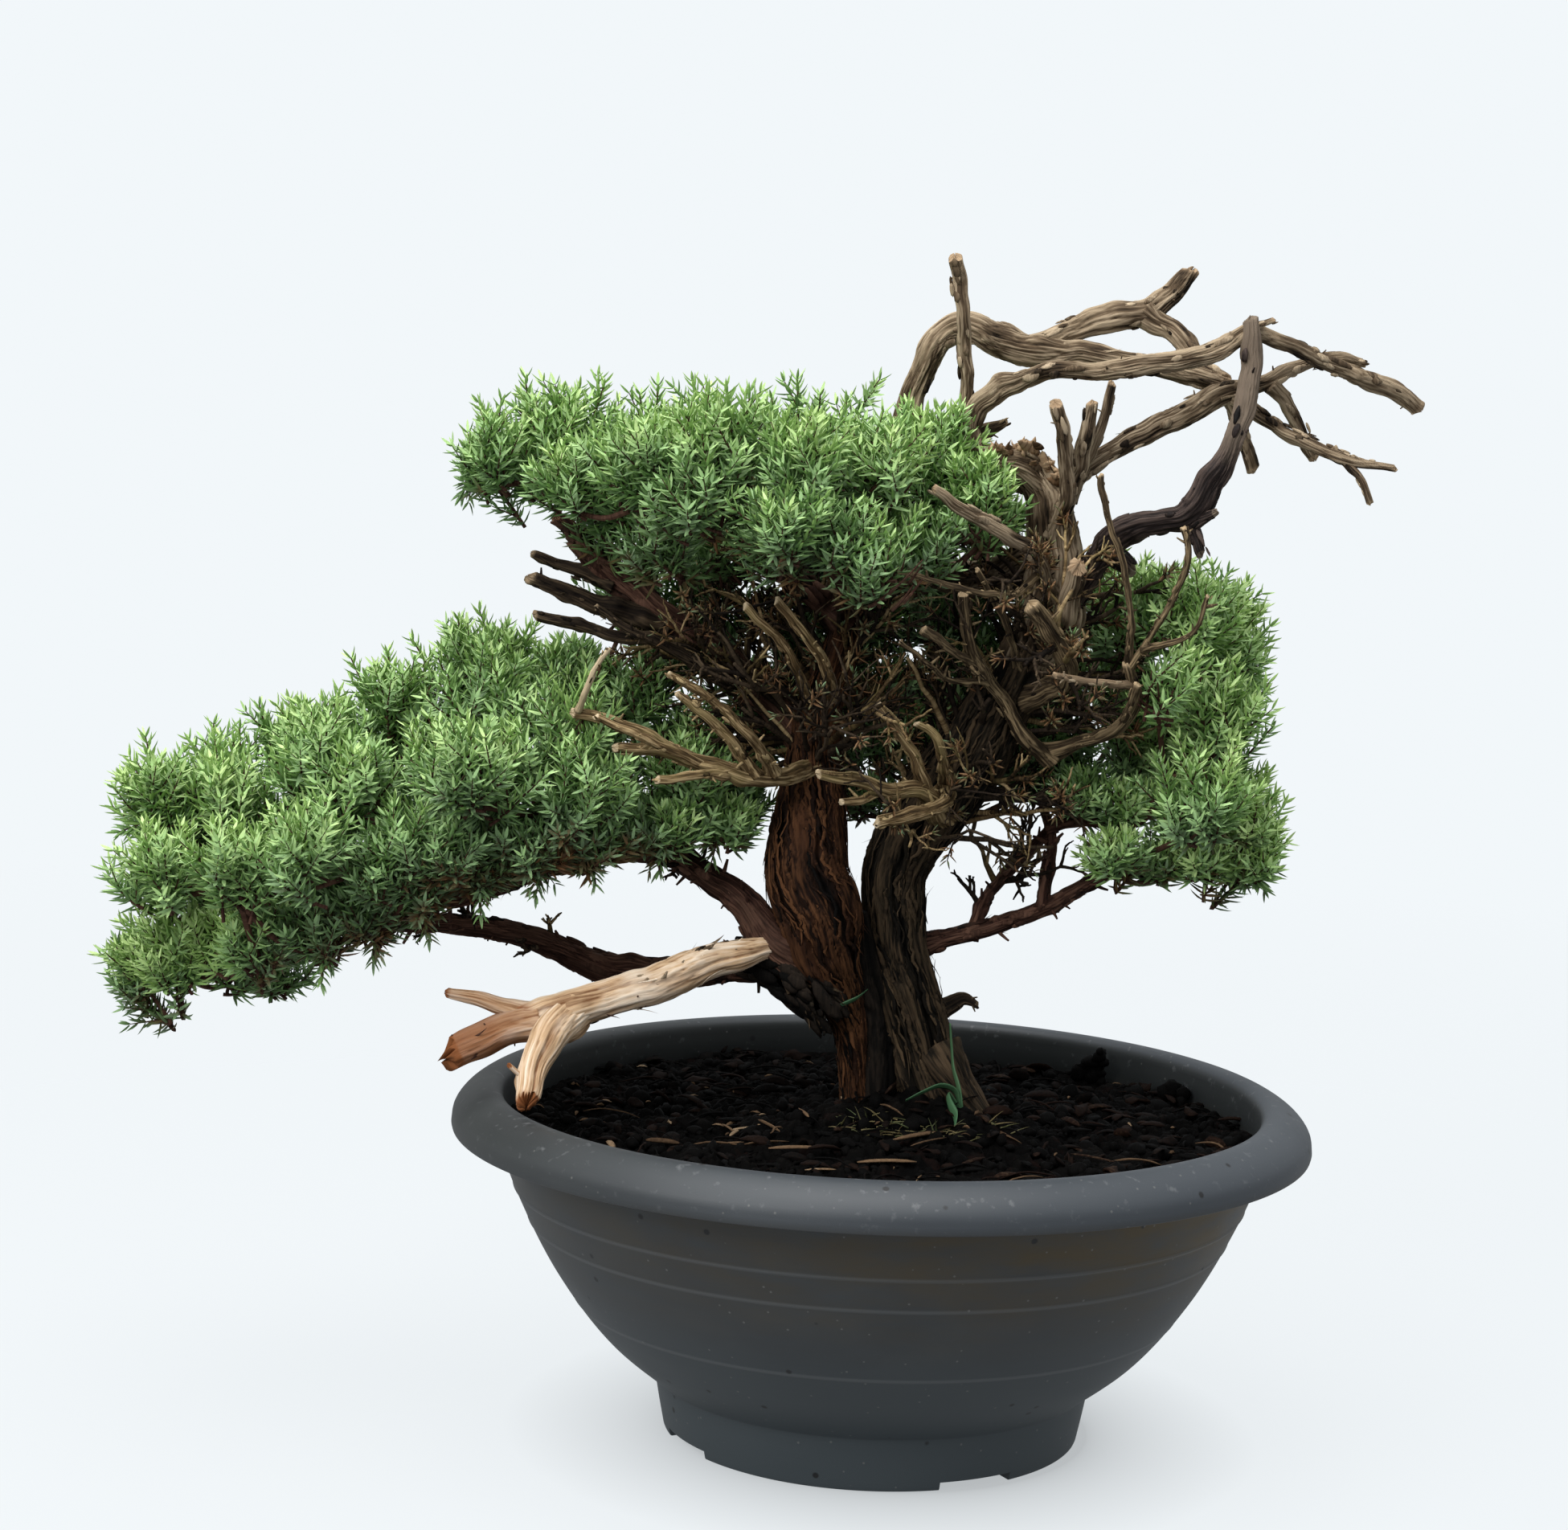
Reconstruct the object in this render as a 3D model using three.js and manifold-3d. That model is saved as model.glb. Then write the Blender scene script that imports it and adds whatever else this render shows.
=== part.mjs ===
// A bonsai tree in a round plastic bowl. Two juniper trunks stand in the soil. They carry live
// branches with sprays of needles, dark and tan dead twigs, a bleached dead crown and one stub
// stripped of its bark.
// Millimetres, +Z up. The origin is the centre of the bowl's underside, on the surface it stands
// on. The front of the tree faces -Y.

import * as THREE from "three";
import { mergeVertices } from "three/addons/utils/BufferGeometryUtils.js";
import Module from "manifold-3d";

// ---------------------------------------------------------------- driving dimensions

const RIM_RADIUS = 175; // outside of the rolled rim
const BOWL_HEIGHT = 141.2; // crest of the rim
const WALL = 3;
const FLOOR = 6;
const FOOT_RADIUS = 85.5;
const FOOT_HEIGHT = 22;
const BOWL_SEGMENTS = 40;

const NOTCH_COUNT = 4; // drain channels under the foot
const NOTCH_START_DEG = 30;
const NOTCH_WIDTH = 32;
const NOTCH_HEIGHT = 3.5;
const NOTCH_INNER_RADIUS = 56;
const NOTCH_OVERRUN = 10; // how far its cutter passes the foot's outside
const DRAIN_RADIUS = 5;
const DRAIN_CENTRE_RADIUS = 66;
const DRAIN_SIDES = 6;

const SOIL_EDGE_HEIGHT = 124; // where the soil meets the wall
const SOIL_MOUND = 13; // how much higher it stands round the trunks
const SOIL_MOUND_X = 12;
const SOIL_MOUND_RADIUS = 100;
const SOIL_LUMP = 1.6;
const SOIL_WAVES = { x: 0.081, y: 0.093, slant: 0.17 }; // radians per millimetre
const SOIL_SLANT_SHARE = 0.4;
const SOIL_SECTORS = 24;
const SOIL_RING_RADII = [56, 110];

const GAP = 0.3; // between pieces that touch
const GROWN = 0.36; // what a faceted limb is thickened by, so that the gap holds on its flats too
const SHORTEST_EDGE = 0.04; // slivers finer than this are closed up

const NEEDLE_LENGTH = 6.5;
const NEEDLE_LEAN_DEG = 50; // from the shoot's axis
const WHORL_STEP = 4.9; // from one ring of three needles to the next
const FEWEST_WHORLS = 3;
const MOST_WHORLS = 5;
const BARE_LENGTH = 4.5; // of a shoot, below its needles
const TIP_LENGTH = 4;
const SHOOT_RADIUS = 0.9;
const SHOOT_TAPER = 0.5; // the share that it loses towards its tip
const STEM_RADIUS = 1.4;
const STEM_SIDES = 3;
const SHOOTS_PER_TUFT = 2;
const TUFT_FOOT = 0.45; // how far below its centre a tuft's shoots leave the stem, in half-heights

// ---------------------------------------------------------------- colours

const finish = (color, roughness) => new THREE.MeshStandardMaterial({ color, roughness, metalness: 0 });
const PLASTIC = finish(0x3a3e42, 0.55);
const COMPOST = finish(0x241b15, 0.95);
const BARK = finish(0x4a3226, 0.9);
const DEADWOOD = finish(0x7d6a55, 0.85);
const STRIPPED = finish(0xb98f66, 0.75);
const NEEDLES = finish(0x4f8a45, 0.6);

// ---------------------------------------------------------------- routes of the wood

// Each limb is a route of [x, y, z, radius] from where it grows out to its end.

const TRUNKS = {
  left_trunk: [
    [-10, 6, 107, 7], [-11, 6, 137, 5.6], [-13, 4, 161, 6.4], [-18, 2, 179, 9.6],
    [-25, -2, 197, 14.5], [-28, -3, 214, 17.5], [-33, -2, 228, 16.8], [-33, 1, 244, 15.5],
    [-32, 4, 262, 13], [-32, 4, 280, 10.5], [-31, 4, 297, 9], [-25, 8, 313, 8],
    [-19, 14, 331, 6.5], [-15, 20, 349, 5],
  ],
  right_trunk: [
    [27, 14, 107, 19], [23, 14, 129, 15.6], [19, 14, 144, 14], [14, 14, 161, 13.2],
    [9, 14, 179, 13.2], [4.5, 14, 196, 12.6], [3, 13, 213, 12.3], [3, 12, 229, 12.2],
    [9, 10, 245, 13.8], [20, 8, 262, 15], [31, 6, 279, 14.5], [40, 6, 296, 13.5],
    [49, 6, 312, 12.5], [53, 6, 320, 12],
  ],
  between_trunks: [
    [-12, 4, 213, 4], [-9, 6, 190, 6.5], [-4, 9, 165, 8], [-2, 10, 141, 8.5], [2, 12, 109, 10],
  ],
  side_root: [[22, 10, 154, 8.5], [30, 3, 144, 7], [38, -4, 136, 5], [49, -10, 124, 3.6]],
};

const LIVE_LIMBS = {
  upper_left_live: [
    [-34, 0, 191, 9], [-46, -2, 199, 8.2], [-54, 0, 208, 7.2], [-61, 3, 216, 6.4],
    [-77, 10, 226, 5.4], [-95, 16, 233, 4.8],
    [-118, 12, 232, 4], [-140, 4, 226, 3.5], [-162, -6, 218, 3], [-180, -14, 214, 2.5],
    [-200, -16, 230, 2.2], [-212, -12, 246, 2],
  ],
  lower_left_live: [
    [-34, 3, 195, 8.5], [-67, 20, 187, 7.5], [-91, 26, 181, 7], [-113, 26, 181, 6.5],
    [-135, 20, 191, 5.5], [-154, 14, 198, 4.5], [-173, 8, 201, 4], [-192, 2, 202, 3.5],
    [-214, -6, 202, 2.8], [-232, -12, 197, 2.6], [-250, -14, 207, 2.3], [-264, -12, 224, 2],
  ],
  left_riser_front: [[-118, 12, 232, 3], [-124, -8, 243, 2.6], [-132, -24, 250, 2.2]],
  left_riser_middle: [[-140, 4, 226, 3.2], [-145, 12, 248, 2.8], [-146, 18, 268, 2.3]],
  left_riser_top: [[-145, 11, 245, 2.6], [-139, 12, 258, 2.2], [-136, 14, 266, 2]],
  left_riser_inner: [[-95, 16, 233, 3.2], [-91, 22, 242, 2.6], [-89, 24, 248, 2.2]],
  left_riser_back: [[-192, 2, 202, 3], [-200, 22, 211, 2.6], [-208, 42, 216, 2.2]],
  left_drooping: [[-232, -12, 197, 2.4], [-248, -8, 186, 2.1], [-260, -8, 180, 1.8]],
  right_live: [
    [9, 16, 197, 5.2], [26, 18, 201.5, 3.8], [42, 20, 206.5, 3.5], [62, 22, 213, 3.4],
    [80, 24, 224, 3.2], [96, 26, 233, 2.8], [114, 26, 242, 2.4],
  ],
  right_live_riser: [
    [34, 19, 202, 3], [41, 26, 217, 2.5], [50, 32, 230, 2.5], [63, 38, 241, 2.2], [74, 42, 255, 2],
  ],
  right_live_post: [[64, 22, 215, 2.5], [65, 26, 230, 2.5], [66, 31, 246, 2], [62, 30, 258, 1.6]],
  right_live_bar: [
    [65, 31, 247, 2.2], [80, 26, 252, 2.5], [96, 20, 251, 2.5], [109, 16, 261, 2.5], [116, 12, 273, 2],
  ],
  crown_left: [[-20, 13, 329, 5], [-45, 10, 350, 4.4], [-74, 8, 364, 3.6], [-104, 6, 374, 2.6]],
  crown_back: [[-16, 19, 345, 4], [-30, 38, 360, 3.2], [-52, 56, 372, 2.4]],
  crown_front: [[-19, 13, 333, 4], [-22, -10, 346, 3.2], [-30, -32, 358, 2.4]],
  crown_right: [[-15, 20, 347, 4], [-9, 12, 361, 3], [-2, 2, 371, 2.2]],
  upper_left_limb: [
    [-32, 8, 280, 8], [-54, 14, 300, 7.5], [-78, 14, 317, 7], [-99, 12, 333, 6.5],
    [-118, 10, 348, 6], [-132, 8, 361, 4], [-140, 8, 369, 2.6],
  ],
};

const DARK_STUBS = {
  stub_a: [[-94, 10, 327, 5], [-113, 4, 332, 5], [-131, -2, 339, 4], [-148, -6, 345, 3.5]],
  stub_b: [[-116, 8, 343, 3.5], [-132, 8, 348, 3], [-140, 8, 351, 2.5], [-149, 6, 355, 2]],
  stub_c: [
    [-70, 8, 311, 4], [-90, 0, 321, 3.5], [-112, -6, 324, 3], [-131, -10, 328, 2.5], [-145, -12, 331, 2.5],
  ],
  stub_d: [
    [-60, 12, 303, 4], [-72, -3, 307, 3], [-89, -14, 318, 2.5], [-104, -22, 325, 2], [-120, -28, 335, 1.5],
  ],
};

const TAN_TWIGS = {
  tan_1: [
    [-32, -2, 273, 4.4], [-53, -24, 270, 3.8], [-72, -32, 274, 3.5], [-91, -38, 280, 3],
    [-109, -42, 281, 2.2],
  ],
  tan_2: [
    [-55, -25, 271, 3.6], [-70, -24, 273, 3.3], [-84, -26, 279, 3.1], [-103, -30, 287, 2.9],
    [-117, -32, 292, 2.6], [-127, -34, 294, 2.2],
  ],
  tan_3: [[-73, -33, 274, 2.2], [-89, -44, 282, 2], [-103, -50, 288, 1.9], [-116, -54, 294, 1.7]],
  tan_4: [[-47, -24, 272, 2.8], [-56, -40, 287, 2.3], [-72, -48, 301, 2], [-88, -52, 312, 1.7]],
  tan_5: [[-54, -28, 271, 2.8], [-63, -34, 284, 2.5], [-75, -38, 297, 2.1], [-85, -40, 304, 1.7]],
  tan_7: [[-27, 0, 297, 3], [-27, -14, 313, 2.6], [-36, -24, 326, 2.2], [-48, -30, 341, 2]],
  tan_8: [[-34, -2, 297, 2.8], [-42, -18, 316, 2.2], [-51, -26, 329, 1.9], [-61, -30, 338, 1.7]],
  pale_wisp: [[-125, -35, 295, 1.6], [-118, -42, 309, 1.5], [-113, -46, 321, 1]],
};

const CENTRE_SNAGS = {
  snag_1: [
    [20, -2, 256, 6], [16, -14, 261, 5], [10, -24, 267, 4], [-3, -32, 267, 3.5],
    [-16, -38, 271, 3], [-29, -42, 274, 2],
  ],
  snag_2: [[22, -4, 266, 5], [18, -26, 262, 3], [7, -36, 259, 3], [-5, -40, 255, 2.5]],
  snag_3: [[15, -15, 262, 4], [9, -28, 280, 2.5], [0, -32, 291, 2], [-7, -34, 301, 2]],
  snag_4: [[22, -4, 267, 4], [19, -24, 282, 2.5], [15, -28, 291, 2], [9, -30, 295, 1.5]],
};

const RIGHT_TWIGS = {
  bow: [
    [64, 0, 279, 4], [52, -7, 289, 3.5], [42, -9, 302, 3], [33, -20, 318, 3], [28, -34, 334, 2.5],
    [26, -40, 347, 2.5],
  ],
  bow_b: [[37, -14, 311, 2.4], [23, -34, 323, 2], [10, -46, 332, 2]],
  red_stub: [[52, 0, 303, 6], [68, -10, 311, 5], [64, -22, 326, 4.5], [57, -30, 337, 4], [52, -34, 342, 4]],
  thin_slope: [[50, -2, 314, 2.5], [46, -22, 330, 1.6], [38, -34, 345, 1.5], [30, -42, 356, 1.2]],
  right_arc: [
    [60, 2, 281, 4.5], [73, -8, 286, 3], [87, -16, 294, 3], [94, -20, 307, 3], [92, -22, 320, 2.5],
  ],
  pale_bar: [[93, -21, 312, 2], [76, -34, 313, 1.5], [62, -42, 316, 1.5]],
  thin_red: [
    [92, -22, 318, 2], [98, -26, 329, 1.5], [106, -30, 346, 1.5], [112, -34, 362, 1.5],
    [111, -36, 375, 1.5],
  ],
  rod_a: [
    [91, -21, 317, 2], [90, -28, 341, 1.5], [86, -30, 363, 1.5], [80, -28, 382, 1.5],
    [77, -26, 394, 1.5],
  ],
  root_knob: [[17, 17, 167, 5], [27, 20, 173, 3.9], [33, 22, 175.5, 3], [38, 22, 173, 1.6]],
};

const CROWN_LIMBS = {
  crown_trunk: [
    [52, 6, 317, 9], [57, 6, 329, 11.5], [61, 6, 347, 11], [62, 6, 363, 10], [59, 6, 378, 9],
    [56, 6, 390, 8.5], [50, 6, 400, 7],
  ],
  arch: [
    [58, 10, 362, 7], [38, 28, 352, 7], [16, 36, 352, 6.5], [0, 38, 366, 6], [-5, 35, 391, 6],
    [-1, 34, 411, 5.5], [6, 34, 432, 5.5], [12, 33, 446, 6], [20, 32, 451, 6], [36, 30, 447, 6.5],
    [52, 28, 443, 6], [70, 26, 442, 5], [90, 22, 440, 4], [110, 15, 436, 4], [127, 9, 431, 4],
  ],
  flaky: [
    [51, 28, 445, 4], [65, 30, 452, 5], [82, 32, 457, 6], [98, 34, 461, 5.5], [108, 36, 469, 4.5],
    [114, 38, 477, 4],
  ],
  flaky_b: [[96, 33, 460, 4.5], [108, 28, 451, 4.5], [117, 20, 442, 4], [126, 12, 433, 4]],
  stick: [[28, 10, 402, 4], [24, 8, 428, 3], [21, 6, 454, 3], [17, 4, 478, 3]],
  runner: [
    [56, 6, 389, 6], [37, 8, 398, 4.5], [26, 10, 406, 4.5], [29, 10, 418, 4.5], [39, 6, 427, 4.5],
    [53, 0, 433, 4], [71, -4, 435, 3.5], [93, -6, 437, 4], [112, -6, 441, 4], [127, -4, 447, 4],
    [137, -3, 455, 2.5],
  ],
  crown_lip: [[54, 5, 393, 7], [44, -2, 399, 5.5], [33, -4, 399, 3]],
  beam: [
    [61, 6, 378, 5.5], [71, 2, 394, 4.5], [80, 0, 402, 4], [94, 0, 411, 4.5], [110, 2, 420, 5],
    [127, 6, 428, 5], [142, 10, 432, 3.5], [156, 14, 439, 3], [172, 18, 443, 2.5], [184, 20, 442, 1.8],
  ],
  far_arm: [
    [136, -3, 453, 3.2], [150, 2, 449, 3], [167, 9, 442, 3.5], [185, 14, 435, 4], [207, 20, 425, 3.5],
  ],
  low_arm: [
    [132, 5, 427, 3.5], [151, -4, 414, 2.5], [167, -10, 407, 2.5], [179, -14, 403, 2],
    [193, -18, 401, 1.5],
  ],
  drop_a: [[146, 10, 432, 3.2], [157, 14, 422, 3], [162, 16, 412, 2.5], [166, 16, 404, 2.5]],
  drop_b: [[130, 8, 427, 3.5], [136, 14, 411, 3], [140, 16, 398, 3]],
  black_arm: [
    [65, 2, 336, 5.5], [75, -6, 354, 5.5], [81, -10, 366, 6], [91, -14, 374, 5.5], [103, -18, 377, 5],
    [114, -20, 381, 6.5], [121, -20, 393, 5.5], [128, -18, 407, 4.2], [133, -14, 422, 4],
    [135, -8, 441, 4.5], [135, -4, 457, 3],
  ],
  black_thorn: [[115, -20, 377, 3], [123, -26, 381, 1.5]],
  black_knob: [[82, -9, 364, 4.5], [92, -8, 358, 3.5]],
  lance: [[63, 0, 341, 4], [54, -20, 360, 3], [39, -32, 372, 3], [24, -42, 380, 2.5], [12, -46, 387, 2]],
  bud_stub: [[62, 0, 331, 5], [67, -14, 337, 4.5], [68, -26, 349, 4], [70, -32, 358, 4]],
  post_1: [[61, 2, 370, 4], [66, -12, 391, 3], [63, -20, 407, 3], [58, -24, 421, 2.5]],
  post_2: [[62, 2, 376, 4], [69, -6, 394, 3.5], [72, -12, 409, 3], [73, -16, 422, 2.5]],
  post_3: [[66, 0, 384, 3.5], [74, -6, 402, 2.5], [79, -9, 417, 2], [82, -10, 430, 2]],
};

const STRIPPED_STUB = {
  stub: [
    [-46, -6, 199.5, 3.6], [-58, -14, 197, 5.6], [-74, -22, 192.8, 6.8], [-92, -30, 186, 7.5],
    [-109, -37, 181.5, 7.5], [-126, -44, 177, 7.5], [-139, -48, 173, 7.5],
  ],
  claw: [[-136, -48, 172, 6.5], [-150, -52, 169, 6.5], [-160, -56, 164, 7], [-168, -58, 160, 6.5]],
  thin_prong: [[-136, -46, 173, 5], [-151, -47, 177, 3.5], [-162, -47, 181, 3], [-172, -47, 183, 2]],
  lower_prong: [[-123, -44, 177, 6.5], [-131, -59, 169, 6.5], [-135, -68, 159, 5.5], [-136, -79, 148, 4.5]],
};

// ---------------------------------------------------------------- sprays of needles

// Each spray has a stem that leaves the wood at its start and passes under its tufts. A tuft is
// [x, y, z, half-width, half-depth, half-height], and the shoots fan out from its foot.

const SPRAYS = {
  crown_spray_1: {
    start: [-140, 8, 369],
    tufts: [[-139, 15, 393, 25, 22, 26], [-161, -8, 391, 19, 16, 19]],
  },
  crown_spray_2: { start: [-104, 6, 374], tufts: [[-105, -30, 388, 25, 22, 28]] },
  crown_spray_3: { start: [-102, 7, 374], tufts: [[-109, 45, 395, 28, 24, 25]] },
  crown_spray_4: { start: [-72, 8, 363], tufts: [[-75, -55, 383, 26, 20, 28]] },
  crown_spray_5: { start: [-74, 8, 364], tufts: [[-76, 10, 395, 28, 24, 28]] },
  crown_spray_6: { start: [-52, 56, 372], tufts: [[-77, 85, 385, 29, 22, 26]] },
  crown_spray_7: {
    start: [-30, -32, 358],
    tufts: [[-44, -38, 391, 27, 22, 29], [-43, -68, 368, 23, 16, 15]],
  },
  crown_spray_8: { start: [-50, 55, 371], tufts: [[-47, 45, 398, 28, 24, 27]] },
  crown_spray_9: { start: [-4, 5, 369], tufts: [[-16, -16, 392, 25, 22, 29]] },
  crown_spray_10: {
    start: [-2, 2, 371],
    tufts: [[14, -2, 385, 21, 20, 25], [30, -20, 372, 18, 18, 17]],
  },
  crown_spray_11: { start: [-27, -24, 354], tufts: [[-5, -56, 357, 24, 20, 22]] },
  crown_spray_12: {
    start: [-30, 38, 360],
    tufts: [[-27, 60, 350, 25, 20, 23], [-12, 66, 388, 25, 20, 25]],
  },
  left_spray_1: { start: [-146, 18, 268], tufts: [[-166, -12, 296, 28, 24, 30]] },
  left_spray_2: { start: [-146, 17, 266], tufts: [[-203, 25, 281, 25, 24, 28]] },
  left_spray_3: { start: [-136, 14, 266], tufts: [[-140, 20, 293, 26, 22, 29]] },
  left_spray_4: { start: [-145, 16, 262], tufts: [[-128, 65, 281, 27, 24, 29]] },
  left_spray_5: { start: [-132, -24, 250], tufts: [[-162, -60, 271, 28, 22, 27]] },
  left_spray_6: { start: [-130, -20, 249], tufts: [[-122, -42, 262, 26, 18, 25]] },
  left_spray_7: { start: [-89, 24, 248], tufts: [[-86, -4, 262, 22, 18, 19]] },
  left_spray_8: { start: [-90, 23, 246], tufts: [[-88, 52, 263, 27, 24, 25]] },
  left_spray_9: { start: [-212, -12, 246], tufts: [[-221, -30, 269, 26, 24, 28]] },
  left_spray_10: { start: [-210, -13, 243], tufts: [[-246, 35, 263, 25, 22, 25]] },
  left_spray_11: {
    start: [-264, -12, 224],
    tufts: [[-269, 0, 254, 24, 22, 27], [-292, -22, 250, 20, 18, 22]],
  },
  left_spray_12: { start: [-259, -13, 218], tufts: [[-288, -45, 224, 22, 20, 21]] },
  left_spray_13: { start: [-250, -14, 207], tufts: [[-252, -62, 228, 25, 20, 24]] },
  left_spray_14: { start: [-200, -16, 230], tufts: [[-220, -75, 237, 24, 20, 23]] },
  left_spray_15: { start: [-185, -15, 218], tufts: [[-188, -52, 236, 24, 20, 24]] },
  left_spray_16: { start: [-162, -6, 218], tufts: [[-158, -36, 237, 22, 20, 19]] },
  left_spray_17: { start: [-260, -8, 180], tufts: [[-284, -18, 188, 31, 20, 18]] },
  left_spray_18: { start: [-246, -8, 188], tufts: [[-262, 24, 190, 24, 18, 17]] },
  left_spray_19: { start: [-218, -8, 201], tufts: [[-217, 22, 203, 22, 16, 14]] },
  left_spray_20: { start: [-208, 42, 216], tufts: [[-190, 74, 240, 29, 22, 26]] },
  left_spray_21: {
    start: [-206, 38, 215],
    tufts: [[-244, 60, 229, 29, 22, 26], [-284, 42, 214, 26, 22, 24]],
  },
  right_spray_1: {
    start: [116, 12, 273],
    tufts: [[130, 0, 298, 22, 20, 23], [116, 8, 337, 23, 18, 21]],
  },
  right_spray_2: { start: [112, 14, 266], tufts: [[104, -22, 312, 20, 20, 22]] },
  right_spray_3: { start: [114, 26, 242], tufts: [[143, 22, 256, 17, 20, 26]] },
  right_spray_4: { start: [100, 26, 235], tufts: [[122, -26, 266, 25, 20, 24]] },
  right_spray_5: { start: [110, 26, 240], tufts: [[128, 78, 256, 27, 22, 27]] },
  right_spray_6: { start: [74, 42, 255], tufts: [[100, 48, 272, 22, 18, 22]] },
  right_spray_7: {
    start: [70, 40, 250],
    tufts: [[96, 76, 300, 21, 20, 24], [91, 52, 341, 20, 18, 20]],
  },
  right_spray_8: {
    start: [115, 14, 270],
    tufts: [[133, 62, 307, 25, 20, 26], [136, 34, 325, 19, 18, 22]],
  },
  right_spray_9: { start: [90, 25, 230], tufts: [[92, 0, 238, 15, 14, 10]] },
  right_spray_10: { start: [62, 30, 258], tufts: [[58, 46, 266, 17, 15, 13]] },
};

// ---------------------------------------------------------------- solids

const wasm = await Module();
wasm.setup();

function solidOf(geometry) {
  for (const name of ["normal", "uv"]) geometry.deleteAttribute(name);
  const merged = mergeVertices(geometry);
  return new wasm.Manifold(
    new wasm.Mesh({
      numProp: 3,
      vertProperties: merged.attributes.position.array,
      triVerts: new Uint32Array(merged.index.array),
    }),
  );
}

function meshOf(name, solid, material) {
  const { vertProperties, triVerts } = solid.simplify(SHORTEST_EDGE).getMesh();
  const geometry = new THREE.BufferGeometry();
  geometry.setAttribute("position", new THREE.BufferAttribute(vertProperties, 3));
  geometry.setIndex(new THREE.BufferAttribute(triVerts, 1));
  geometry.computeVertexNormals();
  const mesh = new THREE.Mesh(geometry, material);
  mesh.name = name;
  return mesh;
}

const unionOf = (solids) => solids.reduce((joined, solid) => joined.add(solid));

// The largest body of a solid, without the scraps that a cut leaves.
function largestOf(solid) {
  const bodies = solid.decompose();
  return bodies.reduce((best, body) => (body.volume() > best.volume() ? body : best));
}

function geometryFrom(points, triangles) {
  const geometry = new THREE.BufferGeometry();
  const coordinates = points.flatMap((p) => p.toArray());
  geometry.setAttribute("position", new THREE.Float32BufferAttribute(coordinates, 3));
  geometry.setIndex(triangles.flat());
  return geometry;
}

// ---------------------------------------------------------------- bowl

// The bowl's section, as corners of [radius, height].
const innerRadius = (outer) => outer - WALL;
const LIP_INNER_RADIUS = 153.5;
const INNER_WALL = [
  [LIP_INNER_RADIUS, 121],
  [innerRadius(148), 98],
  [innerRadius(131), 67],
  [innerRadius(111), 43],
  [innerRadius(FOOT_RADIUS + 3.5), FOOT_HEIGHT + 2],
  [innerRadius(FOOT_RADIUS + 0.5), FLOOR],
];
const OUTER_WALL = [
  [FOOT_RADIUS, 0],
  [FOOT_RADIUS + 4, FOOT_HEIGHT],
  [111, 40],
  [131, 66],
  [148, 98.5],
  [157, 121],
];
const LIP = [
  [158.5, 131],
  [170.5, 128],
  [172, 124.8],
  [RIM_RADIUS, 125.4],
  [174, 132],
  [168, 138.5],
  [161, BOWL_HEIGHT],
  [156, 139],
];

function bowlSolid() {
  const profile = [[0, 0], ...OUTER_WALL, ...LIP, ...INNER_WALL, [0, FLOOR], [0, 0]];
  const turned = new THREE.LatheGeometry(profile.map(([r, z]) => new THREE.Vector2(r, z)), BOWL_SEGMENTS);
  turned.rotateX(Math.PI / 2);
  let bowl = solidOf(turned);
  const length = FOOT_RADIUS + NOTCH_OVERRUN - NOTCH_INNER_RADIUS;
  for (let i = 0; i < NOTCH_COUNT; i++) {
    const angle = THREE.MathUtils.degToRad(NOTCH_START_DEG + (360 / NOTCH_COUNT) * i);
    const notch = new THREE.BoxGeometry(NOTCH_WIDTH, length, 2 * NOTCH_HEIGHT);
    notch.translate(0, -(NOTCH_INNER_RADIUS + length / 2), 0);
    const drain = new THREE.CylinderGeometry(DRAIN_RADIUS, DRAIN_RADIUS, 4 * FLOOR, DRAIN_SIDES);
    drain.rotateX(Math.PI / 2).translate(0, -DRAIN_CENTRE_RADIUS, 0);
    for (const cutter of [notch, drain]) bowl = bowl.subtract(solidOf(cutter.rotateZ(angle)));
  }
  return bowl;
}

// ---------------------------------------------------------------- soil

// The middle of each flat of the faceted bowl is nearer the axis than its corners by this share.
const FLAT_SHARE = Math.cos(Math.PI / BOWL_SEGMENTS);

function soilHeight(x, y) {
  const fall = Math.min(1, Math.hypot(x - SOIL_MOUND_X, y) / SOIL_MOUND_RADIUS);
  const mound = SOIL_MOUND * (0.5 + 0.5 * Math.cos(Math.PI * fall));
  const crossed = Math.sin(SOIL_WAVES.x * x + 1) * Math.cos(SOIL_WAVES.y * y);
  const slanted = SOIL_SLANT_SHARE * Math.sin(SOIL_WAVES.slant * (x + y));
  return SOIL_EDGE_HEIGHT + mound + SOIL_LUMP * (crossed + slanted);
}

const SOIL_WALL_CORNERS = [0, 2, 4, 5]; // of the bowl's inside, which the soil's side follows

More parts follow.
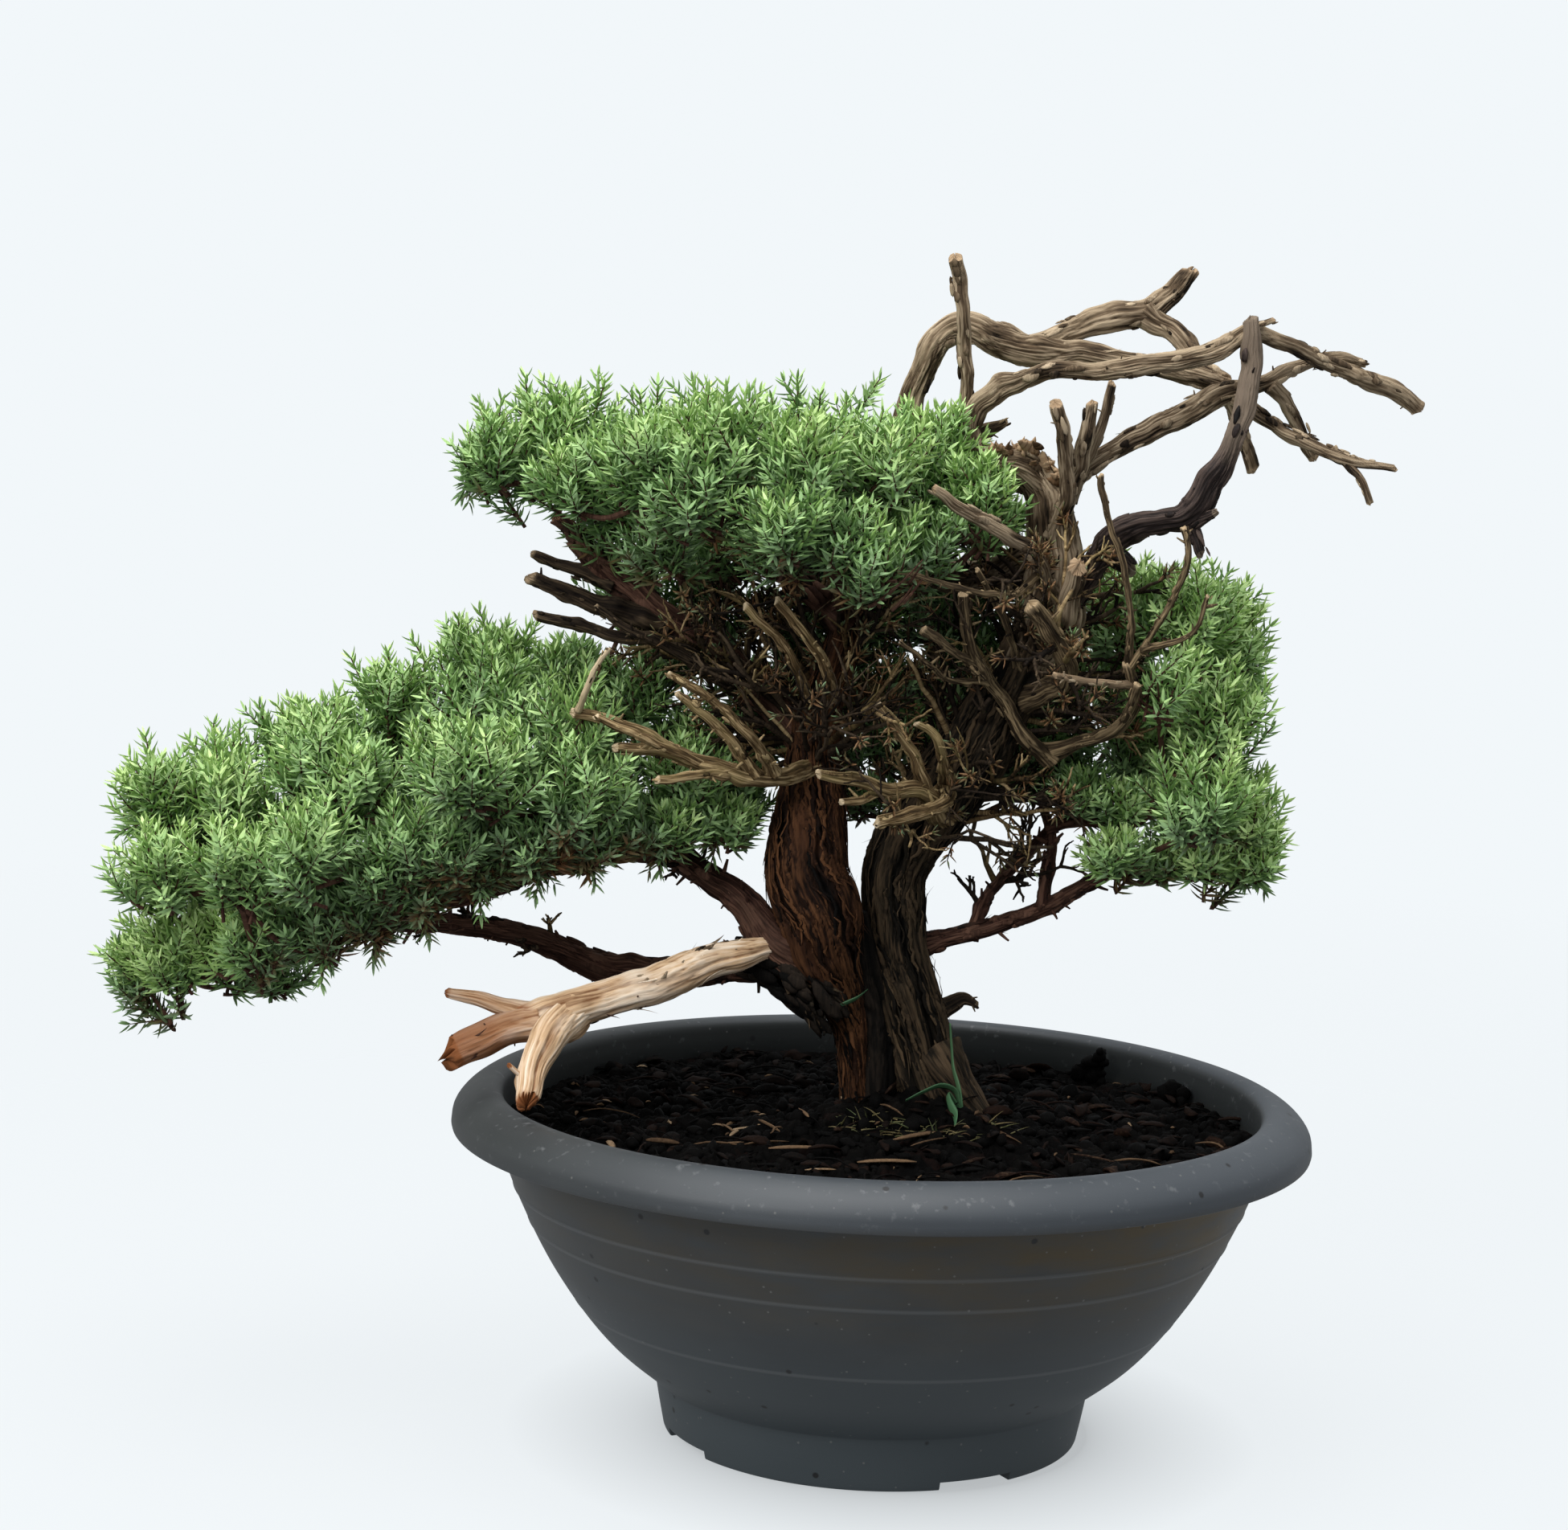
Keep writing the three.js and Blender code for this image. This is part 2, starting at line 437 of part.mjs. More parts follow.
// Rings from the middle of the top, out to the wall, down along it and in over the bowl's floor.
function soilSolid() {
  const wall = SOIL_WALL_CORNERS.map((corner) => {
    const [r, z] = INNER_WALL[corner];
    return [r * FLAT_SHARE - GAP, Math.max(z, FLOOR + GAP)];
  });
  const edge = wall[0][0];
  const points = [new THREE.Vector3(0, 0, soilHeight(0, 0))];
  const rings = [...SOIL_RING_RADII.map((r) => [r, null]), [edge, null], ...wall];
  for (const [r, z] of rings)
    for (let j = 0; j < SOIL_SECTORS; j++) {
      const a = (2 * Math.PI * j) / SOIL_SECTORS;
      const [x, y] = [r * Math.cos(a), r * Math.sin(a)];
      points.push(new THREE.Vector3(x, y, z ?? soilHeight(x, y)));
    }
  points.push(new THREE.Vector3(0, 0, FLOOR + GAP));
  const at = (ring, j) => 1 + ring * SOIL_SECTORS + (j % SOIL_SECTORS);
  const triangles = [];
  for (let j = 0; j < SOIL_SECTORS; j++) {
    triangles.push([0, at(0, j), at(0, j + 1)]);
    for (let ring = 1; ring < rings.length; ring++) {
      const [a, b, c, d] = [at(ring - 1, j), at(ring, j), at(ring, j + 1), at(ring - 1, j + 1)];
      triangles.push([a, b, c], [a, c, d]);
    }
    triangles.push([points.length - 1, at(rings.length - 1, j + 1), at(rings.length - 1, j)]);
  }
  return solidOf(geometryFrom(points, triangles));
}

// ---------------------------------------------------------------- wood

const SIDES_FROM_RADIUS = [[11, 10], [6.6, 7], [4.6, 5], [0, 4]]; // [radius, sides]
const sidesFor = (radius) => SIDES_FROM_RADIUS.find(([least]) => radius >= least)[1];
const FLUTES = 3; // ridges round a trunk
const FLUTE_DEPTH = 0.11;
const FLUTE_TWIST = 0.35; // radians from one point of the route to the next
const FLUTED_FROM = 11; // radius

const STEEP = 0.8; // upward share of a direction, past which +X is its first side and not +Z

// Turns a frame from one ring of a sweep to the next without twisting it.
function framesAlong(centres) {
  const frames = [];
  let side = null;
  centres.forEach((centre, i) => {
    const before = centres[Math.max(0, i - 1)];
    const after = centres[Math.min(centres.length - 1, i + 1)];
    const along = after.clone().sub(before).normalize();
    side ??= Math.abs(along.z) < STEEP ? new THREE.Vector3(0, 0, 1) : new THREE.Vector3(1, 0, 0);
    side = side.clone().addScaledVector(along, -side.dot(along)).normalize();
    frames.push({ centre, along, side, across: along.clone().cross(side) });
  });
  return frames;
}

const onRing = (frame, radius, angle) =>
  frame.centre
    .clone()
    .addScaledVector(frame.side, radius * Math.cos(angle))
    .addScaledVector(frame.across, radius * Math.sin(angle));

// A tapered limb along a route, thickened and lengthened by grown.
function limbSolid(route, grown = 0, sides = sidesFor(Math.max(...route.map((p) => p[3])))) {
  const frames = framesAlong(route.map(([x, y, z]) => new THREE.Vector3(x, y, z)));
  frames[0].centre.addScaledVector(frames[0].along, -grown);
  frames.at(-1).centre.addScaledVector(frames.at(-1).along, grown);
  const points = [];
  const triangles = [];
  frames.forEach((frame, i) => {
    const radius = route[i][3];
    const flute = radius >= FLUTED_FROM ? FLUTE_DEPTH : 0;
    for (let j = 0; j < sides; j++) {
      const angle = (2 * Math.PI * j) / sides;
      const ridge = 1 + flute * Math.cos(FLUTES * angle + FLUTE_TWIST * i);
      points.push(onRing(frame, radius * ridge + grown, angle));
    }
  });
  const at = (i, j) => i * sides + (j % sides);
  for (let i = 1; i < frames.length; i++)
    for (let j = 0; j < sides; j++) {
      const [a, b, c, d] = [at(i - 1, j), at(i - 1, j + 1), at(i, j + 1), at(i, j)];
      triangles.push([a, b, c], [a, c, d]);
    }
  const last = frames.length - 1;
  for (let j = 1; j < sides - 1; j++)
    triangles.push([at(0, 0), at(0, j + 1), at(0, j)], [at(last, 0), at(last, j), at(last, j + 1)]);
  return solidOf(geometryFrom(points, triangles));
}

const limbsSolid = (limbs, grown = 0) =>
  unionOf(Object.values(limbs).map((route) => limbSolid(route, grown)));

// ---------------------------------------------------------------- clearance

const PARALLEL = 1e-9; // below this two stretches count as parallel

// The least distance between two straight stretches a-b and c-d.
function distanceBetween(a, b, c, d) {
  const u = b.clone().sub(a);
  const v = d.clone().sub(c);
  const w = a.clone().sub(c);
  const [uu, uv, vv, uw, vw] = [u.dot(u), u.dot(v), v.dot(v), u.dot(w), v.dot(w)];
  const clamp = THREE.MathUtils.clamp;
  const den = uu * vv - uv * uv;
  let s = den > PARALLEL ? clamp((uv * vw - vv * uw) / den, 0, 1) : 0;
  const t = clamp((uv * s + vw) / vv, 0, 1);
  s = clamp((uv * t - uw) / uu, 0, 1);
  return w.addScaledVector(u, s).addScaledVector(v, -t).length();
}

// What is already placed, as straight stretches with a radius, each owned by a node.
const placed = [];

function place(owner, a, b, radius) {
  placed.push({ owner, a, b, radius });
}

const isClear = (owner, a, b, radius) =>
  placed.every(
    (other) =>
      other.owner === owner || distanceBetween(a, b, other.a, other.b) > radius + other.radius + 2 * GAP,
  );

function placeLimbs(owner, limbs) {
  for (const route of Object.values(limbs))
    for (let i = 1; i < route.length; i++) {
      const [a, b] = [route[i - 1], route[i]];
      place(owner, new THREE.Vector3(...a), new THREE.Vector3(...b), Math.max(a[3], b[3]));
    }
}

// ---------------------------------------------------------------- needles

const NEEDLE_LEAN = THREE.MathUtils.degToRad(NEEDLE_LEAN_DEG);
const NEEDLE_REACH = SHOOT_RADIUS + NEEDLE_LENGTH * Math.sin(NEEDLE_LEAN);
const NEEDLES_ROUND = 3;
const WHORL_TURN = Math.PI / NEEDLES_ROUND;

// A shoot: a slim three-sided core that turns a sixth of a turn at each whorl, with every side of
// every whorl drawn out into a needle that leans forward.
function shootSolid(base, tip) {
  const length = base.distanceTo(tip);
  const whorls = whorlsIn(length);
  const along = tip.clone().sub(base).normalize();
  const step = (length - BARE_LENGTH - TIP_LENGTH) / whorls;
  const stops = [0, ...Array.from({ length: whorls + 1 }, (_, i) => BARE_LENGTH + step * i)];
  const frames = framesAlong(stops.map((stop) => base.clone().addScaledVector(along, stop)));
  const points = [];
  const triangles = [];
  frames.forEach((frame, i) => {
    const radius = SHOOT_RADIUS * (1 - (SHOOT_TAPER * i) / frames.length);
    for (let j = 0; j < NEEDLES_ROUND; j++)
      points.push(onRing(frame, radius, WHORL_TURN * (i + 2 * j)));
  });
  const at = (i, j) => i * NEEDLES_ROUND + (j % NEEDLES_ROUND);
  for (let i = 1; i < frames.length; i++)
    for (let j = 0; j < NEEDLES_ROUND; j++) {
      const corners = [at(i - 1, j), at(i - 1, j + 1), at(i, j + 1), at(i, j)];
      if (i === 1) {
        triangles.push([corners[0], corners[1], corners[3]], [corners[1], corners[2], corners[3]]);
        continue;
      }
      const angle = WHORL_TURN * (i - 1 + 2 * j) + 1.5 * WHORL_TURN;
      const point = onRing(frames[i - 1], NEEDLE_REACH, angle);
      point.addScaledVector(along, step / 2 + NEEDLE_LENGTH * Math.cos(NEEDLE_LEAN));
      const apex = points.push(point) - 1;
      corners.forEach((corner, k) => triangles.push([corner, corners[(k + 1) % 4], apex]));
    }
  const last = frames.length - 1;
  const end = points.push(tip) - 1;
  triangles.push([at(0, 0), at(0, 2), at(0, 1)]);
  for (let j = 0; j < NEEDLES_ROUND; j++) triangles.push([at(last, j), at(last, j + 1), end]);
  return solidOf(geometryFrom(points, triangles));
}

function whorlsIn(length) {
  const room = Math.round((length - BARE_LENGTH - TIP_LENGTH) / WHORL_STEP);
  return THREE.MathUtils.clamp(room, FEWEST_WHORLS, MOST_WHORLS);
}

const GOLDEN_ANGLE = Math.PI * (3 - Math.sqrt(5));
const SHOOT_RISES_DEG = [34, 68, 12, 50, -8, 26, 80, 2, 42, 60, 18, -18]; // tried in this order
const MOST_TRIES = 40;
const LONGEST_SHOOT = BARE_LENGTH + TIP_LENGTH + (MOST_WHORLS + 0.5) * WHORL_STEP;

// How far it is from a point inside a tuft to its outside.
function reachIn(tuft, from, direction) {
  const [x, y, z, ...half] = tuft;
  const offset = from.clone().sub(new THREE.Vector3(x, y, z)).divide(new THREE.Vector3(...half));
  const ray = direction.clone().divide(new THREE.Vector3(...half));
  const [a, b, c] = [ray.dot(ray), ray.dot(offset), offset.dot(offset) - 1];
  return (-b + Math.sqrt(b * b - a * c)) / a;
}

const footOf = ([x, y, z, , , halfHeight]) => new THREE.Vector3(x, y, z - TUFT_FOOT * halfHeight);

// The shoots of one tuft, as [foot, tip]: the first points away from the middle of its pad, the
// rest follow round by the golden angle, and one that would meet another node is left out.
function shootsOf(name, tuft, middle) {
  const foot = footOf(tuft);
  const outward = Math.atan2(foot.y - middle.y, foot.x - middle.x);
  const shoots = [];
  for (let i = 0; i < MOST_TRIES && shoots.length < SHOOTS_PER_TUFT; i++) {
    const rise = THREE.MathUtils.degToRad(SHOOT_RISES_DEG[i % SHOOT_RISES_DEG.length]);
    const turn = outward + GOLDEN_ANGLE * i;
    const direction = new THREE.Vector3(
      Math.cos(rise) * Math.cos(turn),
      Math.cos(rise) * Math.sin(turn),
      Math.sin(rise),
    );
    const length = Math.min(reachIn(tuft, foot, direction), LONGEST_SHOOT);
    const tip = foot.clone().addScaledVector(direction, length);
    const needled = foot.clone().addScaledVector(direction, BARE_LENGTH);
    if (!isClear(name, needled, tip, NEEDLE_REACH)) continue;
    place(name, needled, tip, NEEDLE_REACH);
    shoots.push([foot, tip]);
  }
  return shoots;
}

// ---------------------------------------------------------------- the tree in its bowl

const barkLimbs = {
  ...TRUNKS, ...LIVE_LIMBS, ...DARK_STUBS, ...TAN_TWIGS, ...CENTRE_SNAGS, ...RIGHT_TWIGS,
};
const wood = limbsSolid(barkLimbs);
const grownWood = limbsSolid(barkLimbs, GROWN);
const crown = largestOf(limbsSolid(CROWN_LIMBS).subtract(grownWood));
const stripped = largestOf(limbsSolid(STRIPPED_STUB).subtract(grownWood));
const soil = largestOf(soilSolid().subtract(grownWood));

placeLimbs("wood", barkLimbs);
placeLimbs("dead_crown", CROWN_LIMBS);
placeLimbs("stripped_stub", STRIPPED_STUB);

// A stem runs from the wood to the foot of each tuft in turn.
const stemOf = ({ start, tufts }) => [new THREE.Vector3(...start), ...tufts.map(footOf)];

for (const [name, spray] of Object.entries(SPRAYS)) {
  const stem = stemOf(spray);
  for (let i = 1; i < stem.length; i++) place(name, stem[i - 1], stem[i], STEM_RADIUS);
}

// The middle of the pad that a spray belongs to, such as the crown's or the left one's.
function padMiddle(name) {
  const pad = name.split("_")[0];
  const feet = Object.entries(SPRAYS)
    .filter(([other]) => other.startsWith(pad))
    .flatMap(([, spray]) => spray.tufts.map(footOf));
  return feet.reduce((sum, foot) => sum.add(foot), new THREE.Vector3()).divideScalar(feet.length);
}

function spraySolid(name, spray) {
  const stem = stemOf(spray);
  const [before, end] = stem.slice(-2);
  stem.push(end.clone().addScaledVector(end.clone().sub(before).normalize(), STEM_RADIUS));
  const route = stem.map((p) => [p.x, p.y, p.z, STEM_RADIUS]);
  const solids = [limbSolid(route, 0, STEM_SIDES)];
  for (const tuft of spray.tufts)
    for (const [foot, tip] of shootsOf(name, tuft, padMiddle(name))) {
      solids.push(shootSolid(foot, tip));
    }
  return largestOf(unionOf(solids).subtract(grownWood));
}

const tree = new THREE.Group();
tree.add(
  meshOf("bowl", bowlSolid(), PLASTIC),
  meshOf("soil", soil, COMPOST),
  meshOf("trunks_and_branches", wood, BARK),
  meshOf("dead_crown", crown, DEADWOOD),
  meshOf("stripped_stub", stripped, STRIPPED),
);
for (const [name, spray] of Object.entries(SPRAYS)) {
  tree.add(meshOf(name, spraySolid(name, spray), NEEDLES));
}

export default tree;
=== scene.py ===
"""A juniper bonsai in a round plastic bowl, dressed for a studio picture.

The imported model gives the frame: every piece here stands where its CAD node stands. Lengths in
the tables and in the mesh code are millimetres, and a mesh turns into metres when it is made.
The front of the tree faces -Y.
"""

import math

import bpy
import numpy as np
from mathutils import Matrix, Vector


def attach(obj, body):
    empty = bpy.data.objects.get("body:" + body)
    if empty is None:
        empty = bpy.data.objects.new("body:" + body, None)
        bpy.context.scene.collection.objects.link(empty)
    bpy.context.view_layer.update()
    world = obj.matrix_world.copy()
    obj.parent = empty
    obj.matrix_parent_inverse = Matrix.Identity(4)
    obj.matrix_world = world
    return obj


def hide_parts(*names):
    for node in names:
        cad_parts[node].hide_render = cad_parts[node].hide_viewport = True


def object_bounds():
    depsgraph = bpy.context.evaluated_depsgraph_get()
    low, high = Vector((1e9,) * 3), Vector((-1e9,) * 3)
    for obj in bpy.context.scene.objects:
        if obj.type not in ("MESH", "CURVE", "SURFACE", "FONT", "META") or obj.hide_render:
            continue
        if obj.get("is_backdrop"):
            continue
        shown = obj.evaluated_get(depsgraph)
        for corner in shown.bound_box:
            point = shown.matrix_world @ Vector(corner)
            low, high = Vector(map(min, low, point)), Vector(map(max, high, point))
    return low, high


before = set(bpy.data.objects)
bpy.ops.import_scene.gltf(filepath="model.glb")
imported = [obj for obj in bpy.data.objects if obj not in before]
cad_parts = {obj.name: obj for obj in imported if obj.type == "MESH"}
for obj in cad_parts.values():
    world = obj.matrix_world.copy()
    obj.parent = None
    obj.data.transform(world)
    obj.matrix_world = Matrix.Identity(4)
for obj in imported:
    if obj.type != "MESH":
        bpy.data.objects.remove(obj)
cad_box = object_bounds()

MM = 0.001  # metres in a millimetre, the unit of the tables

# ---------------------------------------------------------------- the bowl and its soil

RIM_RADIUS = 175  # outside of the rolled rim
BOWL_HEIGHT = 141.2
FLOOR = 6
FOOT_RADIUS = 85.5
FOOT_HEIGHT = 22
BOWL_SEGMENTS = 256
BOWL_STEP = 1.6  # between the points of its outline
RING_LINES = {101.5: 0.45, 88: 0.4, 56: 0.22}  # height of each fine raised line: how proud it is
RING_LINE_WIDTH = 1.1

NOTCH_COUNT = 4  # drain channels under the foot
NOTCH_START_DEG = 30
NOTCH_WIDTH = 32
NOTCH_HEIGHT = 3.5
NOTCH_INNER_RADIUS = 56
DRAIN_RADIUS = 5
DRAIN_CENTRE_RADIUS = 66
SHARP_EDGE_DEG = 38  # edges of the moulding that are sharper look sharp

SOIL_EDGE_HEIGHT = 124
SOIL_EDGE_RADIUS = 153.1
SOIL_MOUND = 13
SOIL_MOUND_RADIUS = 100
SOIL_MOUND_X = 12
SOIL_LUMP = 1.6
SOIL_BOTTOM = FLOOR + 0.3
SOIL_GRID = 310  # points along one side of the grid that is rounded into the soil's disc

# ---------------------------------------------------------------- routes of the wood


def gaps_along(route):
    """How far each row of a route is from the row before it. The first columns are the place."""
    return np.linalg.norm(np.diff(np.asarray(route, float)[:, :3], axis=0), axis=1)


def smooth_route(route, step):
    """Rows about a step apart on a smooth curve through a route's rows. A last column such as the
    radius goes along with the place."""
    p = np.asarray(route, float)
    t = np.concatenate([[0], np.cumsum(gaps_along(p))])
    slope = np.gradient(p, t, axis=0)
    at = np.linspace(0, t[-1], max(4, int(t[-1] / step) + 1))
    i = np.clip(np.searchsorted(t, at, side="right") - 1, 0, len(t) - 2)
    h = (t[i + 1] - t[i])[:, None]
    s = (at - t[i])[:, None] / h
    ahead = 3 * s**2 - 2 * s**3
    out = (s**3 - 2 * s**2 + s) * h * slope[i] + (s**3 - s**2) * h * slope[i + 1]
    return (1 - ahead) * p[i] + ahead * p[i + 1] + out


# Each limb is a route of [x, y, z, radius] from where it grows out to its end.

TRUNKS = {
    "left_trunk": [
        [-10, 6, 107, 7], [-11, 6, 137, 5.6], [-13, 4, 161, 6.4], [-18, 2, 179, 9.6],
        [-25, -2, 197, 14.5], [-28, -3, 214, 17.5], [-33, -2, 228, 16.8], [-33, 1, 244, 15.5],
        [-32, 4, 262, 13], [-32, 4, 280, 10.5], [-31, 4, 297, 9], [-25, 8, 313, 8], [-19, 14, 331, 6.5],
        [-15, 20, 349, 5],
    ],
    "right_trunk": [
        [27, 14, 107, 19], [23, 14, 129, 15.6], [19, 14, 144, 14], [14, 14, 161, 13.2],
        [9, 14, 179, 13.2], [4.5, 14, 196, 12.6], [3, 13, 213, 12.3], [3, 12, 229, 12.2],
        [9, 10, 245, 13.8], [20, 8, 262, 15], [31, 6, 279, 14.5], [40, 6, 296, 13.5], [49, 6, 312, 12.5],
        [53, 6, 320, 12],
    ],
    # A dark limb in the gap between the trunks, with painted shade: it stands in for the shadow there.
    "shade_between_trunks": [
        [-12, 4, 213, 4], [-9, 6, 190, 6.5], [-4, 9, 165, 8], [-2, 10, 141, 8.5], [2, 12, 109, 10],
    ],
    "side_root": [[22, 10, 154, 8.5], [30, 3, 144, 7], [38, -4, 136, 5], [49, -10, 124, 3.6]],
}

LIVE_LIMBS = {
    "upper_left_live": [
        [-34, 0, 191, 9], [-46, -2, 199, 8.2], [-54, 0, 208, 7.2], [-61, 3, 216, 6.4],
        [-77, 10, 226, 5.4], [-95, 16, 233, 4.8], [-118, 12, 232, 4], [-140, 4, 226, 3.5],
        [-162, -6, 218, 3], [-180, -14, 214, 2.5], [-200, -16, 230, 2.2], [-212, -12, 246, 2],
    ],
    "lower_left_live": [
        [-34, 3, 195, 8.5], [-67, 20, 187, 7.5], [-91, 26, 181, 7], [-113, 26, 181, 6.5],
        [-135, 20, 191, 5.5], [-154, 14, 198, 4.5], [-173, 8, 201, 4], [-192, 2, 202, 3.5],
        [-214, -6, 202, 2.8], [-232, -12, 197, 2.6], [-250, -14, 207, 2.3], [-264, -12, 224, 2],
    ],
    "left_riser_front": [[-118, 12, 232, 3], [-124, -8, 243, 2.6], [-132, -24, 250, 2.2]],
    "left_riser_middle": [[-140, 4, 226, 3.2], [-145, 12, 248, 2.8], [-146, 18, 268, 2.3]],
    "left_riser_top": [[-145, 11, 245, 2.6], [-139, 12, 258, 2.2], [-136, 14, 266, 2]],
    "left_riser_inner": [[-95, 16, 233, 3.2], [-91, 22, 242, 2.6], [-89, 24, 248, 2.2]],
    "left_riser_back": [[-192, 2, 202, 3], [-200, 22, 211, 2.6], [-208, 42, 216, 2.2]],
    "left_drooping": [[-232, -12, 197, 2.4], [-248, -8, 186, 2.1], [-260, -8, 180, 1.8]],
    "right_live": [
        [9, 16, 197, 5.2], [26, 18, 201.5, 3.8], [42, 20, 206.5, 3.5], [62, 22, 213, 3.4],
        [80, 24, 224, 3.2], [96, 26, 233, 2.8], [114, 26, 242, 2.4],
    ],
    "right_live_riser": [
        [34, 19, 202, 3], [41, 26, 217, 2.5], [50, 32, 230, 2.5], [63, 38, 241, 2.2], [74, 42, 255, 2],
    ],
    "right_live_post": [[64, 22, 215, 2.5], [65, 26, 230, 2.5], [66, 31, 246, 2], [62, 30, 258, 1.6]],
    "right_live_bar": [
        [65, 31, 247, 2.2], [80, 26, 252, 2.5], [96, 20, 251, 2.5], [109, 16, 261, 2.5],
        [116, 12, 273, 2],
    ],
    "crown_left": [[-20, 13, 329, 5], [-45, 10, 350, 4.4], [-74, 8, 364, 3.6], [-104, 6, 374, 2.6]],
    "crown_back": [[-16, 19, 345, 4], [-30, 38, 360, 3.2], [-52, 56, 372, 2.4]],
    "crown_front": [[-19, 13, 333, 4], [-22, -10, 346, 3.2], [-30, -32, 358, 2.4]],
    "crown_right": [[-15, 20, 347, 4], [-9, 12, 361, 3], [-2, 2, 371, 2.2]],
    "upper_left_limb": [
        [-32, 8, 280, 8], [-54, 14, 300, 7.5], [-78, 14, 317, 7], [-99, 12, 333, 6.5], [-118, 10, 348, 6],
        [-132, 8, 361, 4], [-140, 8, 369, 2.6],
    ],
}

DARK_STUBS = {
    "stub_a": [[-94, 10, 327, 5], [-113, 4, 332, 5], [-131, -2, 339, 4], [-148, -6, 345, 3.5]],
    "stub_b": [[-116, 8, 343, 3.5], [-132, 8, 348, 3], [-140, 8, 351, 2.5], [-149, 6, 355, 2]],
    "stub_c": [
        [-70, 8, 311, 4], [-90, 0, 321, 3.5], [-112, -6, 324, 3], [-131, -10, 328, 2.5],
        [-145, -12, 331, 2.5],
    ],
    "stub_d": [
        [-60, 12, 303, 4], [-72, -3, 307, 3], [-89, -14, 318, 2.5], [-104, -22, 325, 2],
        [-120, -28, 335, 1.5],
    ],
}

TAN_TWIGS = {
    "tan_1": [
        [-32, -2, 273, 4.4], [-53, -24, 270, 3.8], [-72, -32, 274, 3.5], [-91, -38, 280, 3],
        [-109, -42, 281, 2.2],
    ],
    "tan_2": [
        [-55, -25, 271, 3.6], [-70, -24, 273, 3.3], [-84, -26, 279, 3.1], [-103, -30, 287, 2.9],
        [-117, -32, 292, 2.6], [-127, -34, 294, 2.2],
    ],
    "tan_3": [[-73, -33, 274, 2.2], [-89, -44, 282, 2], [-103, -50, 288, 1.9], [-116, -54, 294, 1.7]],
    "tan_4": [[-47, -24, 272, 2.8], [-56, -40, 287, 2.3], [-72, -48, 301, 2], [-88, -52, 312, 1.7]],
    "tan_5": [[-54, -28, 271, 2.8], [-63, -34, 284, 2.5], [-75, -38, 297, 2.1], [-85, -40, 304, 1.7]],
    "tan_7": [[-27, 0, 297, 3], [-27, -14, 313, 2.6], [-36, -24, 326, 2.2], [-48, -30, 341, 2]],
    "tan_8": [[-34, -2, 297, 2.8], [-42, -18, 316, 2.2], [-51, -26, 329, 1.9], [-61, -30, 338, 1.7]],
    "pale_wisp": [[-125, -35, 295, 1.6], [-118, -42, 309, 1.5], [-113, -46, 321, 1]],
}

CENTRE_SNAGS = {
    "snag_1": [
        [20, -2, 256, 6], [16, -14, 261, 5], [10, -24, 267, 4], [-3, -32, 267, 3.5], [-16, -38, 271, 3],
        [-29, -42, 274, 2],
    ],
    "snag_2": [[22, -4, 266, 5], [18, -26, 262, 3], [7, -36, 259, 3], [-5, -40, 255, 2.5]],
    "snag_3": [[15, -15, 262, 4], [9, -28, 280, 2.5], [0, -32, 291, 2], [-7, -34, 301, 2]],
    "snag_4": [[22, -4, 267, 4], [19, -24, 282, 2.5], [15, -28, 291, 2], [9, -30, 295, 1.5]],
}

RIGHT_TWIGS = {
    "bow": [
        [64, 0, 279, 4], [52, -7, 289, 3.5], [42, -9, 302, 3], [33, -20, 318, 3], [28, -34, 334, 2.5],
        [26, -40, 347, 2.5],
    ],
    "bow_b": [[37, -14, 311, 2.4], [23, -34, 323, 2], [10, -46, 332, 2]],
    "red_stub": [
        [52, 0, 303, 6], [68, -10, 311, 5], [64, -22, 326, 4.5], [57, -30, 337, 4], [52, -34, 342, 4],
    ],
    "thin_slope": [[50, -2, 314, 2.5], [46, -22, 330, 1.6], [38, -34, 345, 1.5], [30, -42, 356, 1.2]],
    "right_arc": [
        [60, 2, 281, 4.5], [73, -8, 286, 3], [87, -16, 294, 3], [94, -20, 307, 3], [92, -22, 320, 2.5],
    ],
    "pale_bar": [[93, -21, 312, 2], [76, -34, 313, 1.5], [62, -42, 316, 1.5]],
    "thin_red": [
        [92, -22, 318, 2], [98, -26, 329, 1.5], [106, -30, 346, 1.5], [112, -34, 362, 1.5],
        [111, -36, 375, 1.5],
    ],
    "rod_a": [
        [91, -21, 317, 2], [90, -28, 341, 1.5], [86, -30, 363, 1.5], [80, -28, 382, 1.5],
        [77, -26, 394, 1.5],
    ],
    "root_knob": [[17, 17, 167, 5], [27, 20, 173, 3.9], [33, 22, 175.5, 3], [38, 22, 173, 1.6]],
}

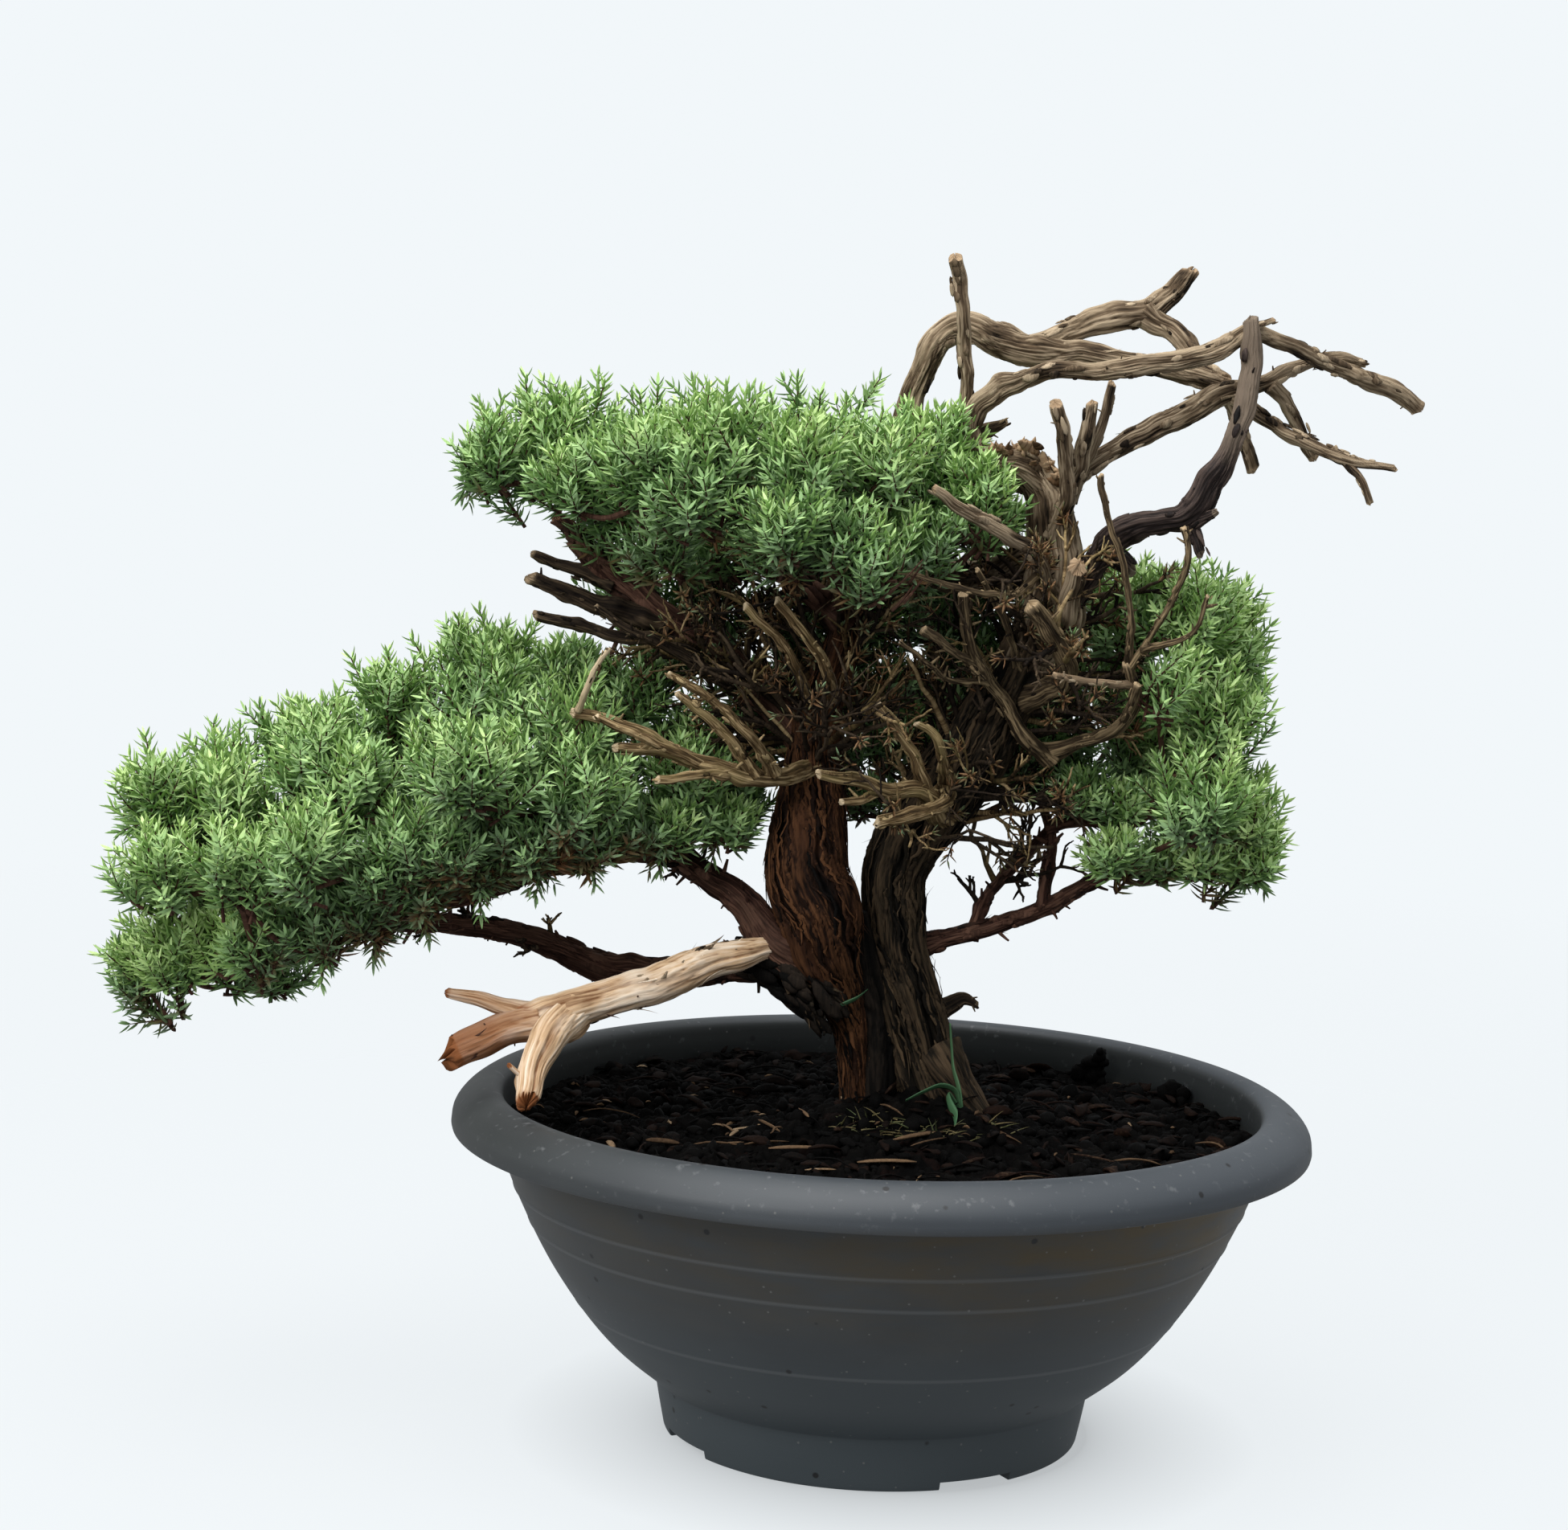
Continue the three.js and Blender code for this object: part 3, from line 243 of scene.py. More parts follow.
CROWN_LIMBS = {
    "crown_trunk": [
        [52, 6, 317, 9], [57, 6, 329, 11.5], [61, 6, 347, 11], [62, 6, 363, 10], [59, 6, 378, 9],
        [56, 6, 390, 8.5], [50, 6, 400, 7],
    ],
    "arch": [
        [58, 10, 362, 7], [38, 28, 352, 7], [16, 36, 352, 6.5], [0, 38, 366, 6], [-5, 35, 391, 6],
        [-1, 34, 411, 5.5], [6, 34, 432, 5.5], [12, 33, 446, 6], [20, 32, 451, 6], [36, 30, 447, 6.5],
        [52, 28, 443, 6], [70, 26, 442, 5], [90, 22, 440, 4], [110, 15, 436, 4], [127, 9, 431, 4],
    ],
    "flaky": [
        [51, 28, 445, 4], [65, 30, 452, 5], [82, 32, 457, 6], [98, 34, 461, 5.5], [108, 36, 469, 4.5],
        [114, 38, 477, 4],
    ],
    "flaky_b": [[96, 33, 460, 4.5], [108, 28, 451, 4.5], [117, 20, 442, 4], [126, 12, 433, 4]],
    "stick": [[28, 10, 402, 4], [24, 8, 428, 3], [21, 6, 454, 3], [17, 4, 478, 3]],
    "runner": [
        [56, 6, 389, 6], [37, 8, 398, 4.5], [26, 10, 406, 4.5], [29, 10, 418, 4.5], [39, 6, 427, 4.5],
        [53, 0, 433, 4], [71, -4, 435, 3.5], [93, -6, 437, 4], [112, -6, 441, 4], [127, -4, 447, 4],
        [137, -3, 455, 2.5],
    ],
    "crown_lip": [[54, 5, 393, 7], [44, -2, 399, 5.5], [33, -4, 399, 3]],
    "beam": [
        [61, 6, 378, 5.5], [71, 2, 394, 4.5], [80, 0, 402, 4], [94, 0, 411, 4.5], [110, 2, 420, 5],
        [127, 6, 428, 5], [142, 10, 432, 3.5], [156, 14, 439, 3], [172, 18, 443, 2.5],
        [184, 20, 442, 1.8],
    ],
    "far_arm": [
        [136, -3, 453, 3.2], [150, 2, 449, 3], [167, 9, 442, 3.5], [185, 14, 435, 4], [207, 20, 425, 3.5],
    ],
    "low_arm": [
        [132, 5, 427, 3.5], [151, -4, 414, 2.5], [167, -10, 407, 2.5], [179, -14, 403, 2],
        [193, -18, 401, 1.5],
    ],
    "drop_a": [[146, 10, 432, 3.2], [157, 14, 422, 3], [162, 16, 412, 2.5], [166, 16, 404, 2.5]],
    "drop_b": [[130, 8, 427, 3.5], [136, 14, 411, 3], [140, 16, 398, 3]],
    "black_arm": [
        [65, 2, 336, 5.5], [75, -6, 354, 5.5], [81, -10, 366, 6], [91, -14, 374, 5.5], [103, -18, 377, 5],
        [114, -20, 381, 6.5], [121, -20, 393, 5.5], [128, -18, 407, 4.2], [133, -14, 422, 4],
        [135, -8, 441, 4.5], [135, -4, 457, 3],
    ],
    "black_thorn": [[115, -20, 377, 3], [123, -26, 381, 1.5]],
    "black_knob": [[82, -9, 364, 4.5], [92, -8, 358, 3.5]],
    "lance": [
        [63, 0, 341, 4], [54, -20, 360, 3], [39, -32, 372, 3], [24, -42, 380, 2.5], [12, -46, 387, 2],
    ],
    "bud_stub": [[62, 0, 331, 5], [67, -14, 337, 4.5], [68, -26, 349, 4], [70, -32, 358, 4]],
    "post_1": [[61, 2, 370, 4], [66, -12, 391, 3], [63, -20, 407, 3], [58, -24, 421, 2.5]],
    "post_2": [[62, 2, 376, 4], [69, -6, 394, 3.5], [72, -12, 409, 3], [73, -16, 422, 2.5]],
    "post_3": [[66, 0, 384, 3.5], [74, -6, 402, 2.5], [79, -9, 417, 2], [82, -10, 430, 2]],
}

STRIPPED_STUB = {
    "stub": [
        [-46, -6, 199.5, 3.6], [-58, -14, 197, 5.6], [-74, -22, 192.8, 6.8], [-92, -30, 186, 7.5],
        [-109, -37, 181.5, 7.5], [-126, -44, 177, 7.5], [-139, -48, 173, 7.5],
    ],
    "claw": [[-136, -48, 172, 6.5], [-150, -52, 169, 6.5], [-160, -56, 164, 7], [-168, -58, 160, 6.5]],
    "thin_prong": [[-136, -46, 173, 5], [-151, -47, 177, 3.5], [-162, -47, 181, 3], [-172, -47, 183, 2]],
    "lower_prong": [
        [-123, -44, 177, 6.5], [-131, -59, 169, 6.5], [-135, -68, 159, 5.5], [-136, -79, 148, 4.5],
    ],
}

# The finest twigs and thorns, too thin for the solids.
FINE_TWIGS = {
    "bow_c": [[36, -16, 311, 2], [20, -32, 312, 1.2], [11, -42, 320, 1.2], [2, -48, 328, 1]],
    "thin_fork": [[97, -25, 326, 1.6], [105, -36, 330, 1.5], [115, -42, 335, 1], [120, -46, 349, 1]],
    "runner_b": [[26, 10, 406, 4], [34, 16, 410, 3.5], [41, 20, 414, 1.8]],
    "snag_5": [[-6, -33, 267, 2.2], [-13, -38, 264, 2], [-20, -42, 264, 1.5]],
    "right_arc_b": [[89, -16, 295, 2.2], [93, -28, 306, 2], [94, -34, 313, 1.8]],
    "thin_cross": [
        [56, -15, 355, 2], [41, -36, 346, 1.5], [25, -48, 349, 1.5], [13, -53, 352, 1.2],
        [-1, -57, 355, 1],
    ],
    "tan_9": [[-62, -29, 273, 2.8], [-76, -40, 271, 2], [-86, -44, 270, 2], [-92, -46, 270, 2]],
}
FINE_CROWN = {
    "low_arm_b": [[169, -10, 407, 2.2], [179, -16, 397, 1.6], [184, -18, 387, 1.5]],
    "black_thorn_b": [[113, -20, 377, 3.2], [119, -24, 365, 2]],
    "tip_thorn": [[136, -4, 454, 1.8], [144, -8, 457, 1.2]],
}
FINE_STRIPPED = {"stripped_hair": [[-138, -72, 154, 1], [-144, -76, 160, 1]]}

# ---------------------------------------------------------------- sprays of needles

# The sprays of each pad, in turn: the place where its stem leaves the wood, then the tufts that the
# stem passes under. A tuft is [x, y, z, half-width, half-depth, half-height].
PADS = {
    "crown": [
        [[-140, 8, 369], [-139, 15, 393, 25, 22, 26], [-161, -8, 391, 19, 16, 19]],
        [[-104, 6, 374], [-105, -30, 388, 25, 22, 28]], [[-102, 7, 374], [-109, 45, 395, 28, 24, 25]],
        [[-72, 8, 363], [-75, -55, 383, 26, 20, 28]], [[-74, 8, 364], [-76, 10, 395, 28, 24, 28]],
        [[-52, 56, 372], [-77, 85, 385, 29, 22, 26]],
        [[-30, -32, 358], [-44, -38, 391, 27, 22, 29], [-43, -68, 368, 23, 16, 15]],
        [[-50, 55, 371], [-47, 45, 398, 28, 24, 27]], [[-4, 5, 369], [-16, -16, 392, 25, 22, 29]],
        [[-2, 2, 371], [14, -2, 385, 21, 20, 25], [30, -20, 372, 18, 18, 17]],
        [[-27, -24, 354], [-5, -56, 357, 24, 20, 22]],
        [[-30, 38, 360], [-27, 60, 350, 25, 20, 23], [-12, 66, 388, 25, 20, 25]],
    ],
    "left": [
        [[-146, 18, 268], [-166, -12, 296, 28, 24, 30]], [[-146, 17, 266], [-203, 25, 281, 25, 24, 28]],
        [[-136, 14, 266], [-140, 20, 293, 26, 22, 29]], [[-145, 16, 262], [-128, 65, 281, 27, 24, 29]],
        [[-132, -24, 250], [-162, -60, 271, 28, 22, 27]],
        [[-130, -20, 249], [-122, -42, 262, 26, 18, 25]], [[-89, 24, 248], [-86, -4, 262, 22, 18, 19]],
        [[-90, 23, 246], [-88, 52, 263, 27, 24, 25]], [[-212, -12, 246], [-221, -30, 269, 26, 24, 28]],
        [[-210, -13, 243], [-246, 35, 263, 25, 22, 25]],
        [[-264, -12, 224], [-269, 0, 254, 24, 22, 27], [-292, -22, 250, 20, 18, 22]],
        [[-259, -13, 218], [-288, -45, 224, 22, 20, 21]],
        [[-250, -14, 207], [-252, -62, 228, 25, 20, 24]],
        [[-200, -16, 230], [-220, -75, 237, 24, 20, 23]],
        [[-185, -15, 218], [-188, -52, 236, 24, 20, 24]], [[-162, -6, 218], [-158, -36, 237, 22, 20, 19]],
        [[-260, -8, 180], [-284, -18, 188, 31, 20, 18]], [[-246, -8, 188], [-262, 24, 190, 24, 18, 17]],
        [[-218, -8, 201], [-217, 22, 203, 22, 16, 14]], [[-208, 42, 216], [-190, 74, 240, 29, 22, 26]],
        [[-206, 38, 215], [-244, 60, 229, 29, 22, 26], [-284, 42, 214, 26, 22, 24]],
    ],
    "right": [
        [[116, 12, 273], [130, 0, 298, 22, 20, 23], [116, 8, 337, 23, 18, 21]],
        [[112, 14, 266], [104, -22, 312, 20, 20, 22]], [[114, 26, 242], [143, 22, 256, 17, 20, 26]],
        [[100, 26, 235], [122, -26, 266, 25, 20, 24]], [[110, 26, 240], [128, 78, 256, 27, 22, 27]],
        [[74, 42, 255], [100, 48, 272, 22, 18, 22]],
        [[70, 40, 250], [96, 76, 300, 21, 20, 24], [91, 52, 341, 20, 18, 20]],
        [[115, 14, 270], [133, 62, 307, 25, 20, 26], [136, 34, 325, 19, 18, 22]],
        [[90, 25, 230], [92, 0, 238, 15, 14, 10]], [[62, 30, 258], [58, 46, 266, 17, 15, 13]],
    ],
}
SPRAYS = {
    f"{pad}_spray_{i + 1}": {"start": start, "tufts": tufts}
    for pad, sprays in PADS.items()
    for i, (start, *tufts) in enumerate(sprays)
}

# Tufts that close the gaps between those of the sprays. Each grows from the nearest spray.
FILLERS = [
    # the left pad
    [-215, -20, 212, 24, 20, 15], [-194, 10, 217, 24, 20, 16], [-163, -25, 235, 24, 20, 17],
    [-143, 15, 237, 24, 20, 16], [-115, -10, 244, 22, 19, 15], [-90, 10, 246, 20, 17, 13],
    [-181, -30, 267, 25, 21, 22], [-209, -45, 259, 24, 20, 20], [-234, -45, 235, 25, 21, 20],
    [-262, -20, 248, 24, 20, 20], [-150, -35, 272, 24, 20, 21], [-127, -30, 288, 22, 19, 20],
    [-107, 25, 290, 22, 19, 20], [-84, 25, 271, 22, 19, 18], [-265, -25, 192, 22, 19, 15],
    [-248, 5, 189, 22, 19, 14], [-292, -15, 213, 20, 17, 18], [-233, 10, 274, 24, 20, 20],
    [-203, 25, 287, 24, 20, 20], [-286, -10, 246, 20, 17, 20], [-174, 45, 295, 22, 19, 20],
    [-123, 20, 260, 22, 19, 18], [-68, 25, 258, 16, 14, 14], [-285, 20, 215, 22, 19, 18],
    [-260, 25, 206, 22, 19, 16], [-160, -20, 258, 20, 17, 17], [-160, 35, 302, 21, 18, 19],
    [-138, 36, 299, 20, 17, 17], [-180, 36, 304, 19, 17, 17],
    # its underside
    [-302, -15, 181, 17, 15, 11], [-284, -25, 181, 18, 15, 11], [-269, -5, 179, 18, 15, 11],
    [-252, 10, 174, 16, 14, 11], [-246, -45, 196, 20, 17, 13], [-223, -45, 200, 20, 17, 13],
    [-203, -42, 208, 20, 17, 13], [-183, -42, 218, 20, 17, 13], [-161, -40, 228, 20, 17, 13],
    [-139, -38, 236, 20, 17, 13], [-117, -30, 238, 18, 15, 12], [-93, -20, 243, 18, 15, 12],
    [-71, -5, 245, 18, 15, 12], [-67, 30, 249, 18, 15, 16], [-172, -50, 236, 20, 17, 14],
    [-197, -52, 229, 20, 17, 15],
    # its back
    [-244, 38, 238, 22, 19, 18], [-215, 48, 243, 22, 19, 18], [-268, 22, 226, 20, 18, 17],
    # the crown
    [-167, 0, 389, 10, 9, 7], [-150, 15, 384, 15, 14, 14], [-129, -22, 380, 19, 17, 16],
    [-116, 0, 366, 22, 19, 18], [-91, -25, 359, 22, 19, 18], [-70, 10, 357, 22, 19, 18],
    [-42, -45, 363, 22, 19, 19], [-18, -15, 363, 22, 19, 19], [6, -25, 358, 20, 17, 18],
    [19, 15, 374, 16, 14, 14], [29, -15, 386, 13, 12, 12], [-140, 20, 402, 22, 19, 20],
    [-38, -55, 391, 24, 20, 21], [-9, -40, 392, 22, 19, 20], [-95, -45, 389, 24, 20, 22],
    [-70, -50, 400, 24, 20, 22], [11, 5, 402, 20, 17, 19], [-64, 40, 379, 24, 20, 20],
    [40, 20, 373, 9, 8, 8], [-24, -58, 365, 18, 15, 16],
    # behind the dead twigs in the middle
    [-113, 40, 336, 24, 20, 18], [-80, 45, 325, 26, 22, 20], [-44, 50, 319, 26, 22, 22],
    [-13, 50, 327, 24, 20, 22], [21, 45, 332, 24, 20, 22], [-35, 45, 293, 24, 20, 20],
    [-1, 45, 294, 24, 20, 20], [48, 45, 313, 22, 19, 22], [-62, 55, 291, 22, 19, 18],
    [26, 50, 288, 20, 17, 18], [-100, 50, 307, 22, 19, 18], [60, 40, 344, 20, 17, 20],
    [70, 50, 289, 18, 15, 16], [-6, 38, 276, 22, 19, 17], [-11, 32, 254, 13, 11, 10],
    [-18, 42, 300, 20, 17, 18], [13, 42, 281, 18, 15, 16], [8, 48, 338, 18, 15, 16],
    [59, 48, 285, 17, 15, 16], [-51, 48, 278, 18, 15, 16], [43, 48, 270, 16, 14, 13],
    [30, 50, 312, 20, 16, 18], [66, 44, 312, 17, 14, 15], [40, 44, 345, 16, 13, 14],
    [-85, 48, 346, 20, 17, 15],
    # the right pad
    [94, 30, 329, 22, 19, 22], [115, 45, 293, 24, 20, 22], [130, 35, 263, 24, 20, 20],
    [106, 50, 265, 22, 19, 20], [143, 20, 242, 20, 17, 15], [119, 15, 327, 20, 17, 18],
    [95, 55, 300, 22, 19, 20], [128, 30, 324, 15, 14, 16], [128, 25, 284, 14, 14, 16],
    [75, 60, 268, 16, 14, 14], [117, 30, 243, 20, 17, 14], [100, 20, 340, 17, 15, 13],
    [128, 35, 336, 14, 13, 12], [80, 25, 259, 16, 14, 11], [96, 20, 256, 14, 12, 10],
    [129, 10, 235, 16, 14, 9], [146, 10, 235, 12, 10, 8], [110, 15, 233, 14, 12, 8],
]

# Shoots that stand out of the pads: where their tips are. Each grows from the nearest spray.
SPIKES = [
    # the crown
    [-179, 5, 377], [-171, 10, 407], [-176, 0, 390], [-164, 10, 417], [-155, 15, 426], [-144, 5, 410],
    [-135, 20, 418], [-123, 20, 425], [-113, 0, 410], [-110, 35, 421], [-103, 40, 425], [-93, 5, 413],
    [-88, 30, 427], [-78, -5, 417], [-73, 30, 421], [-64, 20, 415], [-55, 25, 421], [-45, 30, 429],
    [-35, 20, 423], [-24, 5, 420], [-11, 25, 430], [0, 15, 421], [11, 5, 415],
    # the left pad
    [-319, 0, 246], [-311, -20, 238], [-308, 10, 274], [-300, -10, 260], [-291, 15, 273], [-283, 25, 279],
    [-271, 20, 278], [-265, 30, 287], [-250, 30, 286], [-248, -15, 273], [-235, 20, 277], [-227, 30, 308],
    [-229, 15, 290], [-216, 20, 302], [-214, 45, 310], [-202, 35, 316], [-189, 20, 310], [-183, 35, 325],
    [-175, 40, 329], [-166, 30, 321], [-156, 40, 317], [-144, 35, 309], [-127, 30, 307], [-313, -15, 193],
    [-305, -20, 214], [-309, -20, 181], [-317, -10, 178],
    # the right pad
    [94, 30, 350], [104, 30, 353], [119, 40, 359], [129, 40, 358], [139, 40, 349], [143, 35, 352],
    [148, 30, 329], [151, 30, 306], [155, 25, 293], [144, 30, 274], [156, 20, 265], [157, 20, 242],
    [154, 15, 227],
]
# Shorter ones that hang from the undersides.
DROOPS = [
    [-298, -25, 186], [-284, -30, 182], [-268, -22, 184], [-250, -14, 183], [-243, -52, 197],
    [-222, -52, 185], [-202, -50, 194], [-180, -50, 204], [-160, -48, 214], [-139, -44, 222],
    [-116, -36, 226], [-92, -26, 231], [-72, -10, 233], [145, 10, 248], [131, 2, 242], [119, 7, 247],
    [105, 4, 243], [90, 12, 250], [152, 16, 247],
]

# The bare twigs that stand out in front, where no needles may hide them.
CLEAR_TWIGS = ["lance", "tan_7", "tan_8", "bow", "right_arc", "thin_red", "pale_wisp", "thin_cross"]
CLEAR_ROUTES = [
    smooth_route(np.array(route)[:, :3], 3.0)
    for name, route in {**CROWN_LIMBS, **TAN_TWIGS, **RIGHT_TWIGS, **FINE_TWIGS}.items()
    if name in CLEAR_TWIGS
]
CLEAR_ROUND = 9  # from such a twig to the nearest needles, as seen from the front
CLEAR_BEHIND = 5  # how far behind it needles still count as in front of it
TUFT_FOOT = 0.45  # how far below its centre a tuft's twigs leave the stem, in half-heights
TIP_RISE = 0.22  # how far a level twig's tip turns up, in twig lengths
FOOT_SPREAD = 0.32  # how far twigs start from the tuft's foot, in its half sizes
PAD_LEAN = 0.45  # how much the twigs turn to the side where their pad grows
AGE_BELOW = 0.35  # of the needles on a pad's underside; 0 is dead
AGE_RISE = 0.31  # from there to the pad's top
AGE_IN_TUFT = 0.13  # from the middle of a tuft to its top
# Where needles are darker or lighter than round them: [x, y, z, reach, change of age]. The spots of lower
# age under the pads are older, dead needles, and the two wide ones at the back of the middle are painted
# shade as well. The spots of higher age on the low parts of the left and right pads are painted light on
# needles in shade, with some fresher needles.
AGE_AND_PAINTED_LIGHT_SPOTS = [
    [-225, -40, 207, 17, -0.5], [-211, -50, 243, 12, -0.4], [-173, -45, 233, 17, -0.5],
    [-129, -40, 237, 16, -0.45], [-162, -50, 262, 11, -0.45], [-70, 50, 315, 55, -0.14],
    [15, 50, 305, 60, -0.16], [-111, -30, 229, 16, -0.5], [-196, -50, 205, 14, -0.35],
    [-310, -15, 178, 26, 0.36], [-280, -20, 172, 24, 0.26], [-312, -20, 232, 20, 0.14],
    [89, 5, 240, 16, 0.35], [150, 15, 245, 30, 0.24], [120, 0, 232, 20, 0.12], [-45, -60, 352, 18, -0.2],
    [-90, -35, 350, 16, -0.25], [132, 20, 285, 48, 0.34], [-272, -30, 208, 40, 0.32],
]
SPIKE_AGE_LOW = 0.3  # of a shoot that stands out of a pad's underside
SPIKE_AGE_RISE = 0.4  # from there to the pad's top
DROOP_AGES = (0.2, 0.5)
TWIG_AGE_SPREAD = 0.06
NEEDLE_AGE_RISE = 0.24  # from the foot of a shoot to its tip
GOLDEN_ANGLE = math.pi * (3 - math.sqrt(5))
RISES_DEG = [30, 66, 8, 48, -12, 24, 78, 0, 40, 58, 16]  # of a tuft's twigs, in turn
TWIG_REACH = 0.79  # of the way from the foot to the tuft's outside
TOP_DIP = 0.28  # the share of it that upright twigs fall short
TWIG_BARE = 0.3  # of a twig, before its first needles
SIDE_SHOOTS = 3  # on each twig
SIDE_SHOOT_LENGTHS = (21, 15)  # at the twig's foot and near its tip
SHOOT_SAG = 0.12  # how far a twig's middle hangs below its straight line, in twig lengths
UPRIGHT = 0.85  # how strongly the side shoots turn up
SPIKE_LENGTH = 34
DROOP_LENGTH = 22
WHORL_STEP = 2.35
NEEDLES_ROUND = 3
NEEDLE_LENGTHS = (8.0, 5.6)  # at the foot of a shoot and at its tip
NEEDLE_LEANS_DEG = (70, 42)
NEEDLE_WIDTH = 1.86
NEEDLE_RINGS = ((0.0, 0.7), (0.35, 1.0), (0.76, 0.6))  # share of its length, share of its width
NEEDLE_KEEL = 0.42  # how deep its keel is, in widths
NEEDLE_BEND = 0.10  # how far its tip turns towards the shoot, in lengths
TWIG_RADIUS = 0.75
SIDE_TWIG_RADIUS = 0.42

# ---------------------------------------------------------------- numbers, noise and curves

MASK = np.uint64(0xFFFFFFFF)


def normalized(v):
    """Directions of length 1."""
    return v / np.maximum(np.linalg.norm(v, axis=-1, keepdims=True), 1e-12)


def lattice(ix, iy, iz):
    """A repeatable number from -1 to 1 for each point of a whole-number lattice."""
    n = [i.astype(np.int64).astype(np.uint64) for i in (ix, iy, iz)]
    mixed = (n[0] * np.uint64(73856093)) ^ (n[1] * np.uint64(19349663)) ^ (n[2] * np.uint64(83492791))
    mixed = ((mixed & MASK) ^ ((mixed & MASK) >> np.uint64(15))) * np.uint64(2246822519) & MASK
    mixed = (mixed ^ (mixed >> np.uint64(13))) * np.uint64(3266489917) & MASK
    return (mixed ^ (mixed >> np.uint64(16))).astype(float) / float(MASK) * 2 - 1


def noise(p):
    """Smooth noise from -1 to 1 at each row of p, with about one bump to a unit."""
    cell = np.floor(p)
    ease = p - cell
    ease = ease * ease * (3 - 2 * ease)
    total = np.zeros(len(p))
    for corner in range(8):
        step = [(corner >> k) & 1 for k in range(3)]
        weight = np.prod([ease[:, k] if step[k] else 1 - ease[:, k] for k in range(3)], axis=0)
        total += weight * lattice(*(cell[:, k] + step[k] for k in range(3)))
    return total


def fractal(p, octaves=3):
    """Noise with finer noise on it, each layer half as strong."""
    layers = [noise(p * 2.03**k + 17.3 * k) * 0.5**k for k in range(octaves)]
    return np.sum(layers, axis=0) / sum(0.5**k for k in range(octaves))


def frames_along(centres):
    """The direction of a curve at each point and two directions across it that don't twist."""
    along = normalized(np.gradient(centres, axis=0))
    side = np.empty_like(along)
    last = np.array([1.0, 0, 0]) if abs(along[0, 2]) > 0.8 else np.array([0, 0, 1.0])
    for i, direction in enumerate(along):
        last = last - last.dot(direction) * direction
        last /= np.linalg.norm(last)
        side[i] = last
    return along, side, np.cross(along, side)


def out_at(angle, side, across):
    """The direction at an angle round a curve, from the two directions across it."""
    return math.cos(angle) * side + math.sin(angle) * across


# ---------------------------------------------------------------- meshes


class Shape:
    """A mesh in the making, in millimetres: points, faces with a material each, and named values."""

    def __init__(self):
        self.points, self.faces, self.slots, self.values = [], [], [], {}
        self.count = 0

    def add(self, points, faces, slots=0, **values):
        """Adds points and a list of face arrays. slots is one number or one array for each of them."""
        if not isinstance(slots, (list, tuple)):
            slots = [slots] * len(faces)
        for face, slot in zip(faces, slots):
            self.faces.append(np.asarray(face) + self.count)
            self.slots.append(np.broadcast_to(slot, len(face)))
        for name, value in values.items():
            size = (len(points), 3) if np.ndim(value) == 2 else (len(points),)
            self.values.setdefault(name, []).append(np.broadcast_to(value, size))
        self.points.append(points)
        self.count += len(points)

    def made(self, name, materials, slot, replaces=(), smooth=True):
        """The finished piece, which rides on the one body."""
        mesh = bpy.data.meshes.new(name)
        points = np.concatenate(self.points) * MM
        mesh.vertices.add(len(points))
        mesh.vertices.foreach_set("co", points.astype(np.float32).ravel())
        corners = np.concatenate([face.ravel() for face in self.faces]).astype(np.int32)
        sizes = np.concatenate([np.full(len(face), face.shape[1]) for face in self.faces])
        mesh.loops.add(len(corners))
        mesh.loops.foreach_set("vertex_index", corners)
        mesh.polygons.add(len(sizes))
        starts = np.concatenate([[0], np.cumsum(sizes)[:-1]]).astype(np.int32)
        mesh.polygons.foreach_set("loop_start", starts)
        for material in materials:
            mesh.materials.append(material)
        mesh.polygons.foreach_set("material_index", np.concatenate(self.slots).astype(np.int32))
        mesh.update(calc_edges=True)
        for key, parts in self.values.items():
            whole = np.concatenate(parts).astype(np.float32)
            kind, field = ("FLOAT_VECTOR", "vector") if whole.ndim == 2 else ("FLOAT", "value")
            mesh.attributes.new(key, kind, "POINT").data.foreach_set(field, whole.ravel())
        mesh.shade_smooth() if smooth else mesh.shade_flat()
        piece = bpy.data.objects.new(name, mesh)
        bpy.context.scene.collection.objects.link(piece)
        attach(piece, "root")
        if replaces:
            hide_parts(*replaces)
        return piece


def grid_faces(rings, sides):
    """The quads between closed rings of points, each of so many sides."""
    i, j = np.meshgrid(np.arange(rings - 1), np.arange(sides), indexing="ij")
    after = (j + 1) % sides
    low, high = i * sides, (i + 1) * sides
    return np.stack([low + j, low + after, high + after, high + j], -1).reshape(-1, 4)


def cap_faces(first, sides, middle, outward):
    """Triangles from one ring of points to a middle point."""
    j = np.arange(sides)
    ring = [first + j, first + (j + 1) % sides]
    return np.stack([*(ring if outward else ring[::-1]), np.full(sides, middle)], -1)


def tube_faces(rings, sides):
    """The faces of a closed tube. The middle points of its two ends follow on its rings."""
    count = rings * sides
    ends = [cap_faces(0, sides, count, False), cap_faces(count - sides, sides, count + 1, True)]
    return [grid_faces(rings, sides), *ends]


def round_each(value, sides):
    """Spreads a value for each ring over the points of a capped tube; one number stays as it is."""
    if np.ndim(value) == 0:
        return value
    return np.concatenate([np.repeat(value, sides, axis=0), value[:1], value[-1:]])


def tube(shape, centres, radii, sides, slot=0, flat=1.0, across=None, **values):
    """A plain closed tube along a curve. flat squeezes it, across says which way it stays wide."""
    along, side, up = frames_along(centres)
    if across is not None:
        side = normalized(across - np.sum(across * along, axis=1, keepdims=True) * along)
        up = np.cross(along, side)
    angle = np.arange(sides) * 2 * math.pi / sides
    ring = np.cos(angle)[None, :, None] * side[:, None] + flat * np.sin(angle)[None, :, None] * up[:, None]
    points = (centres[:, None] + radii[:, None, None] * ring).reshape(-1, 3)
    points = np.concatenate([points, centres[:1], centres[-1:]])
    values = {key: round_each(value, sides) for key, value in values.items()}
    shape.add(points, tube_faces(len(centres), sides), slot, **values)


# ---------------------------------------------------------------- materials


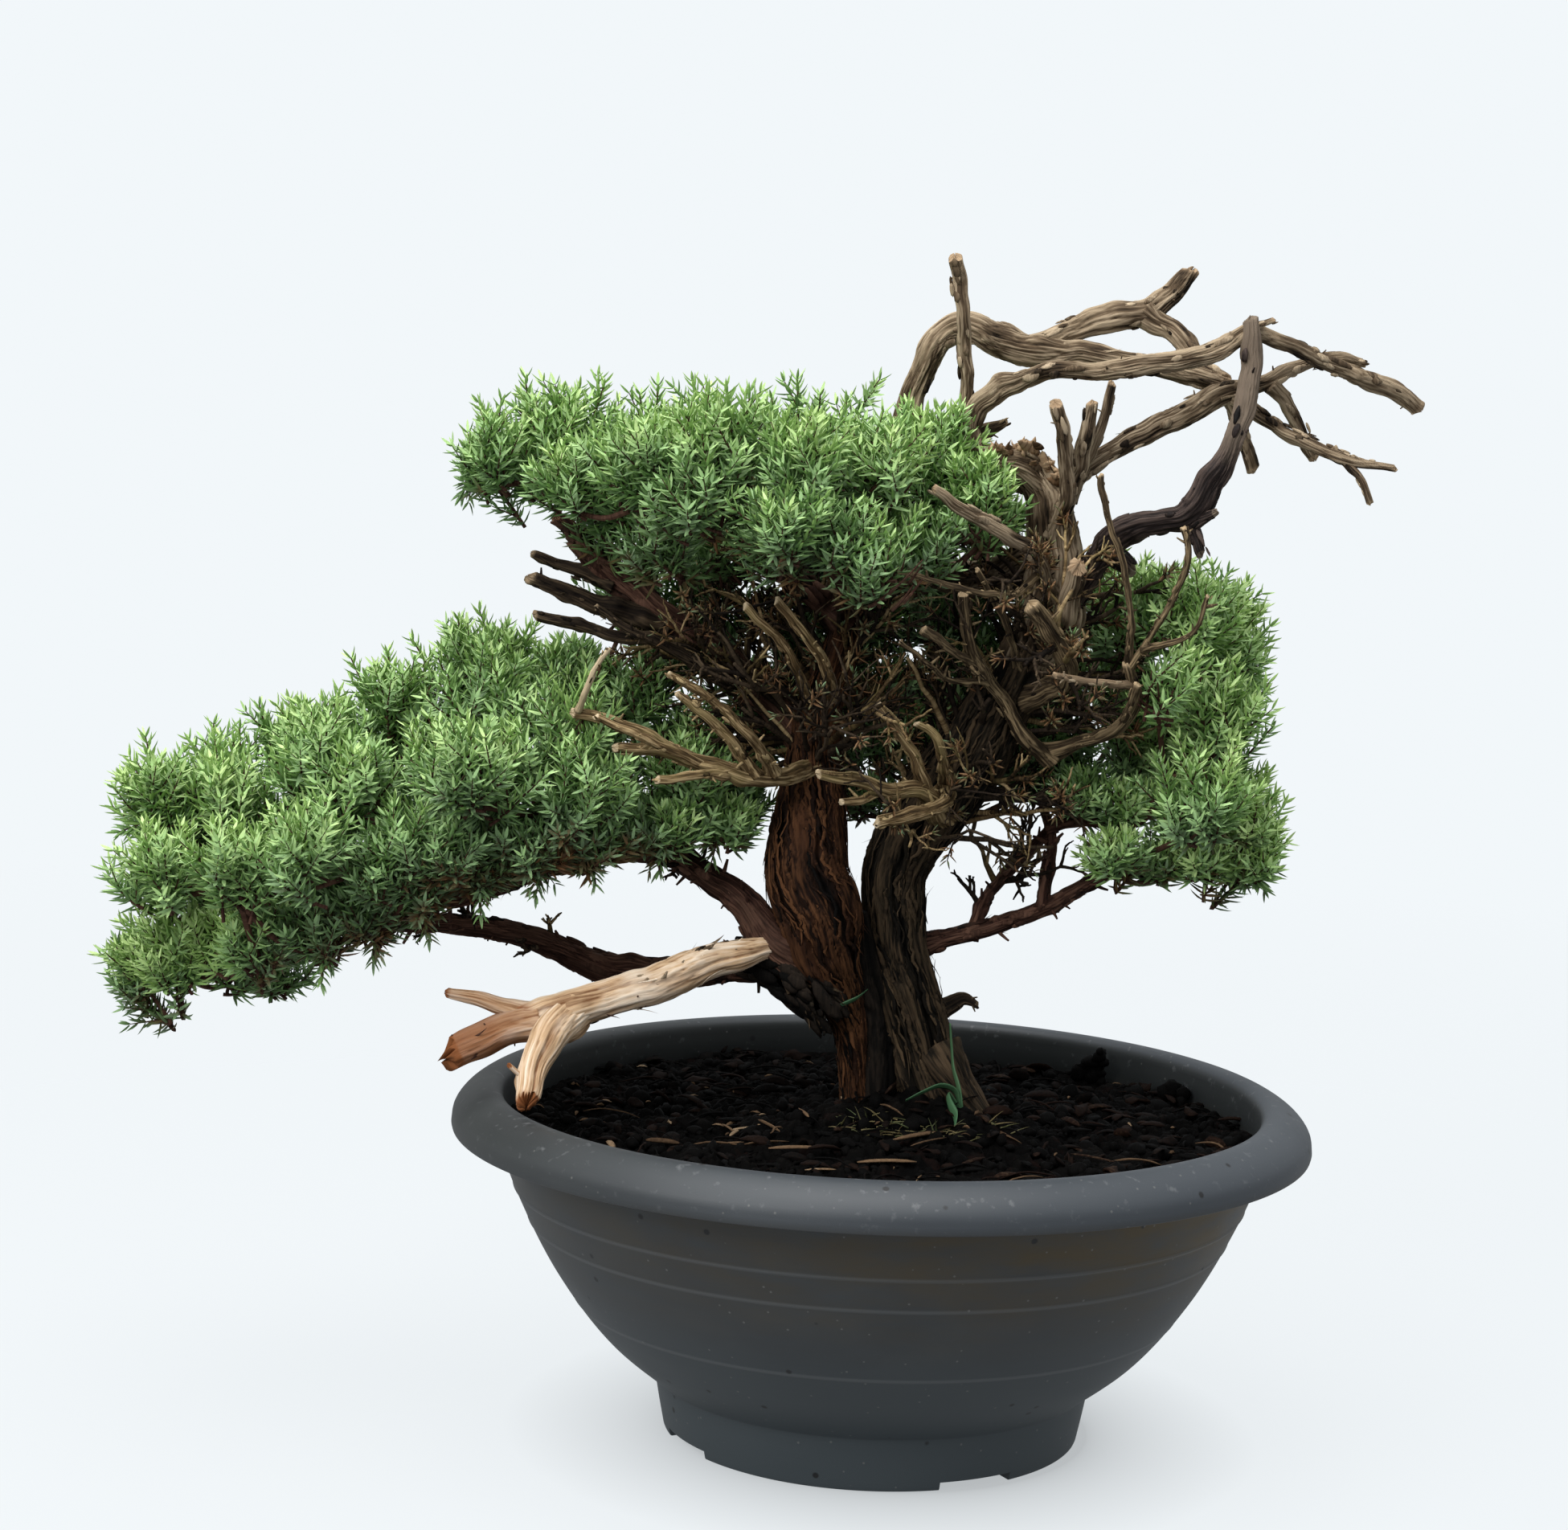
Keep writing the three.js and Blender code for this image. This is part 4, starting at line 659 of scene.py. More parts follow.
class Finish:
    """A material in the making: its node tree and its shader."""

    def __init__(self, name, roughness, specular=0.4):
        self.body = None  # the colour so far
        self.material = bpy.data.materials.new(name)
        self.material.use_nodes = True
        self.tree = self.material.node_tree
        self.shader = self.tree.nodes["Principled BSDF"]
        self.shader.inputs["Roughness"].default_value = roughness
        self.shader.inputs["Specular IOR Level"].default_value = specular

    def node(self, kind, **settings):
        made = self.tree.nodes.new(kind)
        for name, value in settings.items():
            setattr(made, name, value)
        return made

    def link(self, source, target):
        self.tree.links.new(source, target)

    def place(self):
        """The place on the object, in metres."""
        return self.node("ShaderNodeTexCoord").outputs["Object"]

    def value(self, name, vector=False):
        """A value that the mesh carries."""
        return self.node("ShaderNodeAttribute", attribute_name=name).outputs["Vector" if vector else "Fac"]

    def noise(self, vector, scale, stretch=(1, 1, 1), detail=4.0, rough=0.55):
        """Noise from 0 to 1; scale is in bumps to a unit of vector."""
        mapping = self.node("ShaderNodeMapping")
        mapping.inputs["Scale"].default_value = stretch
        self.link(vector, mapping.inputs["Vector"])
        made = self.node("ShaderNodeTexNoise")
        made.inputs["Scale"].default_value = scale
        made.inputs["Detail"].default_value = detail
        made.inputs["Roughness"].default_value = rough
        self.link(mapping.outputs["Vector"], made.inputs["Vector"])
        return made.outputs["Fac"]

    def specks(self, vector, scale, size):
        """1 in small round specks scattered about, 0 between them."""
        made = self.node("ShaderNodeTexVoronoi")
        made.inputs["Scale"].default_value = scale
        self.link(vector, made.inputs["Vector"])
        return self.spread(made.outputs["Distance"], size, size * 0.6)

    def spread(self, value, low, high):
        """Stretches low..high to 0..1; high below low turns it over."""
        made = self.node("ShaderNodeMapRange")
        made.inputs["From Min"].default_value = low
        made.inputs["From Max"].default_value = high
        self.link(value, made.inputs["Value"])
        return made.outputs["Result"]

    def feed(self, socket, value):
        """Gives a socket a number, a colour or what another node puts out."""
        if isinstance(value, (int, float)):
            socket.default_value = value
        elif isinstance(value, tuple):
            socket.default_value = (*value, 1)
        else:
            self.link(value, socket)

    def math(self, how, a, b):
        made = self.node("ShaderNodeMath", operation=how)
        for socket, value in zip(made.inputs, (a, b)):
            self.feed(socket, value)
        return made.outputs["Value"]

    def ramp(self, value, stops):
        """Colours along a value: stops are (place, colour)."""
        made = self.node("ShaderNodeValToRGB")
        elements = made.color_ramp.elements
        while len(elements) < len(stops):
            elements.new(0.5)
        for element, (place, colour) in zip(elements, stops):
            element.position = place
            element.color = (*colour, 1)
        self.link(value, made.inputs["Fac"])
        return made.outputs["Color"]

    def mix(self, share, a, b):
        """Colour a, with colour b laid over it by share."""
        made = self.node("ShaderNodeMix", data_type="RGBA")
        for i, value in ((0, share), (6, a), (7, b)):
            self.feed(made.inputs[i], value)
        return made.outputs[2]

    def times(self, first, *others):
        """The product of all its values."""
        for other in others:
            first = self.math("MULTIPLY", first, other)
        return first

    def sloped(self, value, slope, start):
        """A start that rises by the slope with the value."""
        return self.math("ADD", self.times(value, slope), start)

    def swing(self, noise, size):
        """Noise of the given size to both sides of 0."""
        return self.times(self.math("SUBTRACT", noise, 0.5), size)

    def lay(self, colour, *shares):
        """Lays a colour over the body by the product of the shares."""
        self.body = self.mix(self.times(*shares), self.body, colour)

    def roughness(self, source, low, high):
        self.link(self.sloped(source, high - low, low), self.shader.inputs["Roughness"])

    def bump(self, source, height, strength=1.0):
        """Relief of the given height in millimetres."""
        made = self.node("ShaderNodeBump")
        made.inputs["Strength"].default_value = strength
        made.inputs["Distance"].default_value = height * MM
        self.link(source, made.inputs["Height"])
        self.link(made.outputs["Normal"], self.shader.inputs["Normal"])

    def done(self):
        """The material, in the colour that its body has got."""
        self.link(self.body, self.shader.inputs["Base Color"])
        return self.material


# The plastic's colours.
PLASTIC_DARK = (0.025, 0.029, 0.033)
PLASTIC_LIGHT = (0.037, 0.042, 0.046)
SOIL_TINGE = (0.057, 0.038, 0.012)  # of the wall under the rim, more to the right
# Painted sheen: a lighter, bluer colour on the top of the lip, more of it to the right.
LIP_PAINTED_SHEEN = (0.037, 0.044, 0.054)
LEFT_LIP = (0.026, 0.028, 0.027)
INNER_WALL = (0.013, 0.015, 0.014)
# Painted reflection of the pale floor: a lighter, bluer colour low on the wall.
PAINTED_FLOOR_REFLECTION = (0.041, 0.053, 0.060)
WORN_LINE = (0.11, 0.115, 0.12)
DUST = (0.14, 0.145, 0.15)
DARK_SPECK = (0.006, 0.006, 0.007)
PALE_SPECK = (0.13, 0.13, 0.125)
# Where each fades in, in metres: from where it is absent to where it is full.
TINGE_FROM_BELOW = (0.062, 0.112)
TINGE_FROM_ABOVE = (0.128, 0.119)
LEFT_TO_RIGHT = (-0.14, 0.16)
LIP_HEIGHT = (0.123, 0.128)
LEFT_SIDE = (-0.05, -0.16)
INSIDE_RADIUS = (0.156, 0.1545)
INSIDE_HEIGHT = (0.118, 0.122)
FLOOR_REFLECTION_HEIGHT = (0.075, 0.03)
DUST_HEIGHT = (0.118, 0.139)


def plastic_finish():
    """Matt anthracite plastic with moulding grain, dust, dark specks and a tinge of soil above, with a
    painted sheen on the lip and a painted reflection of the floor low on the wall.
    """
    finish = Finish("anthracite_plastic", 0.5, 0.42)
    place = finish.place()
    clouds = finish.noise(place, 22, (1, 1, 2.2))
    finish.body = finish.ramp(clouds, [(0.3, PLASTIC_DARK), (0.7, PLASTIC_LIGHT)])
    parts = finish.node("ShaderNodeSeparateXYZ")
    finish.link(place, parts.inputs[0])
    x, z = parts.outputs["X"], parts.outputs["Z"]
    right = finish.spread(x, *LEFT_TO_RIGHT)
    stain = finish.spread(finish.noise(place, 30, (1, 1, 3.5), detail=6), 0.25, 0.66)
    between = finish.times(finish.spread(z, *TINGE_FROM_BELOW), finish.spread(z, *TINGE_FROM_ABOVE))
    finish.lay(SOIL_TINGE, between, stain, finish.sloped(right, 0.95, 0.25))
    lip = finish.spread(z, *LIP_HEIGHT)
    # painted sheen on the top of the lip
    finish.lay(LIP_PAINTED_SHEEN, lip, finish.sloped(right, 0.6, 0.2))
    finish.lay(LEFT_LIP, lip, finish.spread(x, *LEFT_SIDE), 0.8)
    from_axis = finish.node("ShaderNodeVectorMath", operation="LENGTH")
    flat = finish.node("ShaderNodeVectorMath", operation="MULTIPLY")
    flat.inputs[1].default_value = (1, 1, 0)
    finish.link(place, flat.inputs[0])
    finish.link(flat.outputs["Vector"], from_axis.inputs[0])
    inside = finish.spread(from_axis.outputs["Value"], *INSIDE_RADIUS)
    finish.lay(INNER_WALL, inside, finish.spread(z, *INSIDE_HEIGHT), 0.8)
    # painted reflection of the floor, full at the bottom of the wall
    finish.lay(PAINTED_FLOOR_REFLECTION, finish.spread(z, *FLOOR_REFLECTION_HEIGHT), 0.75)
    for height in RING_LINES:
        away = finish.math("ABSOLUTE", finish.math("SUBTRACT", z, height * MM), 0.0)
        finish.lay(WORN_LINE, finish.spread(away, RING_LINE_WIDTH * MM, 0.3 * RING_LINE_WIDTH * MM), 0.35)
    dusty = finish.spread(finish.noise(place, 260, detail=3), 0.62, 0.75)
    finish.lay(DUST, dusty, finish.spread(z, *DUST_HEIGHT), 0.5)
    finish.lay(DARK_SPECK, finish.specks(place, 55, 0.085))
    finish.lay(PALE_SPECK, finish.specks(place, 150, 0.09), 0.6)
    finish.roughness(clouds, 0.42, 0.62)
    grain = finish.noise(place, 2600, detail=2)
    streaks = finish.noise(place, 240, (0.04, 0.04, 1), detail=3)
    finish.bump(finish.math("ADD", grain, finish.times(streaks, 1.6)), 0.05, 0.7)
    return finish.done()


def soil_finish():
    """Moist dark compost, brown on the crumbs; its colour follows the crumbs' relief as painted shade, near
    black in the hollows, and painted light on the crumbs' tops.
    """
    finish = Finish("dark_compost", 0.8, 0.04)
    place = finish.place()
    fine = finish.noise(place, 420, detail=5)
    # painted light and shade: the colour is darkest in the hollows and lightest on the tops
    lit = finish.math("ADD", finish.times(finish.value("relief"), 0.7), finish.times(fine, 0.45))
    hollow, crumb, top = (0.0005, 0.0004, 0.0004), (0.0013, 0.0011, 0.0010), (0.0050, 0.0043, 0.0038)
    finish.body = finish.ramp(lit, [(0.25, hollow), (0.7, crumb), (1.0, top)])
    rust = finish.spread(finish.noise(place, 95, detail=3), 0.56, 0.72)
    finish.lay((0.010, 0.004, 0.003), rust, 0.5)
    finish.roughness(fine, 0.6, 0.98)
    finish.bump(finish.noise(place, 1500, detail=4), 0.35, 0.9)
    return finish.done()


DEBRIS_TONES = [
    (0.0, (0.0005, 0.0004, 0.0004)), (0.3, (0.0014, 0.0011, 0.0010)), (0.5, (0.011, 0.0052, 0.0034)),
    (0.75, (0.13, 0.08, 0.045)), (1.0, (0.42, 0.32, 0.21)),
]


def debris_finish():
    """Crumbs, chips and fibres: the value tone takes them from black-brown to pale straw."""
    finish = Finish("soil_debris", 0.8, 0.06)
    fine = finish.noise(finish.place(), 700, detail=4)
    tone = finish.math("ADD", finish.value("tone"), finish.swing(fine, 0.25))
    finish.body = finish.ramp(tone, DEBRIS_TONES)
    finish.bump(fine, 0.3)
    return finish.done()


def wood_finish(name, shades, roughness, tint=None, grain_scale=1.0, patchy=0.35):
    """Bark or bare wood. Its shades are those of the cracks, the plates, the ridges and the broken ends; a
    tint lies on it in patches, and fibres run along the limb. The colour follows the relief, partly as the
    bark's own darker cracks and paler ridges and partly as painted shade in the cracks and painted light on
    the ridges."""
    crack, plate, ridge, broken = shades
    finish = Finish(name, roughness, 0.12)
    grain = finish.value("grain", vector=True)
    fibres = finish.noise(grain, 1.1 * grain_scale, (1, 1, 0.07), detail=5, rough=0.62)
    patches = finish.noise(grain, 0.09, (1, 1, 0.45), detail=3)
    # painted shade and light: the colour darkens in the relief's cracks and lightens on its ridges
    shade = finish.math("ADD", finish.times(finish.value("relief"), 0.62), finish.times(fibres, 0.62))
    shade = finish.math("ADD", shade, finish.swing(patches, patchy))
    finish.body = finish.ramp(shade, [(0.36, crack), (0.58, plate), (0.86, ridge)])
    if tint:
        finish.lay(tint, finish.spread(patches, 0.48, 0.7), 0.65)
    finish.lay(broken, finish.value("cut"))
    finish.roughness(fibres, roughness - 0.14, min(1.0, roughness + 0.14))
    finish.bump(fibres, 0.55, 0.9)
    return finish.done()


def needle_finish(name, stops, roughness):
    """Waxy needles, from dead brown at age 0 to fresh green at age 1."""
    finish = Finish(name, roughness, 0.28)
    place = finish.place()
    patches = finish.noise(place, 48, detail=3)
    fine = finish.noise(place, 900, detail=2)
    # age also carries the painted light and shade of the needle spots
    age = finish.math("ADD", finish.value("age"), finish.swing(patches, 0.4))
    finish.body = finish.ramp(finish.math("ADD", age, finish.swing(fine, 0.12)), stops)
    finish.bump(fine, 0.12)
    return finish.done()


PLASTIC = plastic_finish()
COMPOST = soil_finish()
DEBRIS = debris_finish()
RED_BARK = wood_finish(
    "fibrous_red_bark",
    [(0.0012, 0.0007, 0.0005), (0.0125, 0.0047, 0.0022), (0.096, 0.041, 0.017), (0.22, 0.12, 0.06)],
    0.82, (0.046, 0.018, 0.008),
)
DARK_BARK = wood_finish(
    "furrowed_dark_bark",
    [(0.001, 0.0009, 0.0007), (0.0082, 0.0060, 0.0037), (0.074, 0.049, 0.028), (0.15, 0.1, 0.06)],
    0.85, (0.022, 0.016, 0.009),
)
# Painted shade: bark as dark as bark in deep shadow, for the limb between the trunks and the scabs under
# the fork.
PAINTED_SHADE_BARK = wood_finish(
    "painted_shade_bark",
    [(0.0008, 0.0007, 0.0006), (0.004, 0.003, 0.0022), (0.020, 0.014, 0.010), (0.03, 0.02, 0.013)], 0.9,
)
LIMB_BARK = wood_finish(
    "limb_bark", [(0.006, 0.003, 0.002), (0.038, 0.016, 0.011), (0.14, 0.072, 0.048), (0.28, 0.16, 0.09)],
    0.8, (0.055, 0.030, 0.020),
)
DARK_TWIG = wood_finish(
    "dark_twig", [(0.004, 0.0025, 0.002), (0.021, 0.014, 0.009), (0.088, 0.061, 0.037), (0.26, 0.19, 0.12)],
    0.85,
)
TAN_TWIG = wood_finish(
    "tan_twig", [(0.008, 0.0048, 0.0022), (0.115, 0.072, 0.032), (0.50, 0.365, 0.195), (0.56, 0.44, 0.29)],
    0.82, (0.19, 0.150, 0.058),
)
BROWN_TWIG = wood_finish(
    "brown_twig", [(0.005, 0.003, 0.002), (0.052, 0.035, 0.019), (0.27, 0.195, 0.108), (0.38, 0.28, 0.17)],
    0.85,
)
GREY_DEADWOOD = wood_finish(
    "weathered_deadwood",
    [(0.010, 0.0065, 0.004), (0.092, 0.062, 0.037), (0.42, 0.33, 0.225), (0.34, 0.24, 0.15)],
    0.85, (0.20, 0.145, 0.09), patchy=0.9,
)
CHARRED = wood_finish(
    "charred_wood",
    [(0.003, 0.0022, 0.002), (0.014, 0.009, 0.008), (0.085, 0.060, 0.050), (0.17, 0.13, 0.095)], 0.62,
)
TORN_WOOD = wood_finish(
    "torn_wood", [(0.02, 0.011, 0.006), (0.15, 0.088, 0.046), (0.44, 0.31, 0.19), (0.30, 0.17, 0.09)], 0.8,
)
BARE_WOOD = wood_finish(
    "stripped_wood",
    [(0.15, 0.070, 0.030), (0.60, 0.41, 0.245), (0.92, 0.78, 0.62), (0.20, 0.07, 0.024)],
    0.66, (0.78, 0.68, 0.56), grain_scale=0.8,
)
NEEDLE = needle_finish(
    "green_needles",
    [
        (0.0, (0.150, 0.070, 0.028)), (0.16, (0.100, 0.080, 0.030)), (0.3, (0.078, 0.128, 0.046)),
        (0.55, (0.134, 0.250, 0.079)), (0.78, (0.226, 0.385, 0.108)), (1.0, (0.326, 0.490, 0.148)),
    ],
    0.5,
)
NEEDLE_BAND = needle_finish(
    "glaucous_needle_faces",
    [
        (0.0, (0.190, 0.100, 0.045)), (0.16, (0.135, 0.120, 0.058)), (0.3, (0.155, 0.235, 0.125)),
        (0.55, (0.250, 0.400, 0.172)), (0.78, (0.360, 0.535, 0.218)), (1.0, (0.460, 0.615, 0.252)),
    ],
    0.58,
)
GRASS = needle_finish(
    "grass_and_moss",
    [(0.0, (0.115, 0.085, 0.035)), (0.45, (0.055, 0.060, 0.022)), (1.0, (0.035, 0.12, 0.055))], 0.6,
)

# ---------------------------------------------------------------- camera and studio

PHOTO_WIDTH = 1951  # pixels
FOCAL_PIXELS = 3891.4
SENSOR_WIDTH = 36
CAMERA_DISTANCE = 1261.4
CAMERA_HEIGHT = 407
CAMERA_YAW = -0.035  # radians, like the two that follow
CAMERA_PITCH = 0.1059
CAMERA_ROLL = 0.0324


def make_camera():
    """The camera in front of the tree. It looks slightly down and is turned a little about its axis."""
    data = bpy.data.cameras.new("camera")
    data.sensor_width = SENSOR_WIDTH
    data.lens = FOCAL_PIXELS / PHOTO_WIDTH * SENSOR_WIDTH
    data.clip_end = 100
    camera = bpy.data.objects.new("camera", data)
    yaw, pitch, roll = CAMERA_YAW, CAMERA_PITCH, CAMERA_ROLL
    forward = Vector((math.sin(yaw) * math.cos(pitch), math.cos(yaw) * math.cos(pitch), -math.sin(pitch)))
    level = Vector((math.cos(yaw), -math.sin(yaw), 0))
    up = level.cross(forward)
    right = math.cos(roll) * level + math.sin(roll) * up
    up = -math.sin(roll) * level + math.cos(roll) * up
    place = Matrix.Translation((0, -CAMERA_DISTANCE * MM, CAMERA_HEIGHT * MM))
    camera.matrix_world = place @ Matrix((right, up, -forward)).transposed().to_4x4()
    bpy.context.scene.collection.objects.link(camera)
    bpy.context.scene.camera = camera


BACKGROUND = (0.887, 0.93, 0.956)
ROOM_LIGHT = (0.46, 1.24)  # from the horizon and from above, in shares of the background's brightness
FLOOR_GLOW = 0.872  # in the same shares, so that the shadows on the floor stay faint
FLOOR_BOUNCE = 0.42  # the part of that glow that lights the object
FLOOR_RADIUS = 3.0
# Painted shadow on the floor round the bowl's foot:
FOOT_SHADE = 0.6  # the share of the glow that is left where the bowl's foot keeps the light out
FOOT_SHADE_WIDTH = 0.07
FOOT_SHADE_X = 0.004
FOOT_SHADE_CURVE = 0.55  # below 1 the shade falls off fast near the foot
FLOOR_COLOUR = (0.06, 0.061, 0.062)
FLOOR_FADE = (0.55, 1.7)  # the floor turns into the background between these distances
LAMPS = {  # place, size, power and colour
    "overhead": ((-0.2, -0.3, 1.7), 1.2, 24, (1, 0.985, 0.96)),
    "front_left": ((-1.1, -1.4, 1.3), 0.9, 22, (1, 0.99, 0.97)),
}
LAMPS_FACE = (0, 0, 0.22)


def make_room():
    """A pale room that is brighter above. The camera sees the plain background."""
    world = bpy.data.worlds.new("room")
    bpy.context.scene.world = world
    world.use_nodes = True
    nodes, links = world.node_tree.nodes, world.node_tree.links
    nodes["Background"].inputs["Color"].default_value = (*BACKGROUND, 1)
    direction = nodes.new("ShaderNodeTexCoord")
    height = nodes.new("ShaderNodeSeparateXYZ")
    links.new(direction.outputs["Generated"], height.inputs[0])
    from_above = nodes.new("ShaderNodeMapRange")
    from_above.inputs["To Min"].default_value, from_above.inputs["To Max"].default_value = ROOM_LIGHT
    links.new(height.outputs["Z"], from_above.inputs["Value"])
    seen = nodes.new("ShaderNodeLightPath")
    strength = nodes.new("ShaderNodeMapRange")
    links.new(seen.outputs["Is Camera Ray"], strength.inputs["Value"])
    links.new(from_above.outputs["Result"], strength.inputs["To Min"])
    links.new(strength.outputs["Result"], nodes["Background"].inputs["Strength"])
    bpy.context.scene.view_settings.view_transform = "Standard"


def make_floor():
    """A floor that glows like the room, has a painted shadow round the bowl's foot and fades out far away.
    """
    finish = Finish("pale_floor", 0.9, 0.1)
    finish.shader.inputs["Base Color"].default_value = (*FLOOR_COLOUR, 1)
    finish.shader.inputs["Emission Color"].default_value = (*BACKGROUND, 1)
    seen = finish.node("ShaderNodeLightPath")
    glow = finish.node("ShaderNodeMapRange")
    glow.inputs["To Min"].default_value = FLOOR_BOUNCE
    glow.inputs["To Max"].default_value = FLOOR_GLOW
    finish.link(seen.outputs["Is Camera Ray"], glow.inputs["Value"])
    # painted shadow: the glow falls off towards the bowl's foot
    from_foot = finish.node("ShaderNodeVectorMath", operation="DISTANCE")
    from_foot.inputs[1].default_value = (FOOT_SHADE_X, 0, 0)
    finish.link(finish.place(), from_foot.inputs[0])
    foot = FOOT_RADIUS * MM
    away = finish.spread(from_foot.outputs["Value"], foot, foot + FOOT_SHADE_WIDTH)
    shade = finish.sloped(finish.math("POWER", away, FOOT_SHADE_CURVE), 1 - FOOT_SHADE, FOOT_SHADE)
    finish.link(finish.times(glow.outputs["Result"], shade), finish.shader.inputs["Emission Strength"])
    distance = finish.node("ShaderNodeVectorMath", operation="LENGTH")
    finish.link(finish.place(), distance.inputs[0])
    fade = finish.spread(distance.outputs["Value"], *FLOOR_FADE)
    clear = finish.node("ShaderNodeBsdfTransparent")
    blend = finish.node("ShaderNodeMixShader")
    finish.link(fade, blend.inputs[0])
    finish.link(finish.shader.outputs[0], blend.inputs[1])
    finish.link(clear.outputs[0], blend.inputs[2])
    finish.link(blend.outputs[0], finish.tree.nodes["Material Output"].inputs["Surface"])
    bpy.ops.mesh.primitive_circle_add(vertices=96, radius=FLOOR_RADIUS, fill_type="NGON")
    floor = bpy.context.object
    floor.name = "floor"
    floor.data.materials.append(finish.material)
    floor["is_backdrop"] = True


def make_lamps():
    """Soft light from above and from the front left."""
    for name, (place, size, power, colour) in LAMPS.items():
        data = bpy.data.lights.new(name, "AREA")
        data.size = size
        data.energy = power
        data.color = colour
        lamp = bpy.data.objects.new(name, data)
        lamp.location = place
        lamp.rotation_euler = (Vector(LAMPS_FACE) - Vector(place)).to_track_quat("-Z", "Y").to_euler()
        bpy.context.scene.collection.objects.link(lamp)


# ---------------------------------------------------------------- bowl


def ring_line(z):
    """How far the fine raised lines stand out at a height."""
    half = 0.5 * RING_LINE_WIDTH
    return sum(proud * np.exp(-(((z - at) / half) ** 2)) for at, proud in RING_LINES.items())


def bowl_outline():
    """The half section of the bowl as [radius, height], from the middle below round to inside."""
    body = smooth_route([[89.8, 22.2], [111, 40], [131, 66], [148, 98.5], [157, 121]], 0.6)
    body[:, 0] += ring_line(body[:, 1])
    foot = [[FOOT_RADIUS + 0.2, 2], [FOOT_RADIUS + 2, 11], [FOOT_RADIUS + 3.9, FOOT_HEIGHT - 0.5]]
    under_rim = [[157.3, 122.5], [158.4, 129.4], [160, 130.6], [169, 128.9], [170.6, 127.4]]
    rim_edge = [[171.6, 125.4], [172.4, 124.7], [173.6, 124.5], [174.7, 125]]
    rim = [
        [RIM_RADIUS, 126.2], [174.2, 131.5], [171.5, 135.4], [167.5, 138.6], [161, BOWL_HEIGHT],
        [157.2, 140.7], [154.9, 138.6], [153.9, 134], [153.5, 121],
    ]
    inner_wall = [[153.3, 119], [145, 98], [128, 67], [108, 43], [86, 24]]
    stretches = [
        [[0, 0], [40, 0], [FOOT_RADIUS - 1, 0], [FOOT_RADIUS - 0.3, 0.3], [FOOT_RADIUS, 1]],
        smooth_route(foot, BOWL_STEP),
        body,
        under_rim + rim_edge,
        smooth_route(rim, BOWL_STEP),
        smooth_route(inner_wall, 3 * BOWL_STEP),
        [[84, 14], [83, FLOOR + 1], [82, FLOOR], [40, FLOOR], [0, FLOOR]],
    ]
    return np.concatenate([np.asarray(s, float) for s in stretches])


def make_bowl():
    """The bowl, turned round its axis, with drain channels and holes cut into its foot."""
    outline = bowl_outline()[1:-1]
    angle = np.arange(BOWL_SEGMENTS) * 2 * math.pi / BOWL_SEGMENTS
    radius = outline[:, :1]
    height = np.broadcast_to(outline[:, 1:], (len(outline), BOWL_SEGMENTS))
    points = np.stack([radius * np.cos(angle), radius * np.sin(angle), height], -1).reshape(-1, 3)
    shape = Shape()
    shape.add(np.concatenate([points, [[0, 0, 0], [0, 0, FLOOR]]]), tube_faces(len(outline), BOWL_SEGMENTS))
    bowl = shape.made("bowl_moulding", [PLASTIC], "plastic", ["bowl"])
    cutters = []
    length = FOOT_RADIUS + 10 - NOTCH_INNER_RADIUS
    for i in range(NOTCH_COUNT):
        turn = Matrix.Rotation(math.radians(NOTCH_START_DEG + 360 / NOTCH_COUNT * i), 4, "Z")
        bpy.ops.mesh.primitive_cube_add(size=1)
        notch = bpy.context.object
        size = Matrix.Diagonal((NOTCH_WIDTH * MM, length * MM, 2 * NOTCH_HEIGHT * MM, 1))
        place = Matrix.Translation((0, -(NOTCH_INNER_RADIUS + length / 2) * MM, 0))
        notch.matrix_world = turn @ place @ size
        bpy.ops.mesh.primitive_cylinder_add(vertices=32, radius=DRAIN_RADIUS * MM, depth=4 * FLOOR * MM)
        drain = bpy.context.object
        drain.matrix_world = turn @ Matrix.Translation((0, -DRAIN_CENTRE_RADIUS * MM, 0))
        cutters += [notch, drain]
    for cutter in cutters:
        cut = bowl.modifiers.new(cutter.name, "BOOLEAN")
        cut.operation = "DIFFERENCE"
        cut.solver = "EXACT"
        cut.object = cutter
    solid = bpy.data.meshes.new_from_object(bowl.evaluated_get(bpy.context.evaluated_depsgraph_get()))
    bowl.modifiers.clear()
    bowl.data = solid
    solid.shade_smooth()
    solid.set_sharp_from_angle(angle=math.radians(SHARP_EDGE_DEG))
    for cutter in cutters:
        bpy.data.objects.remove(cutter)


# ---------------------------------------------------------------- soil


def soil_height(x, y):
    """The soil's height without its crumbs."""
    fall = np.minimum(1, np.hypot(x - SOIL_MOUND_X, y) / SOIL_MOUND_RADIUS)
    mound = SOIL_MOUND * (0.5 + 0.5 * np.cos(math.pi * fall))
    lumps = SOIL_LUMP * (np.sin(x * 0.081 + 1) * np.cos(y * 0.093) + 0.4 * np.sin((x + y) * 0.17))
    return SOIL_EDGE_HEIGHT + mound + lumps


def crumbs(x, y, cell, seed):
    """Round crumbs, one to a cell and of many sizes: their height over the ground."""
    cx, cy = np.floor(x / cell), np.floor(y / cell)
    best = np.zeros(len(x))
    layer = np.full(len(x), float(seed))
    for i in (-1, 0, 1):
        for j in (-1, 0, 1):
            at = [lattice(cx + i, cy + j, layer + 10 * k) for k in range(3)]
            dx = x / cell - (cx + i + 0.5 + 0.45 * at[0])
            dy = y / cell - (cy + j + 0.5 + 0.45 * at[1])
            radius = 0.5 + 0.24 * at[2]
            dome = np.sqrt(np.maximum(0, radius**2 - dx**2 - dy**2))
            best = np.maximum(best, dome)
    return best * cell


